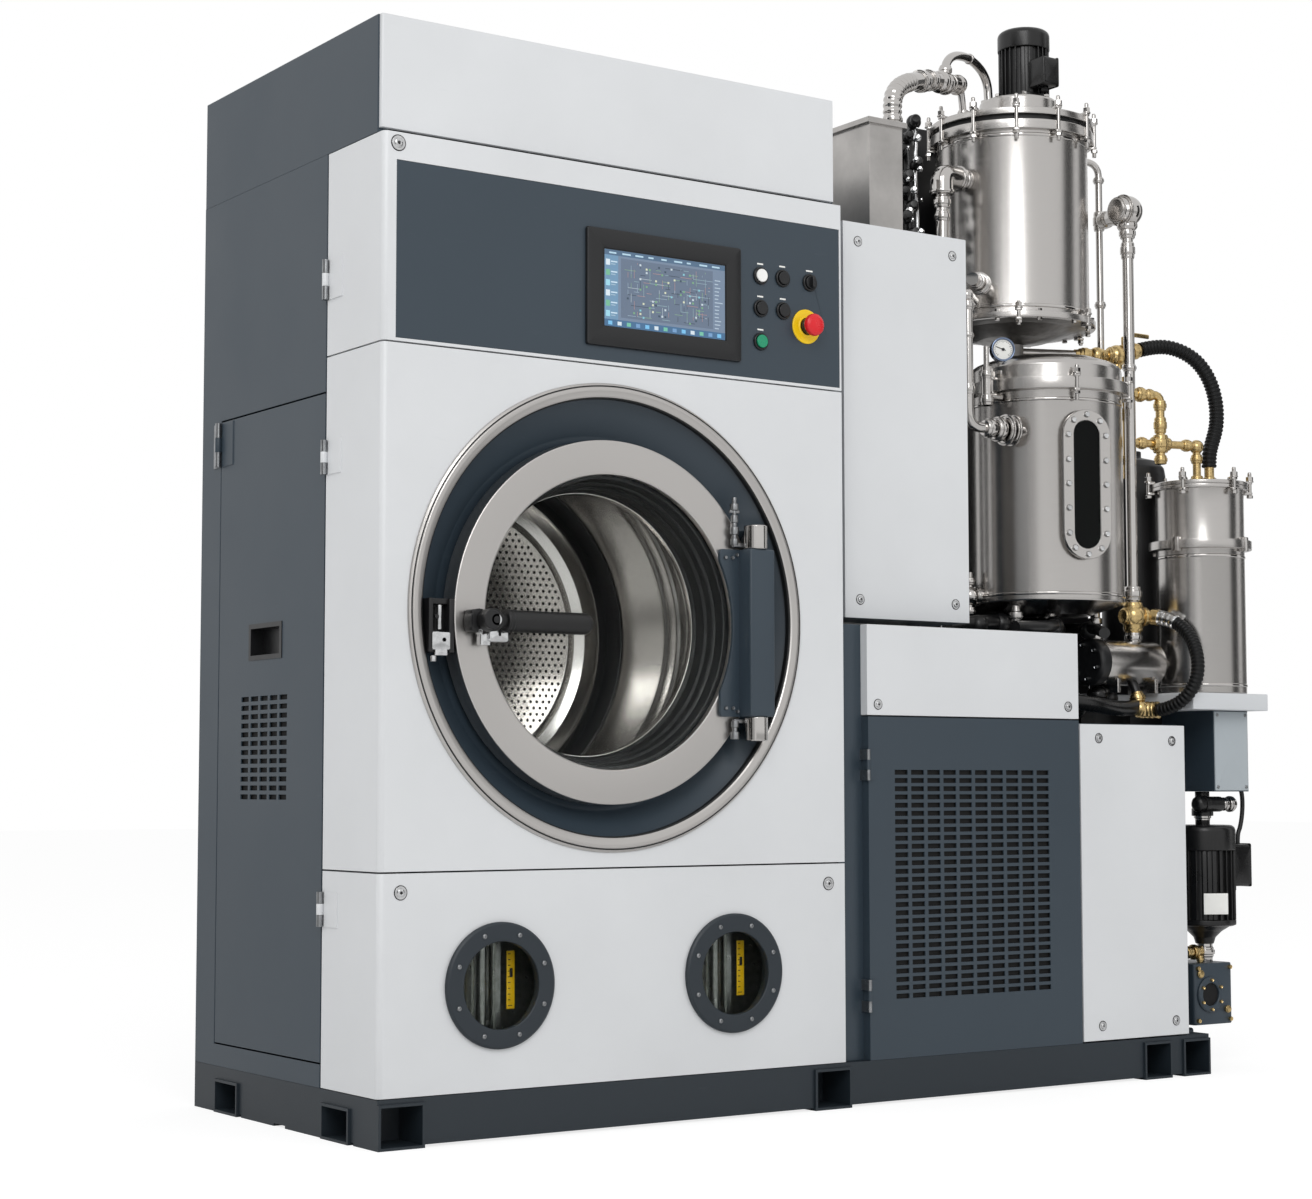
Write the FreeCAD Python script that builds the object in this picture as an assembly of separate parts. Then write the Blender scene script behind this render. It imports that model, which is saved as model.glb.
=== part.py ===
import FreeCAD, Part

# Dry cleaning machine: a main cabinet with a drum behind a round loading door, a lower
# refrigeration cabinet on its right, and a tower of stainless tanks standing on that cabinet.
#
# Lengths are in millimetres. X runs right along the front, Y runs back and Z runs up.
# Shapes are worked out from the front left floor corner of the main cabinet, and are
# shifted as they are written, so that the finished model stands centred on its own box.

import math
import os

V = FreeCAD.Vector
X, Y, Z = V(1, 0, 0), V(0, 1, 0), V(0, 0, 1)

# ---------------------------------------------------------------- sheet metal and fits
SHEET = 3.0            # thickness of the panels
RETURN = 25.0          # depth of the folded edge behind a panel
EDGE_R = 10.0          # bend at the cabinet's front left corner
SEAM = 3.0             # gap between neighbouring panels
SEAT = 0.3             # gap between curved faces that rest on each other
PIN_FIT = 0.05         # radial clearance of a pin or shaft in its bore
SLIP = 0.4             # clearance round a plunger or an inset plate

# ---------------------------------------------------------------- main cabinet
CAB_W, CAB_D = 1010.0, 740.0
WRAP = 209.0           # how far the front panels run back round the left side
BASE_TOP = 85.0
LOWER_SEAM, UPPER_SEAM = 466.0, 1380.0
FRONT_TOP, CAB_TOP = 1750.0, 1960.0
HOOD_INSET = 15.0      # the hood's front stands back from the panels
HOOD_LIFT = 8.0        # shadow gap under the hood's front

# ---------------------------------------------------------------- base
WING_L = 992.0         # how far the base runs on past the main cabinet
BASE_L = CAB_W + WING_L
RAIL_W, RAIL_WALL, RAIL_BOTTOM = 60.0, 5.0, 5.0
DECK_T = 6.0
SOCKET_H, SOCKET_DEPTH, SOCKET_PROUD = 77.0, 90.0, 5.0
FRONT_SOCKETS = (
    (0.0, 90.0), (CAB_W - 77, CAB_W + 11), (BASE_L - 195, BASE_L - 115), (BASE_L - 80, BASE_L),
)
SIDE_SOCKETS = ((96.0, 200.0), (542.0, 642.0))
SIDE_SOCKET_H = 62.0
PADS = ((206.0, 348.0), (394.0, 532.0))
PAD_H = 15.0
FLOOR_BOLT_R, FLOOR_BOLT_INSET = 7.0, 30.0

# ---------------------------------------------------------------- frame and side
POST = 40.0            # square posts of the inner frame
SIDE_FLANGE = 20.0     # depth of the slate side panel's folded edge
DOOR_FLANGE = 16.0     # depth of the side door's folded edge
SIDE_GAP = 5.0         # between the front panels and the slate side
SIDE_DOOR_BACK = 652.0
SIDE_DOOR_Z = (129.0, 1315.0)
SIDE_DOOR_GAP = 3.0
PULL_Y, PULL_Z, PULL_DEPTH, PULL_WALL = (386.0, 513.0), (854.0, 910.0), 28.0, 2.5
VENT_Y, VENT_Z = (357.0, 559.0), (589.0, 788.0)
VENT_COLUMNS, VENT_ROWS = 5, 12
VENT_FILL = (0.78, 0.55)

# ---------------------------------------------------------------- hinges with visible leaves
HINGE_R, HINGE_PIN_R, LEAF_T, LEAF_W = 6.0, 3.0, 2.0, 48.0
HINGE_OUT = 7.0        # from the side's face to the pin
HINGE_GAP = 0.5
PANEL_HINGE_Z = {"lower": (367.0, 428.0), "middle": (1167.0, 1229.0), "upper": (1482.0, 1555.0)}
SIDE_HINGE_Z = (1228.0, 1313.0)

# ---------------------------------------------------------------- control panel
FASCIA_X, FASCIA_Z = (25.0, CAB_W - 4), (1387.0, 1700.0)
FASCIA_LIP = 10.0
SCREEN_UNIT_X, SCREEN_UNIT_Z = (CAB_W - 595, CAB_W - 246), (1414.0, 1632.0)
SCREEN_BEZEL = 36.0
SCREEN_PROUD, SCREEN_BODY_DEPTH, SCREEN_RECESS = 7.0, 45.0, 2.0
BUTTON_BEZEL_R, BUTTON_CAP_R, BUTTON_HOLE_R, BUTTON_STEM_R = 17.0, 12.5, 11.0, 6.5
BUTTON_PROUD, BUTTON_BEZEL_PROUD, BUTTON_BEZEL_FLOOR = 8.0, 4.5, 1.5
BUTTON_TRAVEL, BUTTON_DEPTH = 3.0, 30.0
BUTTONS = {
    "white_button": (CAB_W - 197, 1586.0),
    "black_button_a": (CAB_W - 144, 1587.0),
    "black_button_b": (CAB_W - 197, 1523.0),
    "black_button_c": (CAB_W - 143, 1524.0),
    "green_button": (CAB_W - 197, 1459.0),
}
SELECTOR = (CAB_W - 78, 1586.0)
STOP = (CAB_W - 87, 1499.0)
STOP_PLATE_R, STOP_PLATE_T, STOP_NECK_R, STOP_NECK = 35.0, 3.0, 16.0, 14.0
STOP_HEAD_R, STOP_HEAD_T, STOP_TRAVEL = 20.0, 17.0, 5.0

# ---------------------------------------------------------------- loading door
RING_X, RING_Z, RING_R, RING_BORE = 478.0, 920.0, 427.0, 400.0
RING_PROUD = 9.0
PANEL_BORE = 405.0
DOOR_X, DOOR_Z, DOOR_R, DOOR_BORE, DOOR_T = 476.0, 911.0, 332.0, 268.0, 40.0
DOOR_WALL, GLASS_R, GLASS_T, GLASS_Y = 4.0, 300.0, 8.0, 12.0
MOUTH_R, MOUTH_Y = 241.0, 96.0
SEAL_R = 256.0
GASKET_RELIEF = 32.0   # taper that clears the door's rim as it swings past
DISH_R, DISH_Y, DISH_FLOOR_R, DISH_FLOOR_Y = 412.0, 8.0, 345.0, 52.0
COLLAR_R = 300.0
BLOCK_X, BLOCK_Z, BLOCK_Y = (754.0, 811.0), (742.0, 1056.0), (-45.0, -8.0)
BLOCK_FLANGE_X, BLOCK_FLANGE_T, BLOCK_FLANGE_BORE = 711.0, 8.0, 265.0
DOOR_PIN_X, DOOR_PIN_Y, DOOR_PIN_R = 779.0, -27.0, 12.0
PIN_CAP_R, PIN_CAP_H = 22.0, 45.0
BRACKET_X, BRACKET_H = (776.0, 800.0), 36.0
KEEPER_X, KEEPER_Z, KEEPER_FRONT = (88.0, 138.0), (844.0, 938.0), -12.0
HANDLE_X, HANDLE_Z = 194.0, 901.0
HANDLE_END, HANDLE_R = 402.0, 19.5
HANDLE_MOUNT_X, HANDLE_MOUNT_R, HANDLE_MOUNT_Y = 165.0, 21.0, -62.0
HANDLE_SLOT_Y, HANDLE_SLOT_X, HANDLE_PIN_R = (-54.0, -26.0), 172.0, 6.0

# ---------------------------------------------------------------- drum, tub and drive
TUB_R, TUB_WALL, TUB_BACK = 362.0, 4.0, 604.0
DRUM_GAP = 28.0        # between the drum and the tub round it
DRUM_R = TUB_R - TUB_WALL - DRUM_GAP
DRUM_WALL, DRUM_FRONT, DRUM_BACK = 3.0, 112.0, 545.0
BEAD_H, BEAD_W, BEADS = 6.0, 14.0, (268.0, 310.0)
SHAFT_R, SHAFT_END, SHAFT_FLANGE_R = 30.0, 704.0, 90.0
HOUSING_R, HOUSING_DEPTH = 72.0, 60.0
SADDLES, SADDLE_T = (215.0, 560.0), 12.0
PULLEY_R, PULLEY_W, PULLEY_Y, MOTOR_PULLEY_R = 170.0, 25.0, 674.0, 35.0
PULLEY_RIM, PULLEY_HUB_R = 14.0, 52.0
BELT_T = 6.0
DRIVE_X, DRIVE_Z, DRIVE_R, DRIVE_SHAFT_R = CAB_W - 138, 250.0, 60.0, 12.0
SADDLE_X = (150.0, DRIVE_X - DRIVE_R - 10)
DRIVE_Y = (460.0, 655.0)

# ---------------------------------------------------------------- lower front and solvent tank
PORTS_X, PORT_Z, PORT_R, PORT_GLASS_R, PORT_BORE = (239.0, CAB_W - 266), 267.0, 110.0, 84.0, 76.0
PORT_PROUD, PORT_SLEEVE_R, PORT_DEPTH = 9.0, 90.0, 24.0
TANK_X, TANK_Y, TANK_TOP = (70.0, CAB_W - 70), (75.0, 190.0), 440.0
GAUGE_R, GAUGE_Y, GAUGE_Z, GAUGE_OFFSET = 9.0, 50.0, (172.0, 362.0), -8.0
SCALE_X, SCALE_W, SCALE_T = 22.0, 16.0, 2.0

# ---------------------------------------------------------------- right cabinet
SIDE_STRIP = CAB_W + 59    # left edge of the right cabinet's covers
STRIP_Y = 20.0
RIGHT_END = BASE_L - 59
STEP_X = RIGHT_END - 310
LOW_DECK, HIGH_DECK = 743.0, 928.0
DRAWER_Z0 = 751.0
GRILLE_X0, GRILLE_Z = SIDE_STRIP + 2, (85.5, 748.0)
SLOTS_X, SLOTS_Z = (GRILLE_X0 + 66, STEP_X - 78), (200.0, 651.0)
SLOT_COLUMNS, SLOT_ROWS = 10, 28
SLOT_FILL = (0.79, 0.6)
NARROW_Z = (88.0, 741.0)
GRILLE_HINGE_Z = ((178.0, 240.0), (624.0, 684.0))
GRILLE_PIN_R, GRILLE_KNUCKLE_R, GRILLE_OUT, GRILLE_LEAF = 2.0, 4.0, 4.5, 14.0
COVER_X, COVER_Y, COVER_Z = (SIDE_STRIP + 1, SIDE_STRIP + 326), (67.0, 190.0), (945.0, 1740.0)
COVER_SET_BACK = 20.0

# ---------------------------------------------------------------- tower
CONDENSER_X, CONDENSER_Y = (SIDE_STRIP + 180, SIDE_STRIP + 270), (200.0, 330.0)
CONDENSER_TOP = 2007.0
CONDENSER_CAP, CONDENSER_LIP = 12.0, 8.0
TANK_WALL = 4.0
STILL_X, STILL_Y, STILL_R = RIGHT_END - 156, 350.0, 169.0
STILL_Z, STILL_CONE, STILL_FLANGE_R, STILL_FLANGE_T = (1640.0, 2072.0), 40.0, 184.0, 22.0
STILL_OUTLET_R = 22.0
GASKET_R, GASKET_T, LID_T = 172.0, 11.0, 15.0
NECK_X, NECK_R, NECK_RISE = STILL_X + 22, 87.0, 60.0
CLAMPS, CLAMP_START, CLAMP_R, CLAMP_REACH = 12, 21.0, 6.0, 14.0
STIR_X, STIR_R, STIR_RISE, STIR_COWL = STILL_X + 41, 57.0, 167.0, 46.0
FINS, FIN_H, FIN_T = 20, 7.0, 3.0
FILTER_X, FILTER_Y, FILTER_R, FILTER_Z = STILL_X, 250.0, 167.0, (984.0, 1520.0)
FILTER_BAND_Z, BAND_T = (1463.0, 1490.0), 5.0
FILTER_TOP, FILTER_TOP_R, FILTER_FLOOR_R = 1547.0, 120.0, 90.0
LEGS, LEG_R, LEG_CIRCLE = (60.0, 195.0, 285.0), 15.0, 130.0
SIGHT_TURN, SIGHT_W, SIGHT_H, SIGHT_Z = 14.0, 125.0, 322.0, 1255.0
SIGHT_GLASS_W, SIGHT_GLASS_H, SIGHT_OUT, SIGHT_PLATE = 57.0, 265.0, 22.0, 10.0
DIAL_X, DIAL_Y, DIAL_Z, DIAL_R, DIAL_T = FILTER_X - 149, 222.0, 1562.0, 24.0, 26.0
COLUMN_X, COLUMN_Y = (STILL_X - 40, STILL_X + 40), (540.0, 620.0)
COLUMN_TOP, COLUMN_WALL = 2000.0, 5.0
ARM_Z, ARM_H, ARM_W = (1700.0, 1950.0), 60.0, 60.0
RECEIVER_X, RECEIVER_Y = (RIGHT_END - 79, RIGHT_END + 112), 200.0
RECEIVER_Z, RECEIVER_R = 890.0, 47.0
CRADLE_X, CRADLE_T = (RIGHT_END - 65, RIGHT_END - 38), 10.0
RISER_X, RISER_Y, RISER_R, RISER_Z = RIGHT_END + 55, 200.0, 15.5, (1010.0, 1890.0)
BALL_Z, BALL_R = 1905.0, 37.0
SIDE_PIPE_X, SIDE_PIPE_Y, SIDE_PIPE_R = STILL_X + 222, 300.0, 10.0
SIDE_PIPE_Z = (1680.0, 2014.0)
VAPOUR_R, LOOP_R, LOOP_RISE, PIPE_R = 18.0, 10.0, 61.0, 12.0
BRASS_R, NUT_R, NUT_L = 10.0, 16.0, 16.0

# ---------------------------------------------------------------- shelf with separator and filter
SHELF_X, SHELF_Y, SHELF_Z = (RIGHT_END - 43, RIGHT_END + 332), (60.0, 430.0), (780.0, 817.0)
SHELF_NOTCH = (RIGHT_END + 97, 250.0)
GUSSETS_Y, GUSSET_T, GUSSET_DROP, GUSSET_REACH = (300.0, 400.0), 6.0, 170.0, 200.0
SEPARATOR_X, SEPARATOR_Y, SEPARATOR_R = RIGHT_END + 229, 160.0, 98.0
SEPARATOR_TOP = 1284.0
SEPARATOR_FLANGE_R, SEPARATOR_FLANGE_T = 108.0, 9.0
SEPARATOR_BAND_Z = (1150.0, 1176.0)
CARBON_X, CARBON_Y, CARBON_R = RIGHT_END + 222, 360.0, 75.0
CARBON_TOP, CARBON_DOME = 1345.0, 30.0
BOX_X, BOX_Y = (RIGHT_END + 197, RIGHT_END + 307), (100.0, 260.0)
BOX_BOTTOM, BOX_COVER = 600.0, 12.0

# ---------------------------------------------------------------- pump
PUMP_X, PUMP_Y, PUMP_R, PUMP_Z = RIGHT_END + 222, 160.0, 70.0, (302.0, 526.0)
TERMINAL_X, TERMINAL_Z, TERMINAL_W = RIGHT_END + 347, (388.0, 482.0), 60.0
BLOCK_SIZE_X = (RIGHT_END + 140, RIGHT_END + 260)
BLOCK_SIZE_Y, BLOCK_SIZE_Z = (115.0, 235.0), (88.0, 222.0)
PUMP_PORT_R, PUMP_PORT_DEPTH, PUMP_PORT_X, PUMP_PORT_Z = 19.0, 40.0, RIGHT_END + 200, 150.0
LANTERN_R, CONDUIT_R = 30.0, 16.0
PUMP_ARM_Y, PUMP_ARM_Z, PUMP_ARM_WALL = (145.0, 205.0), (20.0, 80.0), 5.0
COMPRESSORS = (        # centre, radius and top of the cans behind the filter
    (STILL_X - 52, 440.0, 95.0, 960.0), (STILL_X + 93, 500.0, 60.0, 940.0),
)
CAN_DOME = 26.0

# ---------------------------------------------------------------- hoses and the pump's cable
def past(x, points):
    """Points whose X counts from x."""
    return tuple((x + along, y, z) for along, y, z in points)


OVERFLOW_D, DRAIN_D, CABLE_D = 34.0, 30.0, 10.0
OVERFLOW_ROUTE = past(RIGHT_END, (
    (140, 250, 1605), (183, 240, 1617), (225, 218, 1612), (260, 190, 1585), (283, 172, 1540),
    (295, 164, 1485), (291, 161, 1430), (273, 160, 1390), (263, 160, 1362), (263, 160, 1334),
))
DRAIN_ROUTE = past(RIGHT_END, (
    (99, 185, 989), (117, 146, 984), (119, 96, 952), (101, 52, 902), (88, 40, 846),
    (71, 62, 801), (59, 108, 780), (53, 146, 779), (31, 159, 780),
))
CABLE_ROUTE = past(RIGHT_END, (
    (307, 150, 618), (329, 150, 618), (341, 150, 596), (341, 150, 556), (333, 150, 520),
    (323, 150, 504), (323, 150, 482),
))
VAPOUR_ROUTE = past(CONDENSER_X[0], (
    (73, 214, 2007), (75, 215, 2060), (112, 228, 2108), (190, 258, 2134),
)) + past(STILL_X, (
    (-240, 300, 2150), (-166, 334, 2172), (-152, 339, 2138), (-152, 339, 2076),
))

# The finished model is centred over its own box: from the hinges on the left to the pump's
# terminal box on the right, and from the door handle to the back of the cabinet.
ORIGIN_X = (TERMINAL_X - HINGE_OUT - HINGE_R) / 2
ORIGIN_Y = (CAB_D + HANDLE_MOUNT_Y) / 2


# ---------------------------------------------------------------- shape helpers
def box(x, y, z):
    """A block between the low and high values given for each axis."""
    return Part.makeBox(x[1] - x[0], y[1] - y[0], z[1] - z[0], V(x[0], y[0], z[0]))


def rod(start, direction, radius, length):
    return Part.makeCylinder(radius, length, V(*start), direction)


def tube(start, direction, outer, inner, length):
    return rod(start, direction, outer, length).cut(rod(start, direction, inner, length))


def join(*shapes):
    """One solid from pieces that touch or overlap."""
    return shapes[0].fuse(list(shapes[1:])).removeSplitter()


def group(shapes):
    """Separate solids that share one file."""
    return Part.makeCompound([solid for shape in shapes for solid in shape.Solids])


def inset(span, low, high=None):
    """The span with its low end moved up and its high end moved down."""
    return (span[0] + low, span[1] - (low if high is None else high))


def about(centre, half):
    return (centre - half, centre + half)


def outline(items, place):
    """A closed wire. An item is a point, or ("arc", middle, end) for an arc from the last point."""
    edges = []
    here = items[0]
    for item in list(items[1:]) + [items[0]]:
        end = item[2] if item[0] == "arc" else item
        if place(*here).distanceToPoint(place(*end)) < 1e-6:
            continue
        if item[0] == "arc":
            edges.append(Part.Arc(place(*here), place(*item[1]), place(*end)).toShape())
        else:
            edges.append(Part.makeLine(place(*here), place(*end)))
        here = end
    return Part.Wire(edges)


def turned(items, centre, axis):
    """A solid of revolution from an outline of (radius, distance along the axis)."""
    side = Z if axis == X else X
    base = V(*centre)
    face = Part.Face(outline(items, lambda r, d: base + side * r + axis * d))
    return face.revolve(base, axis, 360)


def extruded(items, place, along):
    return Part.Face(outline(items, place)).extrude(along)


def stadium(x, z, width, height, y):
    """An upright slab with half-round ends, between the two y values."""
    r, h = width / 2, height / 2 - width / 2
    items = [
        (x - r, z - h),
        ("arc", (x, z - h - r), (x + r, z - h)),
        (x + r, z + h),
        ("arc", (x, z + h + r), (x - r, z + h)),
    ]
    return extruded(items, lambda a, b: V(a, y[0], b), V(0, y[1] - y[0], 0))


def grid_slots(across, up, columns, rows, fill, cutter):
    """Rows and columns of slots. cutter turns one slot's two spans into a block."""
    pitch_a = (across[1] - across[0]) / columns
    pitch_b = (up[1] - up[0]) / rows
    slots = []
    for column in range(columns):
        for row in range(rows):
            a = across[0] + column * pitch_a
            b = up[0] + row * pitch_b
            slots.append(cutter((a, a + pitch_a * fill[0]), (b, b + pitch_b * fill[1])))
    return Part.makeCompound(slots)


def cover(x, y, z):
    """A folded sheet cover that is open at the back."""
    hollow = box(inset(x, SHEET), (y[0] + SHEET, y[1]), inset(z, SHEET))
    return box(x, y, z).cut(hollow)


def route_wire(points, bend=None):
    """Straight runs joined by tangent arcs. With no bend radius, each arc takes 0.45 of the
    shorter run beside it."""
    points = [V(*p) for p in points]
    edges, radii = [], []
    start = points[0]
    for before, corner, after in zip(points, points[1:], points[2:]):
        u = (corner - before).normalize()
        w = (after - corner).normalize()
        turn = u.getAngle(w)
        if bend is None:
            reach = 0.45 * min(before.distanceToPoint(corner), corner.distanceToPoint(after))
        else:
            reach = bend * math.tan(turn / 2)
        radius = reach / math.tan(turn / 2)
        middle = corner + (w - u).normalize() * (radius / math.cos(turn / 2) - radius)
        edges.append(Part.makeLine(start, corner - u * reach))
        edges.append(Part.Arc(corner - u * reach, middle, corner + w * reach).toShape())
        start = corner + w * reach
        radii.append(radius)
    edges.append(Part.makeLine(start, points[-1]))
    return Part.Wire(edges), radii


def bent_rod(points, radius, bend=None):
    """A round bar or hose along the route, with its radii and its length."""
    wire, radii = route_wire(points, bend)
    along = V(*points[1]) - V(*points[0])
    ring = Part.Wire(Part.makeCircle(radius, V(*points[0]), along))
    return wire.makePipeShell([ring], True, True), radii, wire.Length


def pipe(points, radius, bend):
    return bent_rod(points, radius, bend)[0]


def spread(count, radius, centre, start=0.0):
    """Points evenly round a level circle, with their angles in degrees."""
    for step in range(count):
        angle = start + 360.0 * step / count
        turn = math.radians(angle)
        yield centre[0] + radius * math.cos(turn), centre[1] + radius * math.sin(turn), angle


def spun(shape, centre, angle, axis=Z):
    turned_copy = shape.copy()
    turned_copy.rotate(V(*centre), axis, angle)
    return turned_copy


# ---------------------------------------------------------------- hinges
def knuckle(x, y, z, radius, bore=0.0):
    barrel = rod((x, y, z[0]), Z, radius, z[1] - z[0])
    return barrel.cut(rod((x, y, z[0]), Z, bore, z[1] - z[0])) if bore else barrel


def thirds(z):
    step = (z[1] - z[0]) / 3
    return (z[0], z[0] + step), (z[0] + step, z[1] - step), (z[1] - step, z[1])


PANEL_PIN = (-HINGE_OUT, WRAP - 2 * LEAF_T)
SIDE_PIN = (-HINGE_OUT, SIDE_DOOR_BACK + SIDE_DOOR_GAP / 2)
STRAP_Y = (WRAP + LEAF_T / 2, WRAP + LEAF_T * 1.5)    # the fixed leaf, beside the panels
POST_Y = (STRAP_Y[1], STRAP_Y[1] + POST)
GRILLE_PIN = (SIDE_STRIP - GRILLE_KNUCKLE_R / 2, -GRILLE_OUT)


def moving_knuckle(pin, z, radius, pin_radius):
    """The middle knuckle, which turns on the pin."""
    return knuckle(*pin, inset(thirds(z)[1], HINGE_GAP), radius, pin_radius + PIN_FIT)


def fixed_knuckles(pin, z, radius, pin_radius):
    """The two outer knuckles with the pin through them."""
    low, _, high = thirds(z)
    return [knuckle(*pin, low, radius), knuckle(*pin, high, radius), knuckle(*pin, z, pin_radius)]


def panel_leaf(z):
    """The leaf on a front panel's left return, with its knuckle."""
    middle = inset(thirds(z)[1], HINGE_GAP)
    edge = PANEL_PIN[1] - HINGE_R - HINGE_GAP
    leaf = box((-LEAF_T, 0), (edge - LEAF_W, edge), z)
    neck = box((-LEAF_T, 0), (edge, PANEL_PIN[1]), middle)
    bore = rod((*PANEL_PIN, z[0]), Z, HINGE_PIN_R + PIN_FIT, z[1] - z[0])
    ring = moving_knuckle(PANEL_PIN, z, HINGE_R, HINGE_PIN_R)
    return [leaf, neck.cut(bore), ring]


def side_leaf(z):
    """The leaf on the side door, with its knuckle."""
    middle = inset(thirds(z)[1], HINGE_GAP)
    edge = SIDE_PIN[1] - HINGE_R - HINGE_GAP
    leaf = box((-LEAF_T, 0), (edge - LEAF_W, edge), z)
    neck = box((-LEAF_T, 0), (edge, SIDE_PIN[1]), middle)
    return [leaf, neck, moving_knuckle(SIDE_PIN, z, HINGE_R, HINGE_PIN_R)]


def panel_hinges():
    """The fixed halves of the hinges: one on each front panel, one on the side door and two
    on the grille door."""
    hinges = []
    near = HINGE_GAP + SEAT
    for z in PANEL_HINGE_Z.values():
        low, _, high = thirds(z)
        leaf = box((near, SIDE_FLANGE + POST / 2), STRAP_Y, z)
        bars = [box((PANEL_PIN[0], near), STRAP_Y, part) for part in (low, high)]
        tabs = [box((PANEL_PIN[0], -SEAT), (PANEL_PIN[1], STRAP_Y[1]), part) for part in (low, high)]
        hinges.append(join(leaf, *bars, *tabs, *fixed_knuckles(PANEL_PIN, z, HINGE_R, HINGE_PIN_R)))
    low, _, high = thirds(SIDE_HINGE_Z)
    edge = SIDE_PIN[1] + HINGE_R + HINGE_GAP
    leaf = box((-LEAF_T, 0), (edge, edge + LEAF_W / 2), SIDE_HINGE_Z)
    necks = [box((-LEAF_T, 0), (SIDE_PIN[1] + SIDE_DOOR_GAP / 2, edge), part) for part in (low, high)]
    hinges.append(join(leaf, *necks, *fixed_knuckles(SIDE_PIN, SIDE_HINGE_Z, HINGE_R, HINGE_PIN_R)))
    for z in GRILLE_HINGE_Z:
        low, _, high = thirds(z)
        plates = [
            box(about(GRILLE_PIN[0], LEAF_T / 2), (GRILLE_PIN[1], STRIP_Y), part)
            for part in (low, high)
        ]
        knuckles = fixed_knuckles(GRILLE_PIN, z, GRILLE_KNUCKLE_R, GRILLE_PIN_R)
        hinges.append(join(*plates, *knuckles))
    return group(hinges)


# ---------------------------------------------------------------- base and inner frame
def socket_tube(x, y, z, wall, open_x):
    """A square steel socket. It opens towards -X or -Y and is closed at its far end."""
    if open_x:
        hollow = box((x[0] - wall, x[1] - wall), inset(y, wall), inset(z, wall))
    else:
        hollow = box(inset(x, wall), (y[0] - wall, y[1] - wall), inset(z, wall))
    return box(x, y, z), hollow


def base_frame():
    """A ring of channel with a deck on top, and sockets for forks and transport feet."""
    whole = box((0, BASE_L), (0, CAB_D), (RAIL_BOTTOM, BASE_TOP))
    hollow = box(inset((0, BASE_L), RAIL_WALL), inset((0, CAB_D), RAIL_WALL),
                 (RAIL_BOTTOM + RAIL_WALL, BASE_TOP - DECK_T))
    well = box(inset((0, BASE_L), RAIL_W), inset((0, CAB_D), RAIL_W), (0, BASE_TOP - DECK_T))
    frame = whole.cut([hollow, well])
    blocks, hollows = [], []
    for x in FRONT_SOCKETS:
        y = (-SOCKET_PROUD, SOCKET_DEPTH - SOCKET_PROUD)
        block, bore = socket_tube(x, y, (0, SOCKET_H), RAIL_WALL, False)
        blocks.append(block)
        hollows.append(bore)
    for y in SIDE_SOCKETS:
        x = (-SOCKET_PROUD, SOCKET_DEPTH - SOCKET_PROUD)
        block, bore = socket_tube(x, y, (0, SIDE_SOCKET_H), RAIL_WALL, True)
        blocks.append(block)
        hollows.append(bore)
    for y in PADS:
        blocks.append(box((0, RAIL_W), y, (0, PAD_H)))
    back = (CAB_D - SOCKET_DEPTH, CAB_D)
    for x in (FRONT_SOCKETS[0], FRONT_SOCKETS[-1]):
        blocks.append(box(x, back, (0, RAIL_BOTTOM + RAIL_WALL)))
    frame = join(frame, *blocks).cut(hollows)
    bolt_length = RAIL_BOTTOM + RAIL_WALL
    bolts = [
        rod((x, CAB_D - FLOOR_BOLT_INSET, 0), Z, FLOOR_BOLT_R, bolt_length)
        for x in floor_bolts_x()
    ]
    return frame.cut(bolts)


def floor_bolts_x():
    """Where the rear feet are bolted to the floor."""
    return FRONT_SOCKETS[0][0] + FLOOR_BOLT_INSET, FRONT_SOCKETS[-1][1] - FLOOR_BOLT_INSET


def post_spans():
    right = CAB_W - RETURN - SHEET - POST
    back = CAB_D - SHEET - POST
    return [(x, y) for x in (SIDE_FLANGE, right) for y in (POST_Y[0], back)]


def cabinet_frame():
    """Four square posts on the base, tied at the top by a ring of rails."""
    posts = []
    for x, y in post_spans():
        span_x, span_y = (x, x + POST), (y, y + POST)
        hollow = box(inset(span_x, SHEET), inset(span_y, SHEET), (BASE_TOP, FRONT_TOP))
        posts.append(box(span_x, span_y, (BASE_TOP, FRONT_TOP)).cut(hollow))
    spans = post_spans()
    ring_x = (spans[0][0], spans[-1][0] + POST)
    ring_y = (spans[0][1], spans[-1][1] + POST)
    ring_z = (FRONT_TOP - POST, FRONT_TOP)
    ring = box(ring_x, ring_y, ring_z).cut(box(inset(ring_x, POST), inset(ring_y, POST), ring_z))
    return join(ring, *posts)


# ---------------------------------------------------------------- casing
SIDE_Y0 = WRAP + SIDE_GAP


def left_side_panel():
    """The slate side: a sheet with folded edges round the side door's opening."""
    span_y, span_z = (SIDE_Y0, CAB_D - SHEET), (BASE_TOP, FRONT_TOP)
    sheet = box((0, SIDE_FLANGE), span_y, span_z)
    hollow = box((SHEET, SIDE_FLANGE), inset(span_y, SHEET), inset(span_z, SHEET))
    opening = box((0, SIDE_FLANGE), (SIDE_Y0, SIDE_DOOR_BACK + SIDE_DOOR_GAP),
                  (SIDE_DOOR_Z[0] - SIDE_DOOR_GAP, SIDE_DOOR_Z[1] + SIDE_DOOR_GAP))
    return sheet.cut([hollow, opening])


def rear_casing():
    """Back and right walls in one folded sheet, with a flange beside the front panels."""
    span_z = (BASE_TOP, FRONT_TOP)
    front = RETURN + SEAM / 2
    back = box((0, CAB_W), (CAB_D - SHEET, CAB_D), span_z)
    right = box((CAB_W - SHEET, CAB_W), (front, CAB_D), span_z)
    jamb = box((CAB_W - RETURN, CAB_W), (front, front + SHEET), span_z)
    return join(back, right, jamb)


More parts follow.
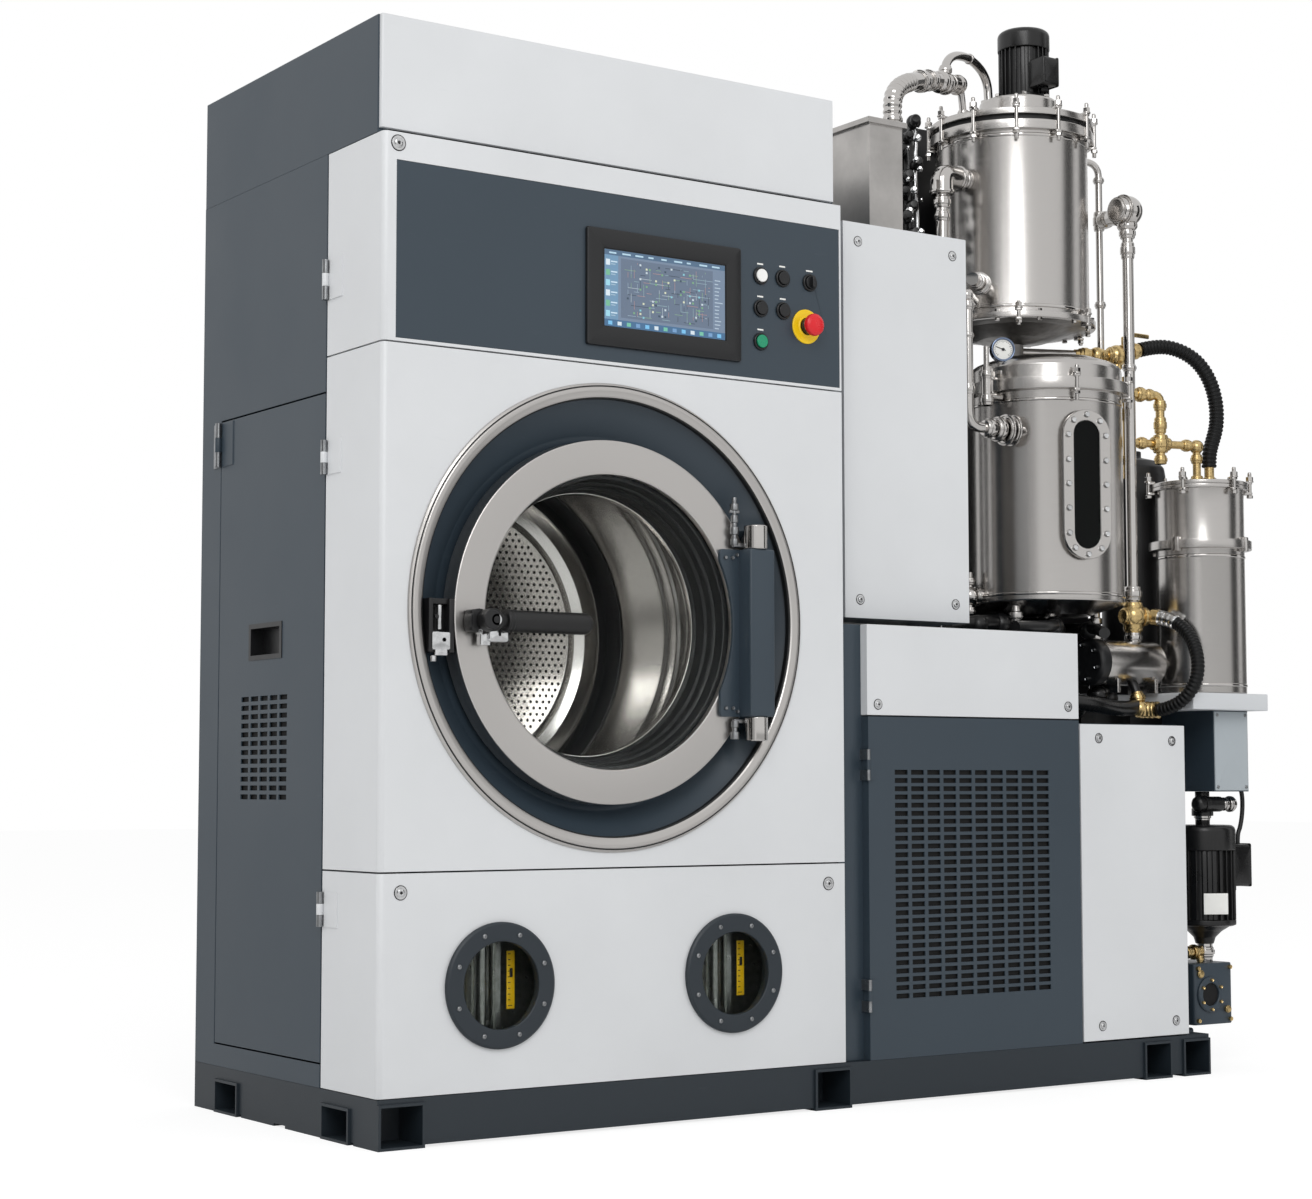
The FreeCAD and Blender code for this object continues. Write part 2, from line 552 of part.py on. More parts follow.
def hood_casing():
    """The slate hood on top of the cabinet, open below and behind its white front."""
    x, y, z = (0, CAB_W), (HOOD_INSET + SHEET + 7, CAB_D), (FRONT_TOP, CAB_TOP)
    hollow = box(inset(x, SHEET), inset(y, SHEET), (z[0], z[1] - SHEET))
    mouth = box(inset(x, RETURN), (y[0], y[0] + SHEET), (z[0], z[1] - RETURN))
    casing = box(x, y, z).cut([hollow, mouth])
    corners = [e for e in casing.Edges if is_level_edge(e, CAB_TOP) and runs_back(e, CAB_W)]
    return casing.makeChamfer(SHEET * 0.8, corners)


def is_level_edge(edge, z):
    return all(abs(v.Z - z) < 1e-6 for v in edge.Vertexes)


def runs_back(edge, x):
    return all(abs(v.X - x) < 1e-6 for v in edge.Vertexes)


def hood_front():
    x, z = (SHEET, CAB_W - 2 * SHEET), (FRONT_TOP + HOOD_LIFT, CAB_TOP)
    front = cover(x, (HOOD_INSET, HOOD_INSET + SHEET + 7), z)
    corner = [
        e for e in front.Edges
        if all(abs(v.X - x[0]) < 1e-6 and abs(v.Y - HOOD_INSET) < 1e-6 for v in e.Vertexes)
    ]
    return front.makeFillet(SHEET * 0.9, corner)


# ---------------------------------------------------------------- hinged front panels
def wrap_panel(z):
    """A folded front panel whose left edge runs back round the corner to its hinge."""
    front = box((0, CAB_W), (0, RETURN), z)
    side = box((0, RETURN), (0, WRAP), z)
    whole = join(front, side)
    corner = [
        e for e in whole.Edges
        if all(abs(v.X) < 1e-6 and abs(v.Y) < 1e-6 for v in e.Vertexes)
    ]
    whole = whole.makeFillet(EDGE_R, corner)
    inner_z = inset(z, SHEET)
    behind_front = box(inset((0, CAB_W), SHEET), (SHEET, RETURN), inner_z)
    behind_side = box((SHEET, RETURN), (SHEET, WRAP - SHEET), inner_z)
    hollow = join(behind_front, behind_side)
    bend = [
        e for e in hollow.Edges
        if all(abs(v.X - SHEET) < 1e-6 and abs(v.Y - SHEET) < 1e-6 for v in e.Vertexes)
    ]
    return whole.cut(hollow.makeFillet(EDGE_R - SHEET, bend))


def upper_front_panel():
    z = (UPPER_SEAM + SEAM / 2, FRONT_TOP - SEAM / 2)
    window = box(FASCIA_X, (0, SHEET), FASCIA_Z)
    return join(wrap_panel(z).cut(window), *panel_leaf(PANEL_HINGE_Z["upper"]))


def middle_front_panel():
    z = (LOWER_SEAM + SEAM / 2, UPPER_SEAM - SEAM / 2)
    bore = rod((RING_X, 0, RING_Z), Y, PANEL_BORE, SHEET)
    return join(wrap_panel(z).cut(bore), *panel_leaf(PANEL_HINGE_Z["middle"]))


def lower_front_panel():
    z = (BASE_TOP + SEAM / 2, LOWER_SEAM - SEAM / 2)
    bores = [rod((x, 0, PORT_Z), Y, PORT_SLEEVE_R + SLIP, SHEET) for x in PORTS_X]
    return join(wrap_panel(z).cut(bores), *panel_leaf(PANEL_HINGE_Z["lower"]))


def door_trim_ring():
    """The stainless ring round the door opening, with a lip into the panel's bore."""
    crown = (RING_R + RING_BORE) / 2
    lip = PANEL_BORE - SLIP
    profile = [
        (RING_BORE, SHEET),
        (RING_BORE, -RING_PROUD / 2),
        ("arc", (crown, -RING_PROUD), (RING_R, 0)),
        (lip, 0),
        (lip, SHEET),
    ]
    return turned(profile, (RING_X, 0, RING_Z), Y)


# ---------------------------------------------------------------- control panel
FASCIA_FRONT = 0.5


def panel_holes():
    """Centres and radii of the round holes in the fascia."""
    holes = [(x, z, BUTTON_HOLE_R + SLIP) for x, z in list(BUTTONS.values()) + [SELECTOR]]
    return holes + [(*STOP, BUTTON_HOLE_R + SLIP)]


def control_fascia():
    """The slate plate set into the upper panel, with a lip behind the panel's sheet."""
    x, z = inset(FASCIA_X, SLIP), inset(FASCIA_Z, SLIP)
    plate = box(x, (FASCIA_FRONT, SHEET), z)
    backing = box((x[0] - FASCIA_LIP, x[1]), (SHEET, 2 * SHEET), (z[0], z[1] + FASCIA_LIP))
    window = box(inset(SCREEN_UNIT_X, FASCIA_LIP), (0, 2 * SHEET), inset(SCREEN_UNIT_Z, FASCIA_LIP))
    holes = [rod((hx, 0, hz), Y, r, 2 * SHEET) for hx, hz, r in panel_holes()]
    return join(plate, backing).cut([window] + holes)


def hmi_unit():
    """Touch screen: a bevelled bezel in front of the fascia, and a body through it."""
    bezel = box(SCREEN_UNIT_X, (-SCREEN_PROUD, FASCIA_FRONT), SCREEN_UNIT_Z)
    rim = [e for e in bezel.Edges if all(abs(v.Y + SCREEN_PROUD) < 1e-6 for v in e.Vertexes)]
    bezel = bezel.makeChamfer(SCREEN_PROUD / 2, rim)
    glass = box(inset(SCREEN_UNIT_X, SCREEN_BEZEL), (-SCREEN_PROUD, SCREEN_RECESS - SCREEN_PROUD),
                inset(SCREEN_UNIT_Z, SCREEN_BEZEL))
    body = box(inset(SCREEN_UNIT_X, FASCIA_LIP + SLIP), (FASCIA_FRONT, SCREEN_BODY_DEPTH),
               inset(SCREEN_UNIT_Z, FASCIA_LIP + SLIP))
    return join(bezel.cut(glass), body)


def button_bezel(x, z):
    """A ring in front of the fascia and a threaded sleeve through it."""
    bore, sleeve = BUTTON_CAP_R + SLIP, BUTTON_STEM_R + SLIP
    floor = FASCIA_FRONT - BUTTON_BEZEL_FLOOR
    profile = [
        (sleeve, floor),
        (bore, floor),
        (bore, -BUTTON_BEZEL_PROUD),
        (BUTTON_BEZEL_R - 1, -BUTTON_BEZEL_PROUD),
        (BUTTON_BEZEL_R, 1 - BUTTON_BEZEL_PROUD),
        (BUTTON_BEZEL_R, FASCIA_FRONT),
        (BUTTON_HOLE_R, FASCIA_FRONT),
        (BUTTON_HOLE_R, BUTTON_DEPTH),
        (sleeve, BUTTON_DEPTH),
    ]
    return turned(profile, (x, 0, z), Y)


def stop_plate():
    """The yellow collar of the emergency stop."""
    bore = BUTTON_STEM_R + SLIP
    profile = [
        (bore, -STOP_NECK),
        (STOP_NECK_R, -STOP_NECK),
        (STOP_NECK_R, FASCIA_FRONT - STOP_PLATE_T),
        (STOP_PLATE_R, FASCIA_FRONT - STOP_PLATE_T),
        (STOP_PLATE_R, FASCIA_FRONT),
        (BUTTON_HOLE_R, FASCIA_FRONT),
        (BUTTON_HOLE_R, BUTTON_DEPTH),
        (bore, BUTTON_DEPTH),
    ]
    return turned(profile, (STOP[0], 0, STOP[1]), Y)


def panel_fittings():
    """The button bezels, the selector's bezel and the stop button's collar."""
    bezels = [button_bezel(x, z) for x, z in list(BUTTONS.values()) + [SELECTOR]]
    return group(bezels + [stop_plate()])


def push_button(x, z):
    """A cap with a stem that slides in its sleeve."""
    back = FASCIA_FRONT - BUTTON_BEZEL_FLOOR - BUTTON_TRAVEL - SLIP
    cap_edge = 1.0
    profile = [
        (0, -BUTTON_PROUD),
        (BUTTON_CAP_R - cap_edge, -BUTTON_PROUD),
        (BUTTON_CAP_R, cap_edge - BUTTON_PROUD),
        (BUTTON_CAP_R, back),
        (BUTTON_STEM_R, back),
        (BUTTON_STEM_R, BUTTON_DEPTH),
        (0, BUTTON_DEPTH),
    ]
    return turned(profile, (x, 0, z), Y)


def selector_switch():
    """A round knob with a grip across it."""
    knob = push_button(*SELECTOR)
    grip = box(about(SELECTOR[0], 3), (-BUTTON_PROUD - 9, -BUTTON_PROUD),
               about(SELECTOR[1], BUTTON_CAP_R - 1))
    return join(knob, grip)


def stop_button():
    """The mushroom head of the emergency stop."""
    back = -STOP_NECK - STOP_TRAVEL - SLIP
    front = back - STOP_HEAD_T
    profile = [
        (0, front),
        ("arc", (STOP_HEAD_R * 0.72, front + STOP_HEAD_T * 0.22), (STOP_HEAD_R, back - 5)),
        (STOP_HEAD_R, back),
        (BUTTON_STEM_R, back),
        (BUTTON_STEM_R, BUTTON_DEPTH),
        (0, BUTTON_DEPTH),
    ]
    return turned(profile, (STOP[0], 0, STOP[1]), Y)


# ---------------------------------------------------------------- lower front and solvent tank
def porthole_windows():
    """Bolted rings and their round glasses, in the lower panel."""
    rings = []
    for x in PORTS_X:
        profile = [
            (PORT_BORE, -PORT_PROUD),
            (PORT_R - 3, -PORT_PROUD),
            (PORT_R, 3 - PORT_PROUD),
            (PORT_R, 0),
            (PORT_SLEEVE_R, 0),
            (PORT_SLEEVE_R, PORT_DEPTH),
            (PORT_GLASS_R + SLIP, PORT_DEPTH),
            (PORT_GLASS_R + SLIP, SHEET),
            (PORT_BORE, SHEET),
        ]
        rings.append(turned(profile, (x, 0, PORT_Z), Y))
        rings.append(rod((x, SHEET, PORT_Z), Y, PORT_GLASS_R, 2 * SHEET))
    return group(rings)


def solvent_tank():
    """The steel tank behind the lower panel, with a drain sump."""
    z = (BASE_TOP, TANK_TOP)
    hollow = box(inset(TANK_X, SHEET), inset(TANK_Y, SHEET), inset(z, SHEET))
    fill = rod((sum(TANK_X) / 2, sum(TANK_Y) / 2, TANK_TOP - SHEET), Z, PORT_BORE / 2, SHEET)
    return box(TANK_X, TANK_Y, z).cut([hollow, fill])


def sight_gauges():
    """A glass level tube with its two cocks, and a scale plate, behind each window."""
    gauges = []
    for x in PORTS_X:
        centre = x + GAUGE_OFFSET
        rise = GAUGE_Z[1] - GAUGE_Z[0]
        glass = rod((centre, GAUGE_Y, GAUGE_Z[0]), Z, GAUGE_R, rise)
        cocks = [
            box(about(centre, GAUGE_R + 3), (GAUGE_Y - GAUGE_R - 3, TANK_Y[0]), about(z, GAUGE_R))
            for z in GAUGE_Z
        ]
        scale_x = (centre + SCALE_X, centre + SCALE_X + SCALE_W)
        scale = box(scale_x, (GAUGE_Y - SCALE_T, GAUGE_Y), inset(GAUGE_Z, GAUGE_R * 2))
        stays = [
            box((centre, scale_x[1]), (GAUGE_Y, GAUGE_Y + SCALE_T + 2), about(z, 4))
            for z in inset(GAUGE_Z, GAUGE_R * 3)
        ]
        gauges.append(join(glass, *cocks, *stays, scale))
    return group(gauges)


# ---------------------------------------------------------------- side door
def side_door():
    y = (SIDE_Y0, SIDE_DOOR_BACK)
    x = (0, DOOR_FLANGE)
    hollow = box((SHEET, DOOR_FLANGE), inset(y, SHEET), inset(SIDE_DOOR_Z, SHEET))
    pocket = box((0, SHEET), PULL_Y, PULL_Z)
    vents = grid_slots(VENT_Y, VENT_Z, VENT_COLUMNS, VENT_ROWS, VENT_FILL,
                       lambda a, b: box((0, SHEET), a, b))
    sheet = box(x, y, SIDE_DOOR_Z).cut([hollow, pocket, vents])
    return join(sheet, *side_leaf(SIDE_HINGE_Z))


def side_pull():
    """The black recessed pull: a flange on the door's face and a cup behind it."""
    flange = box((-1.5, 0), (PULL_Y[0] - 6, PULL_Y[1] + 6), (PULL_Z[0] - 6, PULL_Z[1] + 6))
    cup = box((0, PULL_DEPTH), inset(PULL_Y, SLIP), inset(PULL_Z, SLIP))
    wall = SLIP + PULL_WALL
    hollow = box((-1.5, PULL_DEPTH - PULL_WALL), inset(PULL_Y, wall), inset(PULL_Z, wall))
    return join(flange, cup).cut(hollow)


# ---------------------------------------------------------------- loading door
def at_door(y=0.0):
    return (DOOR_X, y, DOOR_Z)


def door_ring():
    """A pressed stainless ring: a flat face with an outer rim and a short inner rim."""
    soft = 3.0
    profile = [
        (DOOR_BORE, soft),
        ("arc", (DOOR_BORE + soft * 0.3, soft * 0.3), (DOOR_BORE + soft, 0)),
        (DOOR_R - soft, 0),
        ("arc", (DOOR_R - soft * 0.3, soft * 0.3), (DOOR_R, soft)),
        (DOOR_R, DOOR_T),
        (DOOR_R - DOOR_WALL, DOOR_T),
        (DOOR_R - DOOR_WALL, DOOR_WALL),
        (DOOR_BORE + DOOR_WALL, DOOR_WALL),
        (DOOR_BORE + DOOR_WALL, GLASS_Y),
        (DOOR_BORE, GLASS_Y),
    ]
    return turned(profile, at_door(), Y)


def door_glass():
    return rod(at_door(GLASS_Y), Y, GLASS_R, GLASS_T)


def door_seal():
    """The black rubber ring that holds the glass in the door and meets the gasket."""
    outer = DOOR_R - DOOR_WALL - SEAT
    front = GLASS_Y + GLASS_T
    profile = [(SEAL_R + 6, front), (outer, front), (outer, DOOR_T), (SEAL_R, DOOR_T)]
    return turned(profile, at_door(), Y)


def door_gasket():
    """The rubber cone between the door and the drum's mouth."""
    outer = COLLAR_R - SEAT
    front = DOOR_T + SEAT
    relief = front + GASKET_RELIEF / 2
    profile = [(SEAL_R, front), (outer - GASKET_RELIEF, front), (outer, relief), (outer, MOUTH_Y),
               (MOUTH_R, MOUTH_Y)]
    return turned(profile, at_door(), Y)


def block_bore():
    return DOOR_PIN_R + PIN_FIT


def door_hinge_block():
    """The hinge leaf on the door: a square column over the pin, and a flange on the ring."""
    column = box(BLOCK_X, BLOCK_Y, BLOCK_Z)
    front_edges = [
        e for e in column.Edges
        if all(abs(v.Y - BLOCK_Y[0]) < 1e-6 for v in e.Vertexes) and e.Length > 100
    ]
    column = column.makeFillet(4, front_edges)
    flange = box((BLOCK_FLANGE_X, BLOCK_X[1]), (-BLOCK_FLANGE_T, 0), BLOCK_Z)
    opening = rod(at_door(-BLOCK_FLANGE_T), Y, BLOCK_FLANGE_BORE, BLOCK_FLANGE_T)
    bore = rod((DOOR_PIN_X, DOOR_PIN_Y, BLOCK_Z[0]), Z, block_bore(), BLOCK_Z[1] - BLOCK_Z[0])
    return join(column, flange.cut(opening)).cut(bore)


def mouth_space():
    """The room in front of the tapered dish that surrounds the door."""
    wide = Part.Wire(Part.makeCircle(DISH_R, V(RING_X, DISH_Y, RING_Z), Y))
    narrow = Part.Wire(Part.makeCircle(DISH_FLOOR_R, V(DOOR_X, DISH_FLOOR_Y, DOOR_Z), Y))
    cone = Part.makeLoft([wide, narrow], True, True)
    return join(cone, rod((RING_X, DISH_Y - 100, RING_Z), Y, DISH_R, 100))


def door_pin():
    """The fixed hinge pin between its two caps, on brackets that stand on the dish."""
    pieces = [rod((DOOR_PIN_X, DOOR_PIN_Y, BLOCK_Z[0] - PIN_CAP_H), Z, DOOR_PIN_R,
                  BLOCK_Z[1] - BLOCK_Z[0] + 2 * PIN_CAP_H)]
    for z in (BLOCK_Z[0] - SEAT - PIN_CAP_H, BLOCK_Z[1] + SEAT):
        pieces.append(rod((DOOR_PIN_X, DOOR_PIN_Y, z), Z, PIN_CAP_R, PIN_CAP_H))
        centre = z + PIN_CAP_H / 2
        arm = box(BRACKET_X, (DOOR_PIN_Y, DISH_FLOOR_Y), about(centre, BRACKET_H / 2))
        pieces.append(arm.common(mouth_space()))
    return join(*pieces)


def door_keeper():
    """The catch that the door's latch closes on, standing on the dish."""
    block = box(KEEPER_X, (KEEPER_FRONT, DISH_FLOOR_Y), KEEPER_Z)
    slot = box((KEEPER_X[1] - 26, KEEPER_X[1]), (KEEPER_FRONT, KEEPER_FRONT + 14),
               inset(KEEPER_Z, 30, 16))
    return block.cut(slot).common(mouth_space())


def handle_mount():
    """The clevis on the door's face, with the handle's pivot pin."""
    items = [
        (HANDLE_MOUNT_X, -HANDLE_MOUNT_R),
        (HANDLE_X, -HANDLE_MOUNT_R),
        ("arc", (HANDLE_X + HANDLE_MOUNT_R, 0), (HANDLE_X, HANDLE_MOUNT_R)),
        (HANDLE_MOUNT_X, HANDLE_MOUNT_R),
        ("arc", (HANDLE_MOUNT_X - HANDLE_MOUNT_R, 0), (HANDLE_MOUNT_X, -HANDLE_MOUNT_R)),
    ]
    body = extruded(items, lambda a, b: V(a, HANDLE_MOUNT_Y, HANDLE_Z + b), V(0, -HANDLE_MOUNT_Y, 0))
    slot = box((HANDLE_SLOT_X, HANDLE_X + 2 * HANDLE_MOUNT_R), HANDLE_SLOT_Y,
               about(HANDLE_Z, 2 * HANDLE_MOUNT_R))
    pin = rod((HANDLE_X, HANDLE_MOUNT_Y, HANDLE_Z), Y, HANDLE_PIN_R, -HANDLE_MOUNT_Y)
    return join(body.cut(slot), pin)


def door_handle():
    """A round bar on a tongue that turns in the clevis."""
    y = inset(HANDLE_SLOT_Y, SLIP)
    depth = y[1] - y[0]
    tongue_r = HANDLE_MOUNT_R - 1
    eye = rod((HANDLE_X, y[0], HANDLE_Z), Y, tongue_r, depth)
    start = HANDLE_X + HANDLE_MOUNT_R + 5
    neck = box((HANDLE_X, start + 5), y, about(HANDLE_Z, HANDLE_R * 0.8))
    axis_y = sum(HANDLE_SLOT_Y) / 2
    tip = HANDLE_R * 0.3
    bar = [
        (0, 0),
        (HANDLE_R, 0),
        (HANDLE_R, HANDLE_END - HANDLE_R * 0.7 - start),
        ("arc", (HANDLE_R * 0.8, HANDLE_END - HANDLE_R * 0.2 - start), (tip, HANDLE_END - start)),
        (0, HANDLE_END - start),
    ]
    grip = turned(bar, (start, axis_y, HANDLE_Z), X)
    bore = rod((HANDLE_X, y[0], HANDLE_Z), Y, HANDLE_PIN_R + PIN_FIT, depth)
    return join(eye, neck, grip).cut(bore)


# ---------------------------------------------------------------- tub, drum and drive
def tub_front():
    """The slate dish round the door, with the collar that joins it to the tub."""
    wide = Part.makeCircle(DISH_R, V(RING_X, DISH_Y, RING_Z), Y)
    narrow = Part.makeCircle(DISH_FLOOR_R, V(DOOR_X, DISH_FLOOR_Y, DOOR_Z), Y)
    wide_back = Part.makeCircle(DISH_R, V(RING_X, DISH_Y + SHEET, RING_Z), Y)
    narrow_back = Part.makeCircle(DISH_FLOOR_R, V(DOOR_X, DISH_FLOOR_Y + SHEET, DOOR_Z), Y)
    front = Part.makeLoft([Part.Wire(wide), Part.Wire(narrow)], True, True)
    back = Part.makeLoft([Part.Wire(wide_back), Part.Wire(narrow_back)], True, True)
    rim = rod((RING_X, DISH_Y, RING_Z), Y, DISH_R, SHEET)
    inner = COLLAR_R
    cone = join(rim, back).cut([front, rod(at_door(), Y, inner, TUB_BACK)])
    tub_face = tub_face_y()
    profile = [
        (inner, DISH_FLOOR_Y),
        (DISH_FLOOR_R, DISH_FLOOR_Y),
        (DISH_FLOOR_R, DISH_FLOOR_Y + SHEET),
        (inner + SHEET, DISH_FLOOR_Y + SHEET),
        (inner + SHEET, tub_face - SHEET),
        (TUB_R, tub_face - SHEET),
        (TUB_R, tub_face),
        (inner, tub_face),
    ]
    return join(cone, turned(profile, at_door(), Y))


def tub_face_y():
    return DRUM_FRONT - SHEET


def tub_shell():
    """The outer tub with its back wall, bearing housing and the two saddles it stands on."""
    front = tub_face_y()
    housing_end = TUB_BACK + HOUSING_DEPTH
    profile = [
        (TUB_R - TUB_WALL, front),
        (TUB_R, front),
        (TUB_R, TUB_BACK),
        (HOUSING_R, TUB_BACK),
        (HOUSING_R, housing_end),
        (SHAFT_R + PIN_FIT, housing_end),
        (SHAFT_R + PIN_FIT, TUB_BACK - TUB_WALL),
        (TUB_R - TUB_WALL, TUB_BACK - TUB_WALL),
    ]
    shell = turned(profile, at_door(), Y)
    hollow = rod(at_door(front), Y, TUB_R - TUB_WALL / 2, TUB_BACK - front)
    saddles = [
        box(SADDLE_X, (y, y + SADDLE_T), (BASE_TOP, DOOR_Z - TUB_R * 0.35)).cut(hollow)
        for y in SADDLES
    ]
    return join(shell, *saddles)


def drum():
    """The steel drum with its rolled lip, two beads, back plate and shaft."""
    inner = DRUM_R - DRUM_WALL
    lip = MOUTH_Y + 1.5
    wall = [(DRUM_R, DRUM_FRONT)]
    for y in BEADS:
        wall += [
            (DRUM_R, y - BEAD_W / 2),
            ("arc", (DRUM_R - BEAD_H, y), (DRUM_R, y + BEAD_W / 2)),
        ]
    inside = [(inner, DRUM_BACK)]
    for y in reversed(BEADS):
        inside += [
            (inner, y + BEAD_W / 2),
            ("arc", (inner - BEAD_H, y), (inner, y - BEAD_W / 2)),
        ]
    profile = [
        (MOUTH_R, lip),
        (MOUTH_R + DRUM_WALL, lip),
        (MOUTH_R + DRUM_WALL, DRUM_FRONT),
        *wall,
        (DRUM_R, DRUM_BACK + DRUM_WALL),
        (SHAFT_FLANGE_R, DRUM_BACK + DRUM_WALL),
        (SHAFT_FLANGE_R, DRUM_BACK + 4 * DRUM_WALL),
        (SHAFT_R, DRUM_BACK + 4 * DRUM_WALL),
        (SHAFT_R, SHAFT_END),
        (0, SHAFT_END),
        (0, DRUM_BACK),
        *inside,
        (inner, DRUM_FRONT + DRUM_WALL),
        (MOUTH_R, DRUM_FRONT + DRUM_WALL),
    ]
    return turned(profile, at_door(), Y)


def drum_pulley():
    """A flat-belt pulley with a rim, a web and a hub on the drum's shaft."""
    y, web = (PULLEY_Y, PULLEY_Y + PULLEY_W), 6.0
    middle = sum(y) / 2
    rim = PULLEY_R - PULLEY_RIM
    profile = [
        (SHAFT_R + SEAT, y[0]),
        (PULLEY_HUB_R, y[0]),
        (PULLEY_HUB_R, middle - web / 2),
        (rim, middle - web / 2),
        (rim, y[0]),
        (PULLEY_R, y[0]),
        (PULLEY_R, y[1]),
        (rim, y[1]),
        (rim, middle + web / 2),
        (PULLEY_HUB_R, middle + web / 2),
        (PULLEY_HUB_R, y[1]),
        (SHAFT_R + SEAT, y[1]),
    ]
    return turned(profile, at_door(), Y)


def belt_outline(extra):
    """A loop round both pulleys: two tangent lines and two arcs, with radii grown by extra."""
    big, small = PULLEY_R + extra, MOTOR_PULLEY_R + extra
    dx, dz = DRIVE_X - DOOR_X, DRIVE_Z - DOOR_Z
    lean = math.atan2(dz, dx)
    spread_angle = math.acos((big - small) / math.hypot(dx, dz))

    def on_big(angle):
        return DOOR_X + big * math.cos(angle), DOOR_Z + big * math.sin(angle)

    def on_small(angle):
        return DRIVE_X + small * math.cos(angle), DRIVE_Z + small * math.sin(angle)

    first, second = lean + spread_angle, lean - spread_angle
    return [
        on_big(first),
        on_small(first),
        ("arc", on_small(lean), on_small(second)),
        on_big(second),
        ("arc", on_big(lean + math.pi), on_big(first)),
    ]


def drive_belt():
    def place(a, b):
        return V(a, PULLEY_Y + SLIP, b)

    run = V(0, PULLEY_W - 2 * SLIP, 0)
    outer = extruded(belt_outline(SEAT + BELT_T), place, run)
    return outer.cut(extruded(belt_outline(SEAT), place, run))


def motor_pulley():
    """The small pulley with its shaft, which turns in the drive motor."""
    start = DRIVE_Y[0] + 20
    shaft = rod((DRIVE_X, start, DRIVE_Z), Y, DRIVE_SHAFT_R, PULLEY_Y - start)
    return join(shaft, rod((DRIVE_X, PULLEY_Y, DRIVE_Z), Y, MOTOR_PULLEY_R, PULLEY_W))


def drive_motor():
    """The drum's motor on its foot."""
    length = DRIVE_Y[1] - DRIVE_Y[0]
    body = rod((DRIVE_X, DRIVE_Y[0], DRIVE_Z), Y, DRIVE_R, length)
    foot = box(about(DRIVE_X, DRIVE_R * 0.8), inset(DRIVE_Y, 30), (BASE_TOP, DRIVE_Z))
    bore_start = DRIVE_Y[0] + 20 - SLIP
    bore = rod((DRIVE_X, bore_start, DRIVE_Z), Y, DRIVE_SHAFT_R + PIN_FIT, DRIVE_Y[1] - bore_start)
    return join(body, foot).cut(bore)


# ---------------------------------------------------------------- right cabinet
def stepped_casing():
    """The slate casing with its floor, decks and the recessed strip on the left."""
    left = CAB_W + 1
    low = box((left, RIGHT_END), (STRIP_Y, CAB_D), (BASE_TOP, LOW_DECK))
    high = box((left, STEP_X), (STRIP_Y, CAB_D), (LOW_DECK - SHEET, HIGH_DECK))
    low_hollow = box((left + SHEET, RIGHT_END - SHEET), (STRIP_Y + SHEET, CAB_D - SHEET),
                     (BASE_TOP + SHEET, LOW_DECK - SHEET))
    high_hollow = box((left + SHEET, STEP_X - SHEET), (STRIP_Y + SHEET, CAB_D - SHEET),
                      (LOW_DECK - 2 * SHEET, HIGH_DECK - SHEET))
    opening = box((SIDE_STRIP + RETURN, STEP_X - RETURN), (STRIP_Y, STRIP_Y + SHEET),
                  (BASE_TOP + RETURN, LOW_DECK - RETURN))
    riser = box((CAB_W, SIDE_STRIP + 1), (COVER_Y[0] + COVER_SET_BACK, COVER_Y[1]),
                (HIGH_DECK, COVER_Z[1]))
    riser_hollow = box((CAB_W + SHEET, SIDE_STRIP + 1 - SHEET),
                       inset((COVER_Y[0] + COVER_SET_BACK, COVER_Y[1]), SHEET),
                       (HIGH_DECK - SHEET, COVER_Z[1] - SHEET))
    casing = join(low, high).cut([low_hollow, high_hollow, opening])
    return join(casing, riser.cut(riser_hollow))


def right_cabinet():
    """The tall part of the casing, up to the step in its top."""
    return stepped_casing().common(box((CAB_W, STEP_X), (0, CAB_D), (BASE_TOP, COVER_Z[1])))


def side_cabinet():
    """The low part, which is bolted to the tall part's side."""
    return stepped_casing().common(box((STEP_X, RIGHT_END), (0, CAB_D), (BASE_TOP, LOW_DECK)))


def upper_cover():
    return cover(COVER_X, COVER_Y, COVER_Z)


def drawer_cover():
    return cover((SIDE_STRIP, STEP_X), (0, STRIP_Y), (DRAWER_Z0, HIGH_DECK))


def narrow_cover():
    return cover((STEP_X + 4, RIGHT_END), (0, STRIP_Y), NARROW_Z)


def grille_door():
    """The slate door with its slotted air grille and the moving hinge leaves."""
    x = (GRILLE_X0, STEP_X)
    slots = grid_slots(SLOTS_X, SLOTS_Z, SLOT_COLUMNS, SLOT_ROWS, SLOT_FILL,
                       lambda a, b: box(a, (0, SHEET), b))
    sheet = cover(x, (0, STRIP_Y - SLIP), GRILLE_Z).cut(slots)
    pieces = []
    edge = GRILLE_PIN[0] + GRILLE_KNUCKLE_R
    for z in GRILLE_HINGE_Z:
        middle = inset(thirds(z)[1], HINGE_GAP)
        pieces.append(box((edge + HINGE_GAP, edge + GRILLE_LEAF), (-LEAF_T, 0), z))
        neck = box((GRILLE_PIN[0], edge + HINGE_GAP), (GRILLE_PIN[1] + GRILLE_PIN_R + 0.6, 0), middle)
        pieces.append(neck)
        pieces.append(moving_knuckle(GRILLE_PIN, z, GRILLE_KNUCKLE_R, GRILLE_PIN_R))
    return join(sheet, *pieces)


# ---------------------------------------------------------------- tower
def condenser_box():
    """The tall stainless condenser with an overhanging cap."""
    case = box(CONDENSER_X, CONDENSER_Y, (HIGH_DECK, CONDENSER_TOP))
    hollow = box(inset(CONDENSER_X, SHEET), inset(CONDENSER_Y, SHEET),
                 (HIGH_DECK, CONDENSER_TOP - CONDENSER_CAP))
    cap = box(inset(CONDENSER_X, -CONDENSER_LIP), inset(CONDENSER_Y, -CONDENSER_LIP),
              (CONDENSER_TOP - CONDENSER_CAP, CONDENSER_TOP))
    return join(case.cut(hollow), cap)


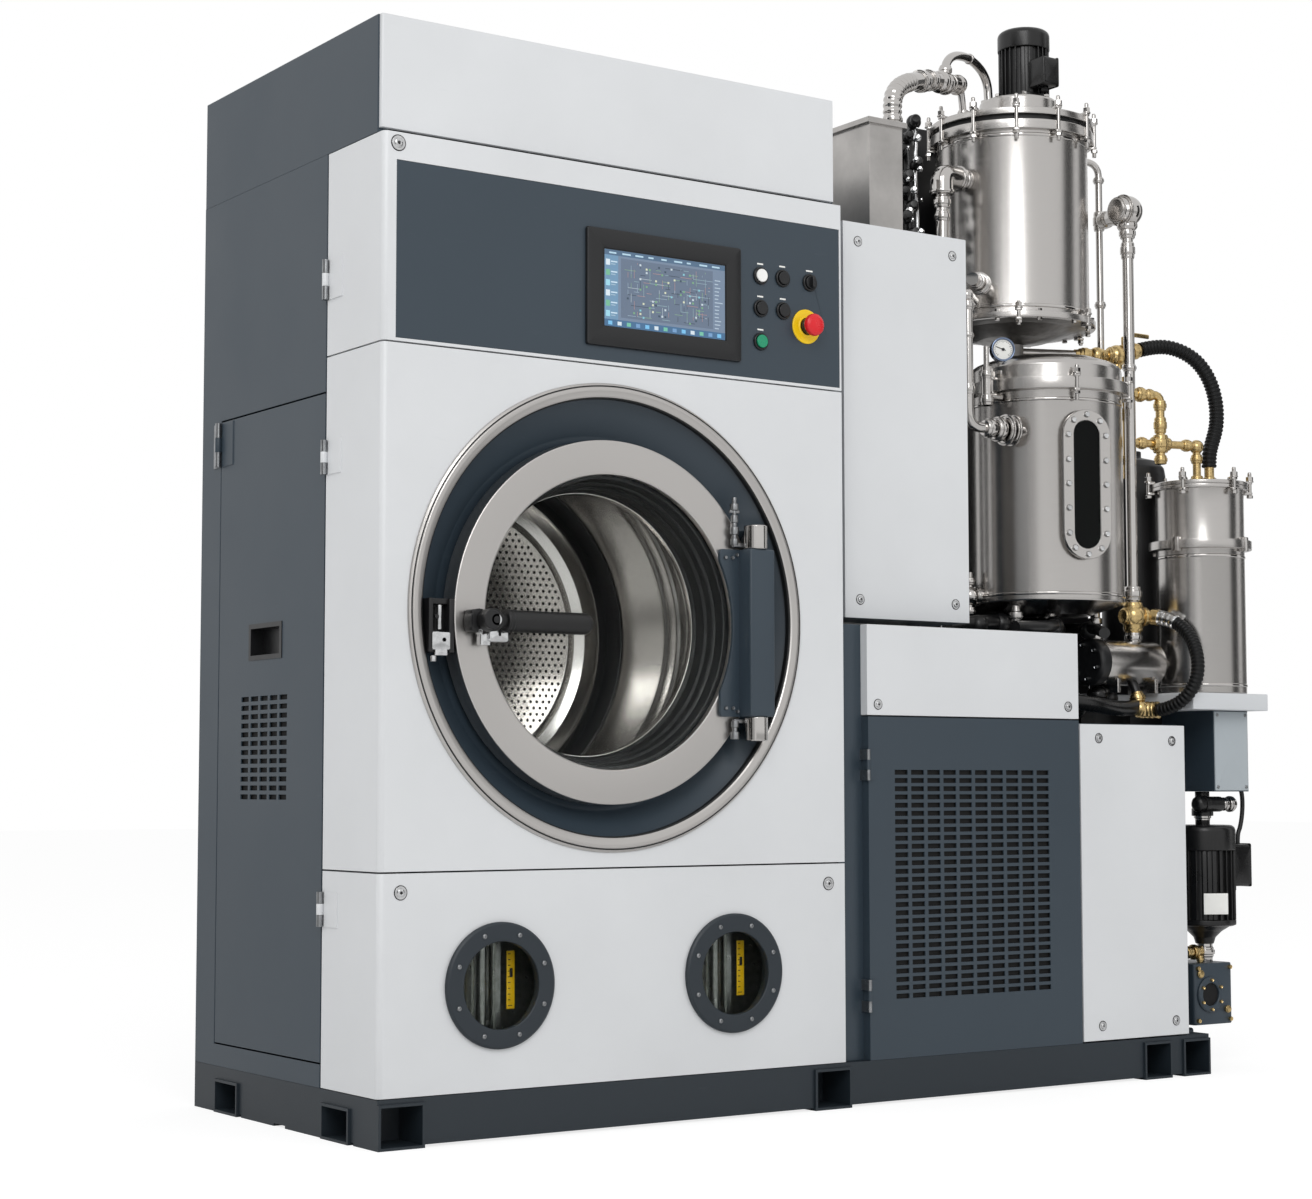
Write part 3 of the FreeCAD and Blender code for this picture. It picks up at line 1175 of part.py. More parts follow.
def still_body():
    """The still: a flanged cylinder with a shallow cone and an outlet below it."""
    low, high = STILL_Z
    cone = low - STILL_CONE
    outlet = cone - 30
    wall = TANK_WALL
    skirt = STILL_R + 14
    profile = [
        (STILL_OUTLET_R - wall, outlet),
        (STILL_OUTLET_R, outlet),
        (STILL_OUTLET_R, cone),
        (STILL_R - 30, low - 8),
        (skirt, low - 8),
        (skirt, low + 8),
        (STILL_R, low + 8),
        (STILL_R, high - STILL_FLANGE_T),
        (STILL_FLANGE_R, high - STILL_FLANGE_T),
        (STILL_FLANGE_R, high),
        (STILL_R - wall, high),
        (STILL_R - wall, low),
        (STILL_R - 30, low),
        (STILL_OUTLET_R - wall, cone + wall),
    ]
    return turned(profile, (STILL_X, STILL_Y, 0), Z)


def still_top():
    return STILL_Z[1] + GASKET_T + LID_T


def neck_top():
    return still_top() + NECK_RISE


def still_lid():
    """The still's lid on its gasket, with the neck that carries the stirrer's motor."""
    low, top = STILL_Z[1], still_top()
    profile = [
        (0, low),
        (GASKET_R, low),
        (GASKET_R, low + GASKET_T),
        (STILL_FLANGE_R, low + GASKET_T),
        (STILL_FLANGE_R, top),
        (0, top),
    ]
    neck = [
        (0, top),
        (NECK_R, top),
        (NECK_R, neck_top() - 6),
        ("arc", (NECK_R - 2, neck_top() - 2), (NECK_R - 6, neck_top())),
        (0, neck_top()),
    ]
    lid = turned(profile, (STILL_X, STILL_Y, 0), Z)
    return join(lid, turned(neck, (NECK_X, STILL_Y, 0), Z))


def clamp(x, y, z, angle, drop=12):
    """A swing bolt over a flange joint: a bolt with a nut, outside the flange's edge."""
    bolt = rod((x, y, z[0] - drop), Z, CLAMP_R, z[1] - z[0] + drop + 28)
    nut = rod((x, y, z[1] + 4), Z, CLAMP_R * 1.6, 12)
    claw = box((x - CLAMP_REACH, x + CLAMP_R), about(y, CLAMP_R), (z[1], z[1] + 7))
    heel = box((x - CLAMP_REACH, x + CLAMP_R), about(y, CLAMP_R), (z[0] - 7, z[0]))
    return join(bolt, nut, spun(claw, (x, y, 0), angle), spun(heel, (x, y, 0), angle))


def tank_clamps():
    """The swing bolts round the lids of the still and the separator."""
    bolts = []
    seat = CLAMP_R + SEAT
    still = (STILL_Z[1] - STILL_FLANGE_T, still_top())
    for x, y, angle in spread(CLAMPS, STILL_FLANGE_R + seat, (STILL_X, STILL_Y),
                              CLAMP_START):
        bolts.append(clamp(x, y, still, angle, STILL_FLANGE_T))
    low = (SEPARATOR_TOP - SEPARATOR_FLANGE_T, SEPARATOR_TOP + SEPARATOR_FLANGE_T)
    for x, y, angle in spread(6, SEPARATOR_FLANGE_R + seat, (SEPARATOR_X, SEPARATOR_Y), 25):
        bolts.append(clamp(x, y, low, angle))
    return group(bolts)


def finned_motor(centre, radius, z, cowl):
    """An upright motor: a finned barrel between a lower shield and a fan cowl."""
    shield = 22.0
    profile = [
        (0, z[0]),
        (radius, z[0]),
        (radius, z[0] + shield),
        (radius - FIN_H, z[0] + shield),
        (radius - FIN_H, z[1] - cowl),
        (radius + 2, z[1] - cowl),
        (radius + 2, z[1] - 10),
        ("arc", (radius - 1, z[1] - 3), (radius - 8, z[1])),
        (0, z[1]),
    ]
    barrel = turned(profile, (*centre, 0), Z)
    fin = box((centre[0] + radius - 2 * FIN_H, centre[0] + radius), about(centre[1], FIN_T / 2),
              (z[0] + shield, z[1] - cowl))
    fins = [spun(fin, (*centre, 0), 360.0 * n / FINS) for n in range(FINS)]
    return join(barrel, *fins)


def stirrer_motor():
    """The still's stirrer motor, with its terminal box on the right."""
    low = neck_top()
    motor = finned_motor((STIR_X, STILL_Y), STIR_R, (low, low + STIR_RISE), STIR_COWL)
    middle = low + STIR_RISE * 0.32
    terminal = box((STIR_X + STIR_R - FIN_H, STIR_X + STIR_R + 32), about(STILL_Y, 32),
                   about(middle, 30))
    return join(motor, terminal)


def filter_tank():
    """The distillate filter: a banded cylinder with a dished top, a cone and three legs."""
    low, high = FILTER_Z
    wall = TANK_WALL
    knee = low + 25
    profile = [
        (STILL_OUTLET_R - wall, low - 20),
        (STILL_OUTLET_R, low - 20),
        (STILL_OUTLET_R, low),
        (FILTER_FLOOR_R, low),
        (FILTER_R, knee),
        (FILTER_R, FILTER_BAND_Z[0]),
        (FILTER_R + BAND_T, FILTER_BAND_Z[0]),
        (FILTER_R + BAND_T, FILTER_BAND_Z[1]),
        (FILTER_R, FILTER_BAND_Z[1]),
        (FILTER_R, high),
        ("arc", (FILTER_R - 12, high + 14), (FILTER_TOP_R, FILTER_TOP)),
        (0, FILTER_TOP),
        (0, FILTER_TOP - wall),
        (FILTER_TOP_R, FILTER_TOP - wall),
        (FILTER_R - wall, high - wall),
        (FILTER_R - wall, knee + 1),
        (FILTER_FLOOR_R, low + wall),
        (STILL_OUTLET_R - wall, low + wall),
    ]
    tank = turned(profile, (FILTER_X, FILTER_Y, 0), Z)
    legs = []
    inside = rod((FILTER_X, FILTER_Y, knee), Z, FILTER_R - wall / 2, high - knee)
    for angle in LEGS:
        turn = math.radians(angle)
        x = FILTER_X + LEG_CIRCLE * math.cos(turn)
        y = FILTER_Y + LEG_CIRCLE * math.sin(turn)
        legs.append(rod((x, y, LOW_DECK), Z, LEG_R, knee - LOW_DECK).cut(filter_inside(wall, inside)))
        legs.append(rod((x, y, LOW_DECK), Z, LEG_R * 1.5, 6))
    return join(tank, *legs)


def filter_inside(wall, barrel):
    """The room inside the filter, which its legs stay out of."""
    low = FILTER_Z[0]
    knee = low + 25
    profile = [
        (0, low + wall / 2),
        (FILTER_FLOOR_R, low + wall / 2),
        (FILTER_R - wall / 2, knee + 1),
        (0, knee + 1),
    ]
    return join(turned(profile, (FILTER_X, FILTER_Y, 0), Z), barrel)


def filter_skin():
    return rod((FILTER_X, FILTER_Y, FILTER_Z[0]), Z, FILTER_R, FILTER_Z[1] - FILTER_Z[0])


def still_skin():
    return rod((STILL_X, STILL_Y, STILL_Z[0] + 8), Z, STILL_R, STILL_Z[1] - STILL_Z[0] - 8)


def sight_y():
    """Front of the sight frame, before it is turned round the tank."""
    return FILTER_Y - FILTER_R - SIGHT_OUT


def sight_frame():
    """The oblong bolted frame of the filter's window, on a neck welded to the tank."""
    y = sight_y()
    plate = stadium(FILTER_X, SIGHT_Z, SIGHT_W, SIGHT_H, (y, y + SIGHT_PLATE))
    neck = stadium(FILTER_X, SIGHT_Z, SIGHT_W - 34, SIGHT_H - 34, (y + SIGHT_PLATE, FILTER_Y - FILTER_R + 20))
    depth = SIGHT_PLATE
    hole = stadium(FILTER_X, SIGHT_Z, SIGHT_GLASS_W, SIGHT_GLASS_H, (y, y + depth))
    frame = join(plate, neck).cut(hole)
    return spun(frame, (FILTER_X, FILTER_Y, 0), -SIGHT_TURN).cut(filter_skin())


def sight_glass():
    y = sight_y()
    glass = stadium(FILTER_X, SIGHT_Z, SIGHT_GLASS_W - 2 * SEAT, SIGHT_GLASS_H - 2 * SEAT,
                    (y + SIGHT_PLATE * 0.4, y + SIGHT_PLATE))
    return spun(glass, (FILTER_X, FILTER_Y, 0), -SIGHT_TURN)


def pressure_gauge():
    """A dial gauge on its stem, standing on the filter's shoulder."""
    body = rod((DIAL_X, DIAL_Y - DIAL_T / 2, DIAL_Z), Y, DIAL_R, DIAL_T)
    stem = rod((DIAL_X, DIAL_Y, FILTER_Z[0] + 400), Z, 7, DIAL_Z - FILTER_Z[0] - 400)
    crown = [
        (0, 0),
        (FILTER_R, 0),
        (FILTER_R, FILTER_Z[1]),
        ("arc", (FILTER_R - 12, FILTER_Z[1] + 14), (FILTER_TOP_R, FILTER_TOP)),
        (0, FILTER_TOP),
    ]
    return join(body, stem).cut(turned(crown, (FILTER_X, FILTER_Y, 0), Z))


def tank_supports():
    """The square column behind the tanks, with an arm and a curved saddle for the still."""
    column = box(COLUMN_X, COLUMN_Y, (LOW_DECK, COLUMN_TOP))
    hollow = box(inset(COLUMN_X, COLUMN_WALL), inset(COLUMN_Y, COLUMN_WALL), (LOW_DECK, COLUMN_TOP))
    room = rod((STILL_X, STILL_Y, STILL_Z[0]), Z, STILL_R + SEAT, STILL_Z[1] - STILL_Z[0])
    arms = []
    for z in ARM_Z:
        arm = box(about(STILL_X, ARM_W / 2), (STILL_Y, COLUMN_Y[0]), about(z, ARM_H / 2))
        arms.append(arm.cut(room))
        span = STILL_R * 0.8
        plate = box(about(STILL_X, span), (STILL_Y + STILL_R * 0.62, STILL_Y + STILL_R + 8),
                    about(z, ARM_H / 3))
        arms.append(plate.cut(room))
    return join(column.cut(hollow), *arms)


def union(start, direction, radius=NUT_R, length=NUT_L):
    """A pipe nut or union ring."""
    return rod(start, direction, radius, length)


def vapour_pipe():
    """The pipe from the condenser's cap over to the still's lid, with the thin return loop."""
    start, end = VAPOUR_ROUTE[0], VAPOUR_ROUTE[-1]
    main = pipe(VAPOUR_ROUTE, VAPOUR_R, 24)
    joints = [
        union(start, Z, VAPOUR_R + 3, 14),
        union((*end[:2], still_top()), Z, VAPOUR_R + 8, 16),
    ]
    x, y, z = VAPOUR_ROUTE[4]
    x, y, z = x + 12, y + 5, z + 4
    ball = Part.makeSphere(VAPOUR_R + 6, V(x, y, z))
    end_x, end_y = NECK_X - NECK_R * 0.72, STILL_Y + NECK_R * 0.34
    loop = [(x, y, z), (x, y, z + LOOP_RISE), (end_x, end_y, z + LOOP_RISE), (end_x, end_y, neck_top())]
    return join(main, *joints, ball, pipe(loop, LOOP_R, 40)).cut([still_lid(), condenser_box()])


def inlet_pipes():
    """Stainless pipes on the left of the tanks: one down to the deck, one from the still to
    the filter, and the filter's relief valve and drain nozzle."""
    left = STILL_X - STILL_R
    down_x, down_y, top = left - 98, STILL_Y - 45, STILL_Z[1] - 120
    down = [(left + 20, STILL_Y - 30, top), (down_x, down_y, top), (down_x, down_y, HIGH_DECK)]
    first = join(pipe(down, PIPE_R + 2, 34), union((down_x, down_y, top - 72), Z, PIPE_R + 9, 18))
    cross_x, cross_y, low = left - 116, FILTER_Y - 80, FILTER_Z[1] - 148
    high = STILL_Z[0] + 50
    across = [
        (left + 40, STILL_Y - 60, high),
        (cross_x, cross_y, high),
        (cross_x, cross_y, low),
        (FILTER_X - FILTER_R + 60, cross_y, low),
    ]
    second = join(pipe(across, PIPE_R, 34), union((cross_x + 60, cross_y, low), X, PIPE_R + 10, 44))
    valve_x, valve_y, valve_z = FILTER_X - FILTER_R - 42, FILTER_Y - 40, FILTER_Z[1] - 92
    valve = join(
        rod((valve_x, valve_y, valve_z), Z, 11, 84),
        rod((valve_x, valve_y, valve_z + 84), Z, 6, 45),
        rod((valve_x, valve_y, valve_z + 22), X, 8, 80),
    )
    nozzle_x, nozzle_y, nozzle_z = FILTER_X - FILTER_R - 86, FILTER_Y - 50, FILTER_Z[0] + 41
    nozzle = join(
        rod((nozzle_x, nozzle_y, nozzle_z), X, 9, 150),
        rod((nozzle_x, nozzle_y, nozzle_z), X, 17, 24),
    )
    skins = [still_skin(), filter_skin()]
    return [shape.cut(skins) for shape in (first, second, valve, nozzle)]


def riser_pipe():
    """The tall riser with its ball fitting, and the thin side pipe of the still."""
    riser = rod((RISER_X, RISER_Y, RISER_Z[0]), Z, RISER_R, RISER_Z[1] - RISER_Z[0])
    ball = Part.makeSphere(BALL_R, V(RISER_X, RISER_Y, BALL_Z))
    bridge = rod((RISER_X, RISER_Y, BALL_Z + 8), Y, 12, SIDE_PIPE_Y - RISER_Y)
    toward = V(STILL_X - SIDE_PIPE_X, STILL_Y - SIDE_PIPE_Y, 0).normalize()
    low, high = SIDE_PIPE_Z
    into = V(SIDE_PIPE_X, SIDE_PIPE_Y, 0) + toward * 100
    route = [(into.x, into.y, low), (SIDE_PIPE_X, SIDE_PIPE_Y, low),
             (SIDE_PIPE_X, SIDE_PIPE_Y, high), (into.x, into.y, high)]
    side = pipe(route, SIDE_PIPE_R, 28).cut(still_skin())
    rings = [union((RISER_X, RISER_Y, z), Z, RISER_R + 6, 16) for z in (RISER_Z[0], BALL_Z - BALL_R - 12)]
    return join(riser, ball, bridge, side, *rings)


def lead_in(route, length):
    """The point that lies straight before a hose's first point, and the way it runs."""
    first, second = V(*route[0]), V(*route[1])
    along = (second - first).normalize()
    return first - along * length, along


def brass_fittings():
    """Brass: the riser's foot and tee, the still's drain valve, the loop to the separator,
    the overflow's barb, and the elbow under the receiver."""
    drain, overflow = V(*DRAIN_ROUTE[0]), V(*OVERFLOW_ROUTE[0])
    before, _ = lead_in(DRAIN_ROUTE, 22)
    foot = join(
        rod((RISER_X, RISER_Y, RECEIVER_Z), Z, BRASS_R + 3, RISER_Z[0] - RECEIVER_Z),
        rod((RISER_X, RISER_Y, RISER_Z[0] - 36), Z, BRASS_R + 9, 36),
        pipe([(RISER_X, RISER_Y, before.z), before, drain], BRASS_R + 1, 12),
    ).cut(receiver_skin())
    before, along = lead_in(OVERFLOW_ROUTE, 70)
    outlet = STILL_Z[0] - STILL_CONE - 15
    feed = pipe([(STILL_X, STILL_Y, outlet), before, overflow], BRASS_R, 30)
    drop = rod((STILL_X, STILL_Y, outlet - 40), Z, STILL_OUTLET_R, 80)
    valve = join(feed, rod(before + along * 12, along, BRASS_R + 8, 42)).cut(drop)
    lid_z = SEPARATOR_TOP + SEPARATOR_FLANGE_T
    loop_x, loop_y = RISER_X + 90, RISER_Y - 20
    high, low = SEPARATOR_TOP + 206, SEPARATOR_TOP + 100
    loop = pipe([
        (RISER_X, RISER_Y, high),
        (loop_x, loop_y, high),
        (loop_x, loop_y, low),
        (SEPARATOR_X - 6, SEPARATOR_Y, low - 4),
        (SEPARATOR_X - 6, SEPARATOR_Y, lid_z),
    ], BRASS_R - 1, 14)
    tee = rod((loop_x, loop_y, low - 12), Z, BRASS_R + 5, 30)
    riser = rod((RISER_X, RISER_Y, RISER_Z[0]), Z, RISER_R, RISER_Z[1] - RISER_Z[0])
    barb_x, barb_y, barb_z = OVERFLOW_ROUTE[-1]
    barb = rod((barb_x, barb_y, lid_z), Z, BRASS_R + 3, barb_z - lid_z)
    end = V(*DRAIN_ROUTE[-1])
    after, _ = lead_in(DRAIN_ROUTE[::-1], 34)
    elbow = pipe([end, after, (after.x, after.y, RECEIVER_Z)], BRASS_R, 16).cut(receiver_skin())
    return group([foot, valve, join(loop, tee).cut(riser), barb, elbow])


def receiver_skin():
    return rod((RECEIVER_X[0], RECEIVER_Y, RECEIVER_Z), X, RECEIVER_R, RECEIVER_X[1] - RECEIVER_X[0])


def receiver_vessel():
    """The horizontal receiver with a dark end cap, on two cradles."""
    vessel = receiver_skin()
    cap = rod((RECEIVER_X[0] - 8, RECEIVER_Y, RECEIVER_Z), X, RECEIVER_R + 3, 18)
    knob = rod((RECEIVER_X[1], RECEIVER_Y, RECEIVER_Z), X, 12, 22)
    cradles = [
        box((x, x + CRADLE_T), about(RECEIVER_Y, RECEIVER_R * 0.75),
            (LOW_DECK, RECEIVER_Z - RECEIVER_R * 0.5))
        for x in CRADLE_X
    ]
    return join(vessel, cap, knob, *cradles)


# ---------------------------------------------------------------- shelf, separator and filter
def tank_shelf():
    """The shelf that overhangs the cabinet, on a rail and two gussets."""
    slab = box(SHELF_X, SHELF_Y, SHELF_Z)
    notch = box((SHELF_X[0], SHELF_NOTCH[0]), (SHELF_Y[0], SHELF_NOTCH[1]), SHELF_Z)
    rail = box((SHELF_X[0], RIGHT_END), (RECEIVER_Y + RECEIVER_R + 20, SHELF_Y[1]), (LOW_DECK, SHELF_Z[0]))
    pieces = []
    for y in GUSSETS_Y:
        items = [
            (RIGHT_END, SHELF_Z[0]),
            (RIGHT_END + GUSSET_REACH, SHELF_Z[0]),
            (RIGHT_END, SHELF_Z[0] - GUSSET_DROP),
        ]
        pieces.append(extruded(items, lambda a, b, y=y: V(a, y, b), V(0, GUSSET_T, 0)))
    return join(slab.cut(notch), rail, *pieces)


def separator_tank():
    """The water separator: a banded, flanged cylinder."""
    wall = TANK_WALL
    low = SHELF_Z[1]
    band_r = SEPARATOR_R + BAND_T
    profile = [
        (30, low),
        (SEPARATOR_R, low),
        (SEPARATOR_R, SEPARATOR_BAND_Z[0]),
        (band_r, SEPARATOR_BAND_Z[0]),
        (band_r, SEPARATOR_BAND_Z[1]),
        (SEPARATOR_R, SEPARATOR_BAND_Z[1]),
        (SEPARATOR_R, SEPARATOR_TOP - SEPARATOR_FLANGE_T),
        (SEPARATOR_FLANGE_R, SEPARATOR_TOP - SEPARATOR_FLANGE_T),
        (SEPARATOR_FLANGE_R, SEPARATOR_TOP),
        (SEPARATOR_R - wall, SEPARATOR_TOP),
        (SEPARATOR_R - wall, low + wall),
        (30, low + wall),
    ]
    return turned(profile, (SEPARATOR_X, SEPARATOR_Y, 0), Z)


def separator_lid():
    return rod((SEPARATOR_X, SEPARATOR_Y, SEPARATOR_TOP), Z, SEPARATOR_FLANGE_R, SEPARATOR_FLANGE_T)


def carbon_tank():
    """The slate carbon filter with a domed head and a short neck."""
    low, high = SHELF_Z[1], CARBON_TOP
    profile = [
        (0, low),
        (CARBON_R, low),
        (CARBON_R, high),
        ("arc", (CARBON_R * 0.7, high + CARBON_DOME * 0.72), (20, high + CARBON_DOME)),
        (20, high + CARBON_DOME + 14),
        (0, high + CARBON_DOME + 14),
    ]
    return turned(profile, (CARBON_X, CARBON_Y, 0), Z)


def electrical_box():
    """The junction box under the shelf, with a pale screwed cover on its front."""
    z = (BOX_BOTTOM, SHELF_Z[0])
    y = (BOX_Y[0] + BOX_COVER, BOX_Y[1])
    return box(BOX_X, y, z).cut(box(inset(BOX_X, SHEET), (y[0], y[1] - SHEET), inset(z, SHEET)))


def electrical_cover():
    z = (BOX_BOTTOM, SHELF_Z[0])
    return cover(BOX_X, (BOX_Y[0], BOX_Y[0] + BOX_COVER), z)


# ---------------------------------------------------------------- pump
def pump_motor():
    """The pump's motor under the junction box, with its terminal box on the right."""
    motor = finned_motor((PUMP_X, PUMP_Y), PUMP_R, PUMP_Z, 54.0)
    terminal = box((PUMP_X + PUMP_R - FIN_H, TERMINAL_X), about(PUMP_Y, TERMINAL_W / 2), TERMINAL_Z)
    conduit = rod((PUMP_X, PUMP_Y, PUMP_Z[1]), Z, CONDUIT_R, BOX_BOTTOM - PUMP_Z[1])
    nut = rod((PUMP_X, PUMP_Y, PUMP_Z[1] + 20), Z, CONDUIT_R + 8, 16)
    return join(motor, terminal, conduit, nut)


def pump_block():
    """The pump's body with its front port, the lantern above it and the arm from the base."""
    body = box(BLOCK_SIZE_X, BLOCK_SIZE_Y, BLOCK_SIZE_Z)
    uprights = [e for e in body.Edges if abs(e.Vertexes[0].Z - e.Vertexes[-1].Z) > 1]
    body = body.makeFillet(6, uprights)
    centre = (PUMP_X, PUMP_Y)
    lantern = rod((*centre, BLOCK_SIZE_Z[1]), Z, LANTERN_R, PUMP_Z[0] - BLOCK_SIZE_Z[1])
    collar = rod((*centre, BLOCK_SIZE_Z[1] + 24), Z, LANTERN_R + 12, 14)
    port = rod((PUMP_PORT_X, BLOCK_SIZE_Y[0], PUMP_PORT_Z), Y, PUMP_PORT_R, PUMP_PORT_DEPTH)
    arm = box((BASE_L, BLOCK_SIZE_X[0] + 30), PUMP_ARM_Y, PUMP_ARM_Z)
    web = box((BLOCK_SIZE_X[0], BLOCK_SIZE_X[0] + 30), PUMP_ARM_Y, (PUMP_ARM_Z[1], BLOCK_SIZE_Z[0]))
    hollow = box((BASE_L, BLOCK_SIZE_X[0] + 30 - PUMP_ARM_WALL), inset(PUMP_ARM_Y, PUMP_ARM_WALL),
                 inset(PUMP_ARM_Z, PUMP_ARM_WALL))
    return join(body, lantern, collar, arm.cut(hollow), web).cut(port)


def compressors():
    """The refrigeration compressors' domed cans on the deck, behind the filter."""
    cans = []
    for x, y, radius, top in COMPRESSORS:
        profile = [
            (0, LOW_DECK),
            (radius, LOW_DECK),
            (radius, top - CAN_DOME),
            ("arc", (radius * 0.8, top - CAN_DOME * 0.35), (radius * 0.4, top)),
            (0, top),
        ]
        cans.append(turned(profile, (x, y, 0), Z))
    return cans


# ---------------------------------------------------------------- hoses
def hose(route, diameter, name):
    solid, radii, length = bent_rod(route, diameter / 2)
    section = math.pi * diameter * diameter / 4
    print(name, "length", round(length, 1), "radii", [round(r) for r in radii],
          "volume ratio", round(solid.Volume / (section * length), 4))
    return solid


def parts():
    """Every node with its shape."""
    shapes = {
        "base_frame": base_frame(),
        "cabinet_frame": cabinet_frame(),
        "left_side_panel": left_side_panel(),
        "rear_casing": rear_casing(),
        "hood_casing": hood_casing(),
        "hood_front": hood_front(),
        "panel_hinges": panel_hinges(),
        "upper_front_panel": upper_front_panel(),
        "middle_front_panel": middle_front_panel(),
        "lower_front_panel": lower_front_panel(),
        "door_trim_ring": door_trim_ring(),
        "control_fascia": control_fascia(),
        "hmi_unit": hmi_unit(),
        "panel_fittings": panel_fittings(),
        "selector_switch": selector_switch(),
        "stop_button": stop_button(),
        "porthole_windows": porthole_windows(),
        "solvent_tank": group([solvent_tank(), sight_gauges()]),
        "side_door": side_door(),
        "side_pull": side_pull(),
        "door_ring": door_ring(),
        "door_glass": door_glass(),
        "door_seal": door_seal(),
        "door_gasket": door_gasket(),
        "door_hardware": group([door_hinge_block(), handle_mount()]),
        "door_mountings": group([door_pin(), door_keeper()]),
        "door_handle": door_handle(),
        "tub_front": tub_front(),
        "tub_shell": tub_shell(),
        "drum": drum(),
        "drum_pulley": drum_pulley(),
        "drive_belt": drive_belt(),
        "motor_pulley": motor_pulley(),
        "drive_motor": drive_motor(),
        "right_cabinet": right_cabinet(),
        "side_cabinet": side_cabinet(),
        "cabinet_covers": group([upper_cover(), drawer_cover(), narrow_cover()]),
        "grille_door": grille_door(),
        "condenser_box": condenser_box(),
        "still_body": still_body(),
        "tank_lids": group([still_lid(), separator_lid(), tank_clamps()]),
        "stirrer_motor": stirrer_motor(),
        "filter_tank": filter_tank(),
        "sight_window": group([sight_frame(), sight_glass()]),
        "tank_supports": group([tank_supports(), tank_shelf()]),
        "steel_pipes": group([vapour_pipe(), riser_pipe(), pressure_gauge()] + inlet_pipes()),
        "brass_fittings": brass_fittings(),
        "receiver_vessel": receiver_vessel(),
        "separator_tank": separator_tank(),
        "carbon_tank": carbon_tank(),
        "electrical_box": group([electrical_box(), electrical_cover()]),
        "pump": group([pump_motor(), pump_block(), *compressors()]),
        "overflow_hose": hose(OVERFLOW_ROUTE, OVERFLOW_D, "overflow hose"),
        "drain_hose": hose(DRAIN_ROUTE, DRAIN_D, "drain hose"),
        "pump_cable": hose(CABLE_ROUTE, CABLE_D, "pump cable"),
    }
    for name, (x, z) in BUTTONS.items():
        shapes[name] = push_button(x, z)
    return shapes


def export(name, shape):
    moved = shape.copy()
    moved.translate(V(-ORIGIN_X, -ORIGIN_Y, 0))
    moved.exportStep("parts/%s.step" % name)


def main():
    os.makedirs("parts", exist_ok=True)
    for name, shape in parts().items():
        export(name, shape)


if __name__ == "__main__":
    main()
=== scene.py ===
import math

import bmesh
import bpy
import numpy as np
from bpy.props import FloatProperty, FloatVectorProperty, IntProperty, PointerProperty
from mathutils import Matrix, Vector


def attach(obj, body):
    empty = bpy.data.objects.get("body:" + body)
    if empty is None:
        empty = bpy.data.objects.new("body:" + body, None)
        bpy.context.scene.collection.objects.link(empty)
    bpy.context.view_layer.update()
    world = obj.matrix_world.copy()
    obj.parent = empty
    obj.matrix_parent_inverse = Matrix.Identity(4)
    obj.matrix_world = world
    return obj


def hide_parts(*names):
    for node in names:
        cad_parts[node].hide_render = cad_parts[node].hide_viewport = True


bl_info = {"name": "Dry Cleaning Machine", "version": (1, 0, 0), "blender": (4, 5, 0),
           "location": "3D View > Sidebar > Laundry",
           "description": "Dresses the packed dry cleaning machine with its finishes and fittings",
           "category": "Object", }

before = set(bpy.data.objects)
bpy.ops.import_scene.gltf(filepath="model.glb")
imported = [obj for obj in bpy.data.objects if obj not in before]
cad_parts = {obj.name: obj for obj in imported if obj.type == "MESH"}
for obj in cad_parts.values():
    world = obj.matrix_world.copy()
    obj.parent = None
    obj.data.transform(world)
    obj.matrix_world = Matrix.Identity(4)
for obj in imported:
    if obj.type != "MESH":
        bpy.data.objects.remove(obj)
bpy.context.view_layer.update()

# Lengths below are millimetres from the cabinet's front left floor corner: X right along the
# front, Y back, Z up. ORIGIN takes them to the frame, whose unit is the metre.
ORIGIN = np.array((1138.5, 339.0, 0.0))

# Where upright pieces stand, as (X, Y), and the centres of the door and of its trim ring.
STILL, STILL_NECK, STIRRER, FILTER = (1787, 350), (1809, 350), (1828, 350), (1787, 250)
SEPARATOR, CARBON_TANK, PUMP = (2172, 160), (2165, 360), (2165, 160)
RISER, RETURN_PIPE, STANDPIPE = (1998, 200), (2009, 300), (1540, 305)
SIDE_LOOP, GAUGE_PIPE, GAUGE_STEM, TAP_CROSS = (1490, 170), (1578, 210), (1634, 222), (1604, 300)
BRASS_DROP, BRASS_INLET, HOSE_INLET = (2072, 180), (2166, 160), (2206, 160)
DOOR, TRIM = (476.0, 0.0, 911.0), (478.0, 0.0, 920.0)


def metres(points):
    """Points of the machine's own millimetres as points of the frame."""
    return (np.asarray(points, float) - ORIGIN) / 1000


# ---------------------------------------------------------------- surfaces
def softened(outline, reach, closed=True, steps=4):
    """Every corner P between A and B becomes the quadratic curve (1-s)^2 A' + 2s(1-s) P + s^2 B',
    where A' and B' lie on the two sides, `reach` away from P."""
    p = np.asarray(outline, float)
    before, after = np.roll(p, 1, 0) - p, np.roll(p, -1, 0) - p
    long_a = np.linalg.norm(before, axis=1)[:, None]
    long_b = np.linalg.norm(after, axis=1)[:, None]
    cut = np.minimum(np.reshape(reach, (-1, 1)), 0.48 * np.minimum(long_a, long_b))
    a = (p + before / long_a * cut)[:, None]
    b = (p + after / long_b * cut)[:, None]
    s = np.linspace(0, 1, steps)[None, :, None]
    curve = (1 - s) ** 2 * a + 2 * s * (1 - s) * p[:, None] + s ** 2 * b
    if closed:
        return curve.reshape(-1, p.shape[1])
    return np.vstack([p[:1], curve[1:-1].reshape(-1, p.shape[1]), p[-1:]])


def lengths_along(points):
    """Distance run along a line of points."""
    step = np.linalg.norm(np.diff(points, axis=0), axis=1)
    return np.concatenate([[0], np.cumsum(step)])


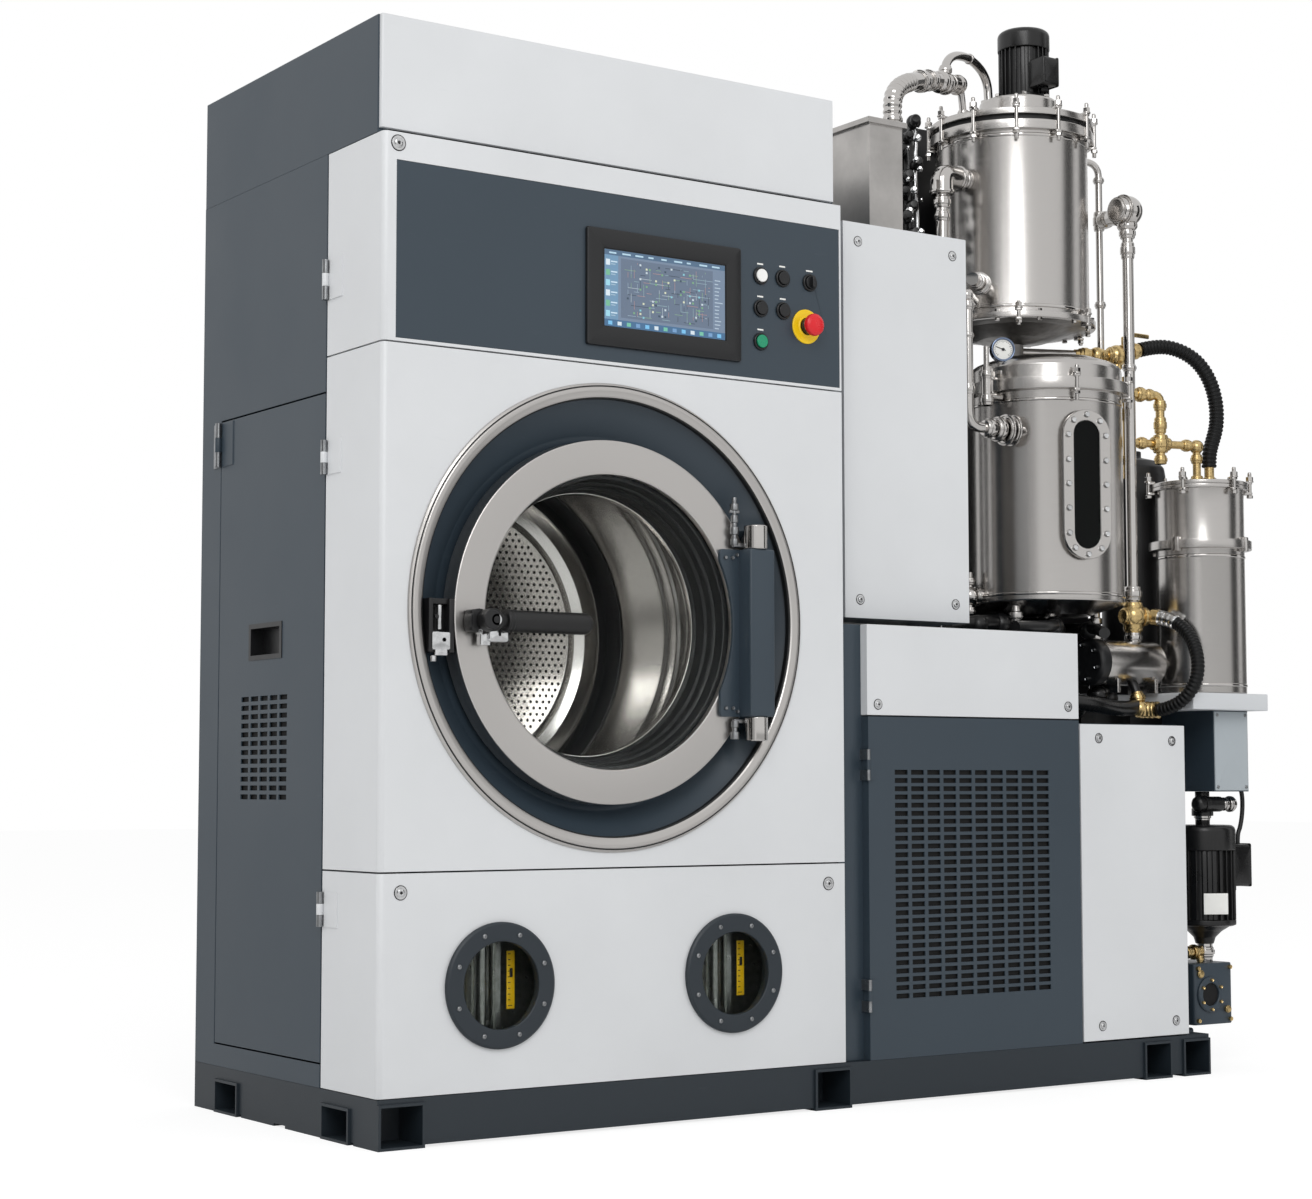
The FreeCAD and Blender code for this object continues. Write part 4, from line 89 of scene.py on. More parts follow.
def turned(profile, centre, axis="Z", steps=64, soft=1.0, closed=True, sweep=(0, 360)):
    """A profile of (radius, height) carried round an axis: x = r cos a, y = r sin a, z = h."""
    p = np.asarray(profile, float)
    if np.max(soft) > 0:
        p = softened(p, soft, closed)
    if closed:
        p = np.vstack([p, p[:1]])
    angle = np.radians(np.linspace(*sweep, steps + 1))
    r, h = p[:, :1], p[:, 1:] + 0 * angle
    a, b = r * np.cos(angle), r * np.sin(angle)
    order = {"Z": (a, b, h), "Y": (a, h, b), "X": (h, a, b)}[axis]
    points = np.stack(order, -1) + np.asarray(centre, float)
    around = angle * np.abs(p[:, 0]).max() + 0 * r
    along = lengths_along(p)[:, None] + 0 * around
    return points, np.stack([around, along], -1) / 1000


def stacked(half, corner, rows, centre, axis="Y", steps=5):
    """A rounded rectangle carried along an axis. Each row (inset, level) draws the rectangle in
    by its inset at that level; the ends close on their centres."""
    rows = np.asarray(rows, float)
    far = max(half) * 4
    rows = np.vstack([[far, rows[0, 1]], rows, [far, rows[-1, 1]]])
    turn = (np.arange(4)[:, None] * 90 + np.linspace(0, 90, steps)).ravel()
    turn = np.radians(np.append(turn, turn[0] + 360))
    square = np.radians(np.append(np.repeat(np.arange(4) * 90 + 45, steps), 405))
    inset = rows[:, :1]
    round_by = np.maximum(corner - inset, 0.02)
    hu, hv = np.maximum(half[0] - inset - round_by, 0), np.maximum(half[1] - inset - round_by, 0)
    shut = (inset < min(half)).astype(float)
    u = shut * (hu * np.sign(np.cos(square)) + round_by * np.cos(turn))
    v = shut * (hv * np.sign(np.sin(square)) + round_by * np.sin(turn))
    level = rows[:, 1:] + 0 * u
    order = {"Z": (u, v, level), "Y": (u, level, v), "X": (level, u, v)}[axis]
    points = np.stack(order, -1) + np.asarray(centre, float)
    return points, np.stack([u + level, v + level], -1) / 1000


def block(x, y, z, edge=1.2, corner=None, axis="Z"):
    """A box with rounded edges, carried along an axis."""
    spans = {"X": (y, z, x), "Y": (x, z, y), "Z": (x, y, z)}[axis]
    (u0, u1), (v0, v1), (w0, w1) = spans
    centre = {"X": (0, (u0 + u1) / 2, (v0 + v1) / 2), "Y": ((u0 + u1) / 2, 0, (v0 + v1) / 2),
              "Z": ((u0 + u1) / 2, (v0 + v1) / 2, 0)}[axis]
    t = np.linspace(0, np.pi / 2, 4)
    drawn, depth = edge * (1 - np.sin(t)), edge * (1 - np.cos(t))
    rows = np.vstack([np.stack([drawn, w0 + depth], 1), np.stack([drawn, w1 - depth], 1)[::-1]])
    half = ((u1 - u0) / 2, (v1 - v0) / 2)
    return stacked(half, edge if corner is None else corner, rows, centre, axis)


def swept(path, radius, sides):
    """A circle carried along a line: p(s) + r(s) (cos a n + sin a b), where n and b are square
    to the line and b stays near the direction in which the line bends least."""
    path = np.asarray(path, float)
    radius = np.broadcast_to(np.asarray(radius, float), len(path))
    run = np.gradient(path, axis=0)
    run /= np.linalg.norm(run, axis=1)[:, None]
    least = np.linalg.svd(run)[2][-1]
    n = np.cross(run, least)
    n /= np.linalg.norm(n, axis=1)[:, None]
    b = np.cross(n, run)
    a = np.linspace(0, 2 * np.pi, sides + 1)[None, :, None]
    ring = np.cos(a) * n[:, None] + np.sin(a) * b[:, None]
    points = path[:, None] + ring * radius[:, None, None]
    s = lengths_along(path)
    points = np.concatenate([points[:1] * 0 + path[0], points, points[-1:] * 0 + path[-1]])
    s = np.concatenate([s[:1], s, s[-1:]])
    around = a[..., 0] * radius.max() + 0 * s[:, None]
    return points, np.stack([around, s[:, None] + 0 * around], -1) / 1000


def bent(points, bend):
    """A pipe's line, with a curve at each of its corners."""
    return softened(points, bend, closed=False, steps=10)


def tilted(patch, centre, angle, axis="Z"):
    """A surface turned by an angle in degrees about an axis through a centre."""
    turn = np.array(Matrix.Rotation(math.radians(angle), 3, axis))
    points, uv = patch
    return (points - centre) @ turn.T + centre, uv


def ring_of(count, radius, centre, start=0.0):
    """(x, y, angle) evenly round a level circle."""
    angle = start + 360.0 / count * np.arange(count)
    turn = np.radians(angle)
    return list(zip(centre[0] + radius * np.cos(turn), centre[1] + radius * np.sin(turn), angle))


def piece(name, patches, coat, body="machine", stands_for=None, sharp=38):
    """Puts the grids of points into one mesh, joins their seams and poles, turns the faces
    outwards and hands the object to its body."""
    verts, faces, uvs, first = [], [], [], 0
    for points, uv in patches:
        rows, columns = points.shape[:2]
        index = np.arange(rows * columns).reshape(rows, columns) + first
        quad = np.stack([index[:-1, :-1], index[:-1, 1:], index[1:, 1:], index[1:, :-1]], -1)
        verts.append(metres(points).reshape(-1, 3))
        uvs.append(np.asarray(uv, float).reshape(-1, 2))
        faces.append(quad.reshape(-1, 4))
        first += rows * columns
    verts, uvs, faces = np.concatenate(verts), np.concatenate(uvs), np.concatenate(faces)
    mesh = bpy.data.meshes.new(name)
    mesh.from_pydata(verts.tolist(), [], faces.tolist())
    closed_up(mesh, uvs[faces])
    return shown(name, mesh, coat, body, stands_for, sharp)


def closed_up(mesh, corners, front_only=False):
    """Stores the map of the faces' corners, joins doubled points and turns the faces outwards. An
    open sheet that only its front shows is turned towards the front."""
    layer = mesh.uv_layers.new(name="Along")
    layer.data.foreach_set("uv", corners.astype(np.float32).ravel())
    work = bmesh.new()
    work.from_mesh(mesh)
    bmesh.ops.remove_doubles(work, verts=work.verts, dist=4e-6)
    bmesh.ops.dissolve_degenerate(work, edges=work.edges, dist=1e-7)
    bmesh.ops.recalc_face_normals(work, faces=work.faces)
    if front_only and sum(f.normal.y * f.calc_area() for f in work.faces) > 0:
        bmesh.ops.reverse_faces(work, faces=work.faces)
    work.to_mesh(mesh)
    work.free()


def shown(name, mesh, coat, body="machine", stands_for=None, sharp=38):
    """An object of a mesh that is already in place, with its finish appended to the mesh's slots."""
    mesh.shade_smooth()
    mesh.set_sharp_from_angle(angle=math.radians(sharp))
    mesh.materials.append(bpy.data.materials[coat])
    item = bpy.data.objects.new(name, mesh)
    bpy.context.scene.collection.objects.link(item)
    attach(item, body)
    if stands_for:
        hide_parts(stands_for)
    return item


def dress(coat, *nodes):
    """Gives CAD nodes their finish."""
    for name in nodes:
        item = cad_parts[name]
        for place in item.material_slots:
            place.link = "OBJECT"
            place.material = bpy.data.materials[coat]


def ease_edges(width, *nodes):
    """Softens the sheet edges of CAD nodes with live modifiers."""
    for name in nodes:
        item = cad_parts[name]
        item.modifiers.new("Join", "WELD").merge_threshold = 1e-5
        rim = item.modifiers.new("Rim", "BEVEL")
        rim.width, rim.segments = width / 1000, 2
        rim.limit_method, rim.angle_limit = "ANGLE", math.radians(40)
        rim.use_clamp_overlap = True


# ---------------------------------------------------------------- colours and materials
def linear(code):
    """An sRGB hex colour as linear red, green, blue and alpha."""
    value = np.array([int(code[i:i + 2], 16) for i in (1, 3, 5)]) / 255
    low, high = value / 12.92, ((value + 0.055) / 1.055) ** 2.4
    return (*np.where(value <= 0.04045, low, high).tolist(), 1.0)


def tinted(value, share):
    """A colour made darker or lighter by a share."""
    return tuple(min(1.0, c * share) for c in value[:3]) + (1.0,)


def node(tree, kind, settings=None, **inputs):
    """Adds a shader node with its settings, and sets or links its inputs by name or number. A node
    given as an input links its first output."""
    made = tree.nodes.new("ShaderNode" + kind)
    for key, value in (settings or {}).items():
        setattr(made, key, value)
    for key, value in inputs.items():
        numbered = key[0] == "i" and key[1:].isdigit()
        feed(tree, made.inputs[int(key[1:]) if numbered else key.replace("_", " ")], value)
    return made


def feed(tree, socket, value):
    """Links a node or an output to a socket, or sets the socket's own value."""
    if isinstance(value, bpy.types.Node):
        value = value.outputs[0]
    if isinstance(value, bpy.types.NodeSocket):
        tree.links.new(value, socket)
    else:
        socket.default_value = value


def start(name):
    """A new material, its emptied tree and its Object coordinates."""
    material = bpy.data.materials.new(name)
    material.use_nodes = True
    tree = material.node_tree
    tree.nodes.clear()
    return material, tree, node(tree, "TexCoord").outputs["Object"]


def end(tree, shader):
    node(tree, "OutputMaterial", Surface=shader)


def blend_colours(tree, factor, first, second, mode="MIX"):
    mix = node(tree, "Mix", {"data_type": "RGBA", "blend_type": mode})
    for socket, value in zip((mix.inputs[0], mix.inputs[6], mix.inputs[7]), (factor, first, second)):
        feed(tree, socket, value)
    return mix.outputs[2]


def powder_coat(name, colour, grain=4.0, rough=0.42, depth=0.06, worn="#8b9197"):
    """Polyester powder coat on steel sheet, sprayed and baked. It is even and satin, with a
    faint orange peel that breaks the highlights, slow clouds of tone and handling marks."""
    material, tree, at = start(name)
    # The real peel is about 1 mm across; it is drawn `grain` mm across so that it shows.
    peel = node(tree, "TexNoise", Vector=at, Scale=1000 / grain, Detail=3.0)
    cloud = node(tree, "TexNoise", Vector=at, Scale=2.6, Detail=4.0, Roughness=0.55)
    low = node(tree, "MapRange", Value=cloud, i1=0.3, i2=0.7, i3=0.0, i4=1.0)
    shade = tinted(colour, 0.93)
    tone = blend_colours(tree, low, shade, colour)
    # Handling marks: sparse thin streaks, about 60 mm long, that dull the coat.
    long_way = node(tree, "Mapping", Vector=at, Scale=(14.0, 14.0, 90.0))
    mark = node(tree, "TexNoise", Vector=long_way, Scale=1.0, Detail=5.0)
    thin = node(tree, "MapRange", Value=mark, i1=0.7, i2=0.84, i3=0.0, i4=0.07)
    tone = blend_colours(tree, thin, tone, linear(worn))
    gloss = node(tree, "MapRange", Value=cloud, i1=0.3, i2=0.7, i3=rough - 0.04, i4=rough + 0.05)
    bump = node(tree, "Bump", Height=peel, Strength=depth, Distance=0.0006)
    end(tree, node(tree, "BsdfPrincipled", Base_Color=tone, Roughness=gloss, IOR=1.5, Normal=bump))
    return material


def brushed_steel(name, colour, grit=1.6, rough=0.3, streak=0.08, stretch=60.0, lean=0.0, lift=0.06):
    """Austenitic stainless steel, 304, brushed with a belt. Fine lines run along the first
    direction of the piece's own map and pull each highlight out into a band."""
    material, tree, at = start(name)
    own = node(tree, "UVMap", {"uv_map": "Along"}).outputs[0]
    # Belt lines are about 0.1 mm apart; they are drawn `grit` mm apart so that they show.
    drawn = node(tree, "Mapping", Vector=own, Scale=(1000 / grit / stretch, 1000 / grit, 1.0))
    line = node(tree, "TexNoise", Vector=drawn, Scale=1.0, Detail=4.0, Roughness=0.6)
    cloud = node(tree, "TexNoise", Vector=at, Scale=7.0, Detail=3.0)
    dark = tinted(colour, 0.9)
    tone = blend_colours(tree, line, dark, colour)
    tone = blend_colours(tree, cloud, tone, tinted(colour, 0.94))
    gloss = node(tree, "MapRange", Value=line, i1=0.3, i2=0.7, i3=rough - streak / 2, i4=rough + streak / 2)
    bump = node(tree, "Bump", Height=line, Strength=lift, Distance=0.0002)
    shader = node(tree, "BsdfPrincipled", Base_Color=tone, Metallic=1.0, Roughness=gloss, Anisotropic=lean,
                  Normal=bump)
    if lean:
        turn = node(tree, "Tangent", {"direction_type": "UV_MAP", "uv_map": "Along"})
        feed(tree, shader.inputs["Tangent"], turn)
    end(tree, shader)
    return material


def plain_metal(name, colour, rough=0.25, spread=0.12, size=9.0, pits=0.0):
    """Metal with no belt lines, such as cast brass, zinc plate or iron: soft clouds of polish
    and, where cast, shallow pits `size` mm apart."""
    material, tree, at = start(name)
    cloud = node(tree, "TexNoise", Vector=at, Scale=1000 / size, Detail=5.0, Roughness=0.6)
    dark = tinted(colour, 0.72)
    ramp = node(tree, "MapRange", Value=cloud, i1=0.35, i2=0.65)
    tone = blend_colours(tree, ramp, dark, colour)
    gloss = node(tree, "MapRange", Value=cloud, i1=0.3, i2=0.7, i3=rough + spread / 2, i4=rough - spread / 2)
    bump = node(tree, "Bump", Height=cloud, Strength=0.1 + pits, Distance=0.0008)
    end(tree, node(tree, "BsdfPrincipled", Base_Color=tone, Metallic=1.0, Roughness=gloss, Normal=bump))
    return material


def moulded(name, colour, rough=0.45, grain=1.5, depth=0.12, ior=1.5):
    """Moulded rubber, ABS or stove enamel on a casting: one colour through, a fine grain from
    the mould and a little grey dust in it."""
    material, tree, at = start(name)
    skin = node(tree, "TexNoise", Vector=at, Scale=1000 / grain, Detail=2.0)
    cloud = node(tree, "TexNoise", Vector=at, Scale=12.0, Detail=4.0)
    dusty = tuple(min(1.0, c * 1.25 + 0.004) for c in colour[:3]) + (1.0,)
    tone = blend_colours(tree, cloud, colour, dusty)
    gloss = node(tree, "MapRange", Value=cloud, i1=0.3, i2=0.7, i3=rough - 0.06, i4=rough + 0.06)
    bump = node(tree, "Bump", Height=skin, Strength=depth, Distance=0.0006)
    end(tree, node(tree, "BsdfPrincipled", Base_Color=tone, Roughness=gloss, IOR=ior, Normal=bump))
    return material


def clear_glass(name, tint, rough=0.01, ior=1.45):
    """Toughened float glass: clear, faintly green, with a smear of handling on it."""
    material, tree, at = start(name)
    smear = node(tree, "TexNoise", Vector=at, Scale=9.0, Detail=3.0)
    gloss = node(tree, "MapRange", Value=smear, i1=0.4, i2=0.75, i3=rough, i4=rough + 0.03)
    end(tree, node(tree, "BsdfPrincipled", Base_Color=tint, Roughness=gloss, IOR=ior,
                   Transmission_Weight=1.0))
    return material


def lit_screen(name, rough, glow):
    """A screen's marks behind its glass, lit from inside; their colours are stored on the faces."""
    material, tree, at = start(name)
    ink = node(tree, "VertexColor", {"layer_name": "Ink"}).outputs[0]
    grain = node(tree, "TexNoise", Vector=at, Scale=700.0, Detail=1.0)
    dim = blend_colours(tree, 0.12, ink, grain.outputs["Color"], "SOFT_LIGHT")
    end(tree, node(tree, "BsdfPrincipled", Base_Color=dim, Roughness=rough, Emission_Color=dim,
                   Emission_Strength=glow))
    return material


def see_through(name, tint, gloss=0.0, ior=1.08):
    """Clear glass that lets the lamps' rays straight in, so that what is behind it is lit. Its low
    index stands for a coated pane, which hardly mirrors the room."""
    material, tree, at = start(name)
    smear = node(tree, "TexNoise", Vector=at, Scale=7.0, Detail=3.0)
    rough = node(tree, "MapRange", Value=smear, i1=0.45, i2=0.8, i3=gloss, i4=gloss + 0.02)
    pane = node(tree, "BsdfPrincipled", Base_Color=tint, Roughness=rough, IOR=ior, Transmission_Weight=1.0)
    clear = node(tree, "BsdfTransparent", Color=tint)
    ray = node(tree, "LightPath").outputs["Is Shadow Ray"]
    end(tree, node(tree, "MixShader", i0=ray, i1=pane, i2=clear))
    return material


# ---------------------------------------------------------------- what a user may change
def colour(label, code, text):
    return FloatVectorProperty(name=label, description=text, subtype="COLOR", size=4, min=0.0, max=1.0,
                               default=linear(code))


def length(label, value, text):
    return FloatProperty(name=label, description=text, default=value / 1000, unit="LENGTH", min=0.0)


class MachineSizes(bpy.types.PropertyGroup):
    """Sizes of the fittings, in metres."""
    rib_pitch: length("Hose rib pitch", 9.0, "Distance from rib to rib along the corrugated hoses")
    rib_height: length("Hose rib height", 2.2, "How far the hoses' ribs stand above their valleys")
    sieve_pitch: length("Sieve pitch", 14.0, "Distance between holes in the drum's back plate")
    sieve_hole: length("Sieve hole", 6.6, "Diameter of the holes in the drum's back plate")
    screw_head: length("Screw head", 19.0, "Diameter of the lock and cover screws")
    sheet_edge: length("Sheet edge", 1.0, "Rounding of the casing's sheet edges")
    turns: IntProperty(name="Lathe steps", description="Facets round a large turned part", default=128,
                       min=24)


class MachineColours(bpy.types.PropertyGroup):
    """Colours of the finishes."""
    white: colour("White coat", "#dcdee0", "Powder coat of the front panels and covers")
    slate: colour("Slate coat", "#34404a", "Powder coat of the casing, the base and the fascia")
    steel: colour("Steel", "#c9c6c3", "Stainless steel of the tanks, the rings and the drum")
    brass: colour("Brass", "#dcc088", "Brass of the valves and elbows")
    black: colour("Black", "#141416", "Black coat, rubber and plastic")
    red: colour("Stop red", "#d01822", "Head of the stop button")
    yellow: colour("Stop yellow", "#f2c40c", "Plate behind the stop button")
    green: colour("Green", "#0f8a62", "Cap of the start button")
    screen: colour("Screen", "#6b7b90", "Background of the touch screen")


class LAUNDRY_OT_finishes(bpy.types.Operator):
    """Makes every finish of the machine"""
    bl_idname = "laundry.finishes"
    bl_label = "Finishes"

    def execute(self, context):
        c = context.scene.machine_colours
        slate, steel, black = tuple(c.slate), tuple(c.steel), tuple(c.black)
        powder_coat("White powder coat", tuple(c.white), rough=0.38)
        powder_coat("Slate powder coat", slate, rough=0.4)
        powder_coat("Frame powder coat", linear("#3d454c"), rough=0.5)
        powder_coat("Base powder coat", tinted(slate, 0.46), rough=0.46)
        powder_coat("Black powder coat", black, rough=0.42, worn="#4a4a4c")
        powder_coat("Shelf powder coat", linear("#d6d9dc"), rough=0.45)
        powder_coat("Box powder coat", linear("#b0b8bd"), rough=0.45)
        brushed_steel("Ring steel", steel, grit=1.2, rough=0.3, streak=0.05, lean=0.5)
        brushed_steel("Tank steel", steel, grit=2.2, rough=0.22, streak=0.06, stretch=40, lean=0.35)
        brushed_steel("Polished steel", tinted(steel, 1.05), grit=3.0, rough=0.1, streak=0.08, stretch=25)
        brushed_steel("Drum steel", tinted(steel, 1.15), grit=3.0, rough=0.17, streak=0.06, stretch=50,
                      lean=0.4, lift=0.01)
        plain_metal("Tank steel plate", tinted(steel, 0.5), rough=0.38, size=30)
        plain_metal("Blued steel", linear("#8492ab"), rough=0.2, size=20)
        plain_metal("Condenser steel", tinted(steel, 1.0), rough=0.3, spread=0.04, size=160)
        plain_metal("Zinc plated steel", linear("#a3a5a7"), rough=0.32, size=14)
        plain_metal("Chrome plated steel", linear("#e2e3e4"), rough=0.16, spread=0.06, size=20)
        plain_metal("Cast brass", tuple(c.brass), rough=0.24, spread=0.14, size=7, pits=0.1)
        plain_metal("Cast iron", linear("#3c3c3e"), rough=0.5, size=6, pits=0.4)
        moulded("Nitrile rubber", linear("#101112"), rough=0.5, grain=3)
        moulded("Corrugated hose rubber", linear("#08090a"), rough=0.45, grain=2, ior=1.33)
        moulded("Black stove enamel", linear("#0d0d0e"), rough=0.3, grain=5, depth=0.2)
        moulded("Black ABS", linear("#101113"), rough=0.36, grain=1.6)
        moulded("Black grip", linear("#0c0c0d"), rough=0.45, grain=1.2, depth=0.2)
        moulded("White ABS", linear("#e4e4e2"), rough=0.3)
        moulded("Green ABS", tuple(c.green), rough=0.3)
        moulded("Red ABS", tuple(c.red), rough=0.28)
        moulded("Yellow ABS", tuple(c.yellow), rough=0.35)
        moulded("Yellow enamel scale", linear("#e9b80a"), rough=0.35)
        moulded("Dial enamel", linear("#e6e6e2"), rough=0.3)
        # Painted shade: a flat black that stands for the shade in holes, slots and gaps behind parts; it is
        # no real coat.
        moulded("Dark void", linear("#060607"), rough=0.8)
        see_through("Door glass", linear("#fbfdfc"))
        see_through("Gauge glass", linear("#e4e7e2"), gloss=0.02)
        clear_glass("Tube glass", linear("#e4e6e2"), rough=0.04)
        # Painted shade: the sight glass is tinted dark to stand for the shade inside the filter tank.
        clear_glass("Sight glass", linear("#2f3d3a"), rough=0.02, ior=1.22)
        lit_screen("Lit screen", rough=0.2, glow=0.25)
        return {"FINISHED"}


# ---------------------------------------------------------------- hoses and cable
# The routes' control points, as in the part's source.
OVERFLOW = ((2083, 250, 1605), (2126, 240, 1617), (2168, 218, 1612), (2203, 190, 1585), (2226, 172, 1540),
            (2238, 164, 1485), (2234, 161, 1430), (2216, 160, 1390), (2206, 160, 1362), (2206, 160, 1334))
DRAIN = ((2042, 185, 989), (2060, 146, 984), (2062, 96, 952), (2044, 52, 902), (2031, 40, 846),
         (2014, 62, 801), (2002, 108, 780), (1996, 146, 779), (1974, 159, 780))
CABLE = ((2250, 150, 618), (2272, 150, 618), (2284, 150, 596), (2284, 150, 556), (2276, 150, 520),
         (2266, 150, 504), (2266, 150, 482))


def route_curve(name, route, radius=0.0):
    """An open NURBS spline of order 3 with the route's points as its control points."""
    curve = bpy.data.curves.new(name, "CURVE")
    curve.dimensions = "3D"
    spline = curve.splines.new("NURBS")
    points = metres(route)
    spline.points.add(len(points) - 1)
    spline.points.foreach_set("co", np.hstack([points, np.ones((len(points), 1))]).ravel())
    spline.order_u = 3
    spline.use_endpoint_u = True
    spline.resolution_u = 24
    curve.resolution_u = 24
    curve.bevel_depth = radius
    curve.bevel_resolution = 6
    curve.use_fill_caps = True
    return curve


def route_line(route):
    """The spline's own points, in millimetres."""
    curve = route_curve("line", route)
    holder = bpy.data.objects.new("line", curve)
    mesh = bpy.data.meshes.new_from_object(holder)
    line = np.empty(len(mesh.vertices) * 3, np.float32)
    mesh.vertices.foreach_get("co", line)
    bpy.data.objects.remove(holder)
    bpy.data.curves.remove(curve)
    bpy.data.meshes.remove(mesh)
    return line.reshape(-1, 3).astype(float) * 1000 + ORIGIN


def even(line, step):
    """Points at even distances along a line."""
    run = lengths_along(line)
    s = np.linspace(0, run[-1], max(8, int(round(run[-1] / step))) + 1)
    return np.stack([np.interp(s, run, line[:, k]) for k in range(3)], 1), s


def corrugated(name, route, diameter, node_name, sizes):
    """A hose whose radius is r - h/2 (1 - cos(2 pi s / pitch)) at the distance s along its route."""
    line, s = even(route_line(route), 1.5)
    pitch, height = sizes.rib_pitch * 1000, sizes.rib_height * 1000
    radius = diameter / 2 - height * (0.5 - 0.5 * np.cos(2 * np.pi * s / pitch)) ** 1.5
    hose = piece(name, [swept(line, radius, 28)], "Corrugated hose rubber", stands_for=node_name, sharp=80)


class LAUNDRY_OT_hoses(bpy.types.Operator):
    """The two corrugated hoses and the pump's cable"""
    bl_idname = "laundry.hoses"
    bl_label = "Hoses and cable"

    def execute(self, context):
        sizes = context.scene.machine_sizes
        corrugated("Overflow_hose", OVERFLOW, 34, "overflow_hose", sizes)
        corrugated("Drain_hose", DRAIN, 30, "drain_hose", sizes)
        cable = bpy.data.objects.new("Pump_cable", route_curve("Pump_cable", CABLE, 0.005))
        cable.data.materials.append(bpy.data.materials["Nitrile rubber"])
        bpy.context.scene.collection.objects.link(cable)
        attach(cable, "machine")
        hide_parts("pump_cable")
        run = lengths_along(route_line(CABLE))[-1] / 1000
        return {"FINISHED"}


# ---------------------------------------------------------------- small fittings
def hexagon(centre, axis, radius, low, high, turn=0.0, edge=0.8):
    """A hexagonal nut or bolt head with chamfered rims."""
    rows = [(0, low), (radius - edge, low), (radius, low + edge), (radius, high - edge),
            (radius - edge, high), (0, high)]
    return turned(rows, centre, axis, steps=6, soft=0, closed=False, sweep=(turn, turn + 360))


def dome_screw(centre, axis, radius, base, top):
    """A domed screw head with a socket: it rises from `base` to `top` along its axis."""
    h = top - base
    rows = [(0, base), (radius, base), (radius, base + 0.25 * h), (radius * 0.86, base + 0.72 * h),
            (radius * 0.55, top), (radius * 0.36, top), (radius * 0.32, base + 0.3 * h), (0, base + 0.3 * h)]
    return turned(rows, centre, axis, steps=20, soft=radius * 0.08, closed=False)


def washer(centre, axis, radius, base, top):
    """A flat washer ring."""
    rows = [(radius * 0.6, base), (radius, base), (radius, top), (radius * 0.6, top)]
    return turned(rows, centre, axis, steps=28, soft=0.4)


def disc(centre, axis, radius, low, high, soft=0.8, steps=48):
    """A round plate."""
    return turned([(0, low), (radius, low), (radius, high), (0, high)], centre, axis, steps, soft, False)


def stack_of(centre, axis, rows, steps=40, soft=0.6):
    """A turned solid from its rows of (radius, height), closed on its axis at both ends."""
    rows = [(0, rows[0][1]), *rows, (0, rows[-1][1])]
    return turned(rows, centre, axis, steps, soft, False)


def upright(at, rows, steps=40, soft=0.6):
    """A turned solid that stands at a place (X, Y); its heights are the machine's own."""
    return stack_of((*at[:2], 0), "Z", rows, steps, soft)


def hoop(at, radius, level, width, proud, steps=128, soft=1.2):
    """A flat bead rolled round a tank's wall."""
    rows = [(radius - 0.4, level), (radius + proud, level + 2), (radius + proud, level + width - 2),
            (radius - 0.4, level + width)]
    return turned(rows, at, "Z", steps, soft)


def ball(centre, radius, steps=32):
    """A sphere: r = R sin t, z = -R cos t."""
    t = np.linspace(0, np.pi, 15)
    return turned(np.stack([radius * np.sin(t), -radius * np.cos(t)], 1), centre, "Z", steps, 0, False)


def between(start_at, end_at, rows, steps=24, soft=0.5):
    """A turned solid along the line from one point to another; rows are (radius, distance)."""
    a, b = np.asarray(start_at, float), np.asarray(end_at, float)
    along = (b - a) / np.linalg.norm(b - a)
    side = np.cross(along, (0, 0, 1)) if abs(along[2]) < 0.9 else np.cross(along, (0, 1, 0))
    side /= np.linalg.norm(side)
    points, uv = upright((0, 0), rows, steps, soft)
    return points @ np.stack([side, np.cross(along, side), along]) + a, uv


def screws(name, places, body, radius=9.5):
    """Quarter-turn lock screws on a front face: a washer, a domed head and its socket. A black ring round
    each washer and a black disc in each socket are painted shade.
    """
    patches, shade = [], []
    for x, y, z in places:
        patches += [washer((x, y, z), "Y", radius, 0.2, -1.4),
                    dome_screw((x, y, z), "Y", radius * 0.68, -0.6, -4)]
        # Painted shade: a black ring round the washer and a black disc deep in the socket.
        shade += [turned([(radius, 0.1), (radius * 1.12, 0.1), (radius * 1.12, -0.7), (radius, -0.7)],
                         (x, y, z), "Y", 28, 0.1), disc((x, y, z), "Y", radius * 0.26, -1.6, -1.8, 0.05, 16)]
    piece(name, patches, "Chrome plated steel", body)
    piece(name + "_painted_shade", shade, "Dark void", body)


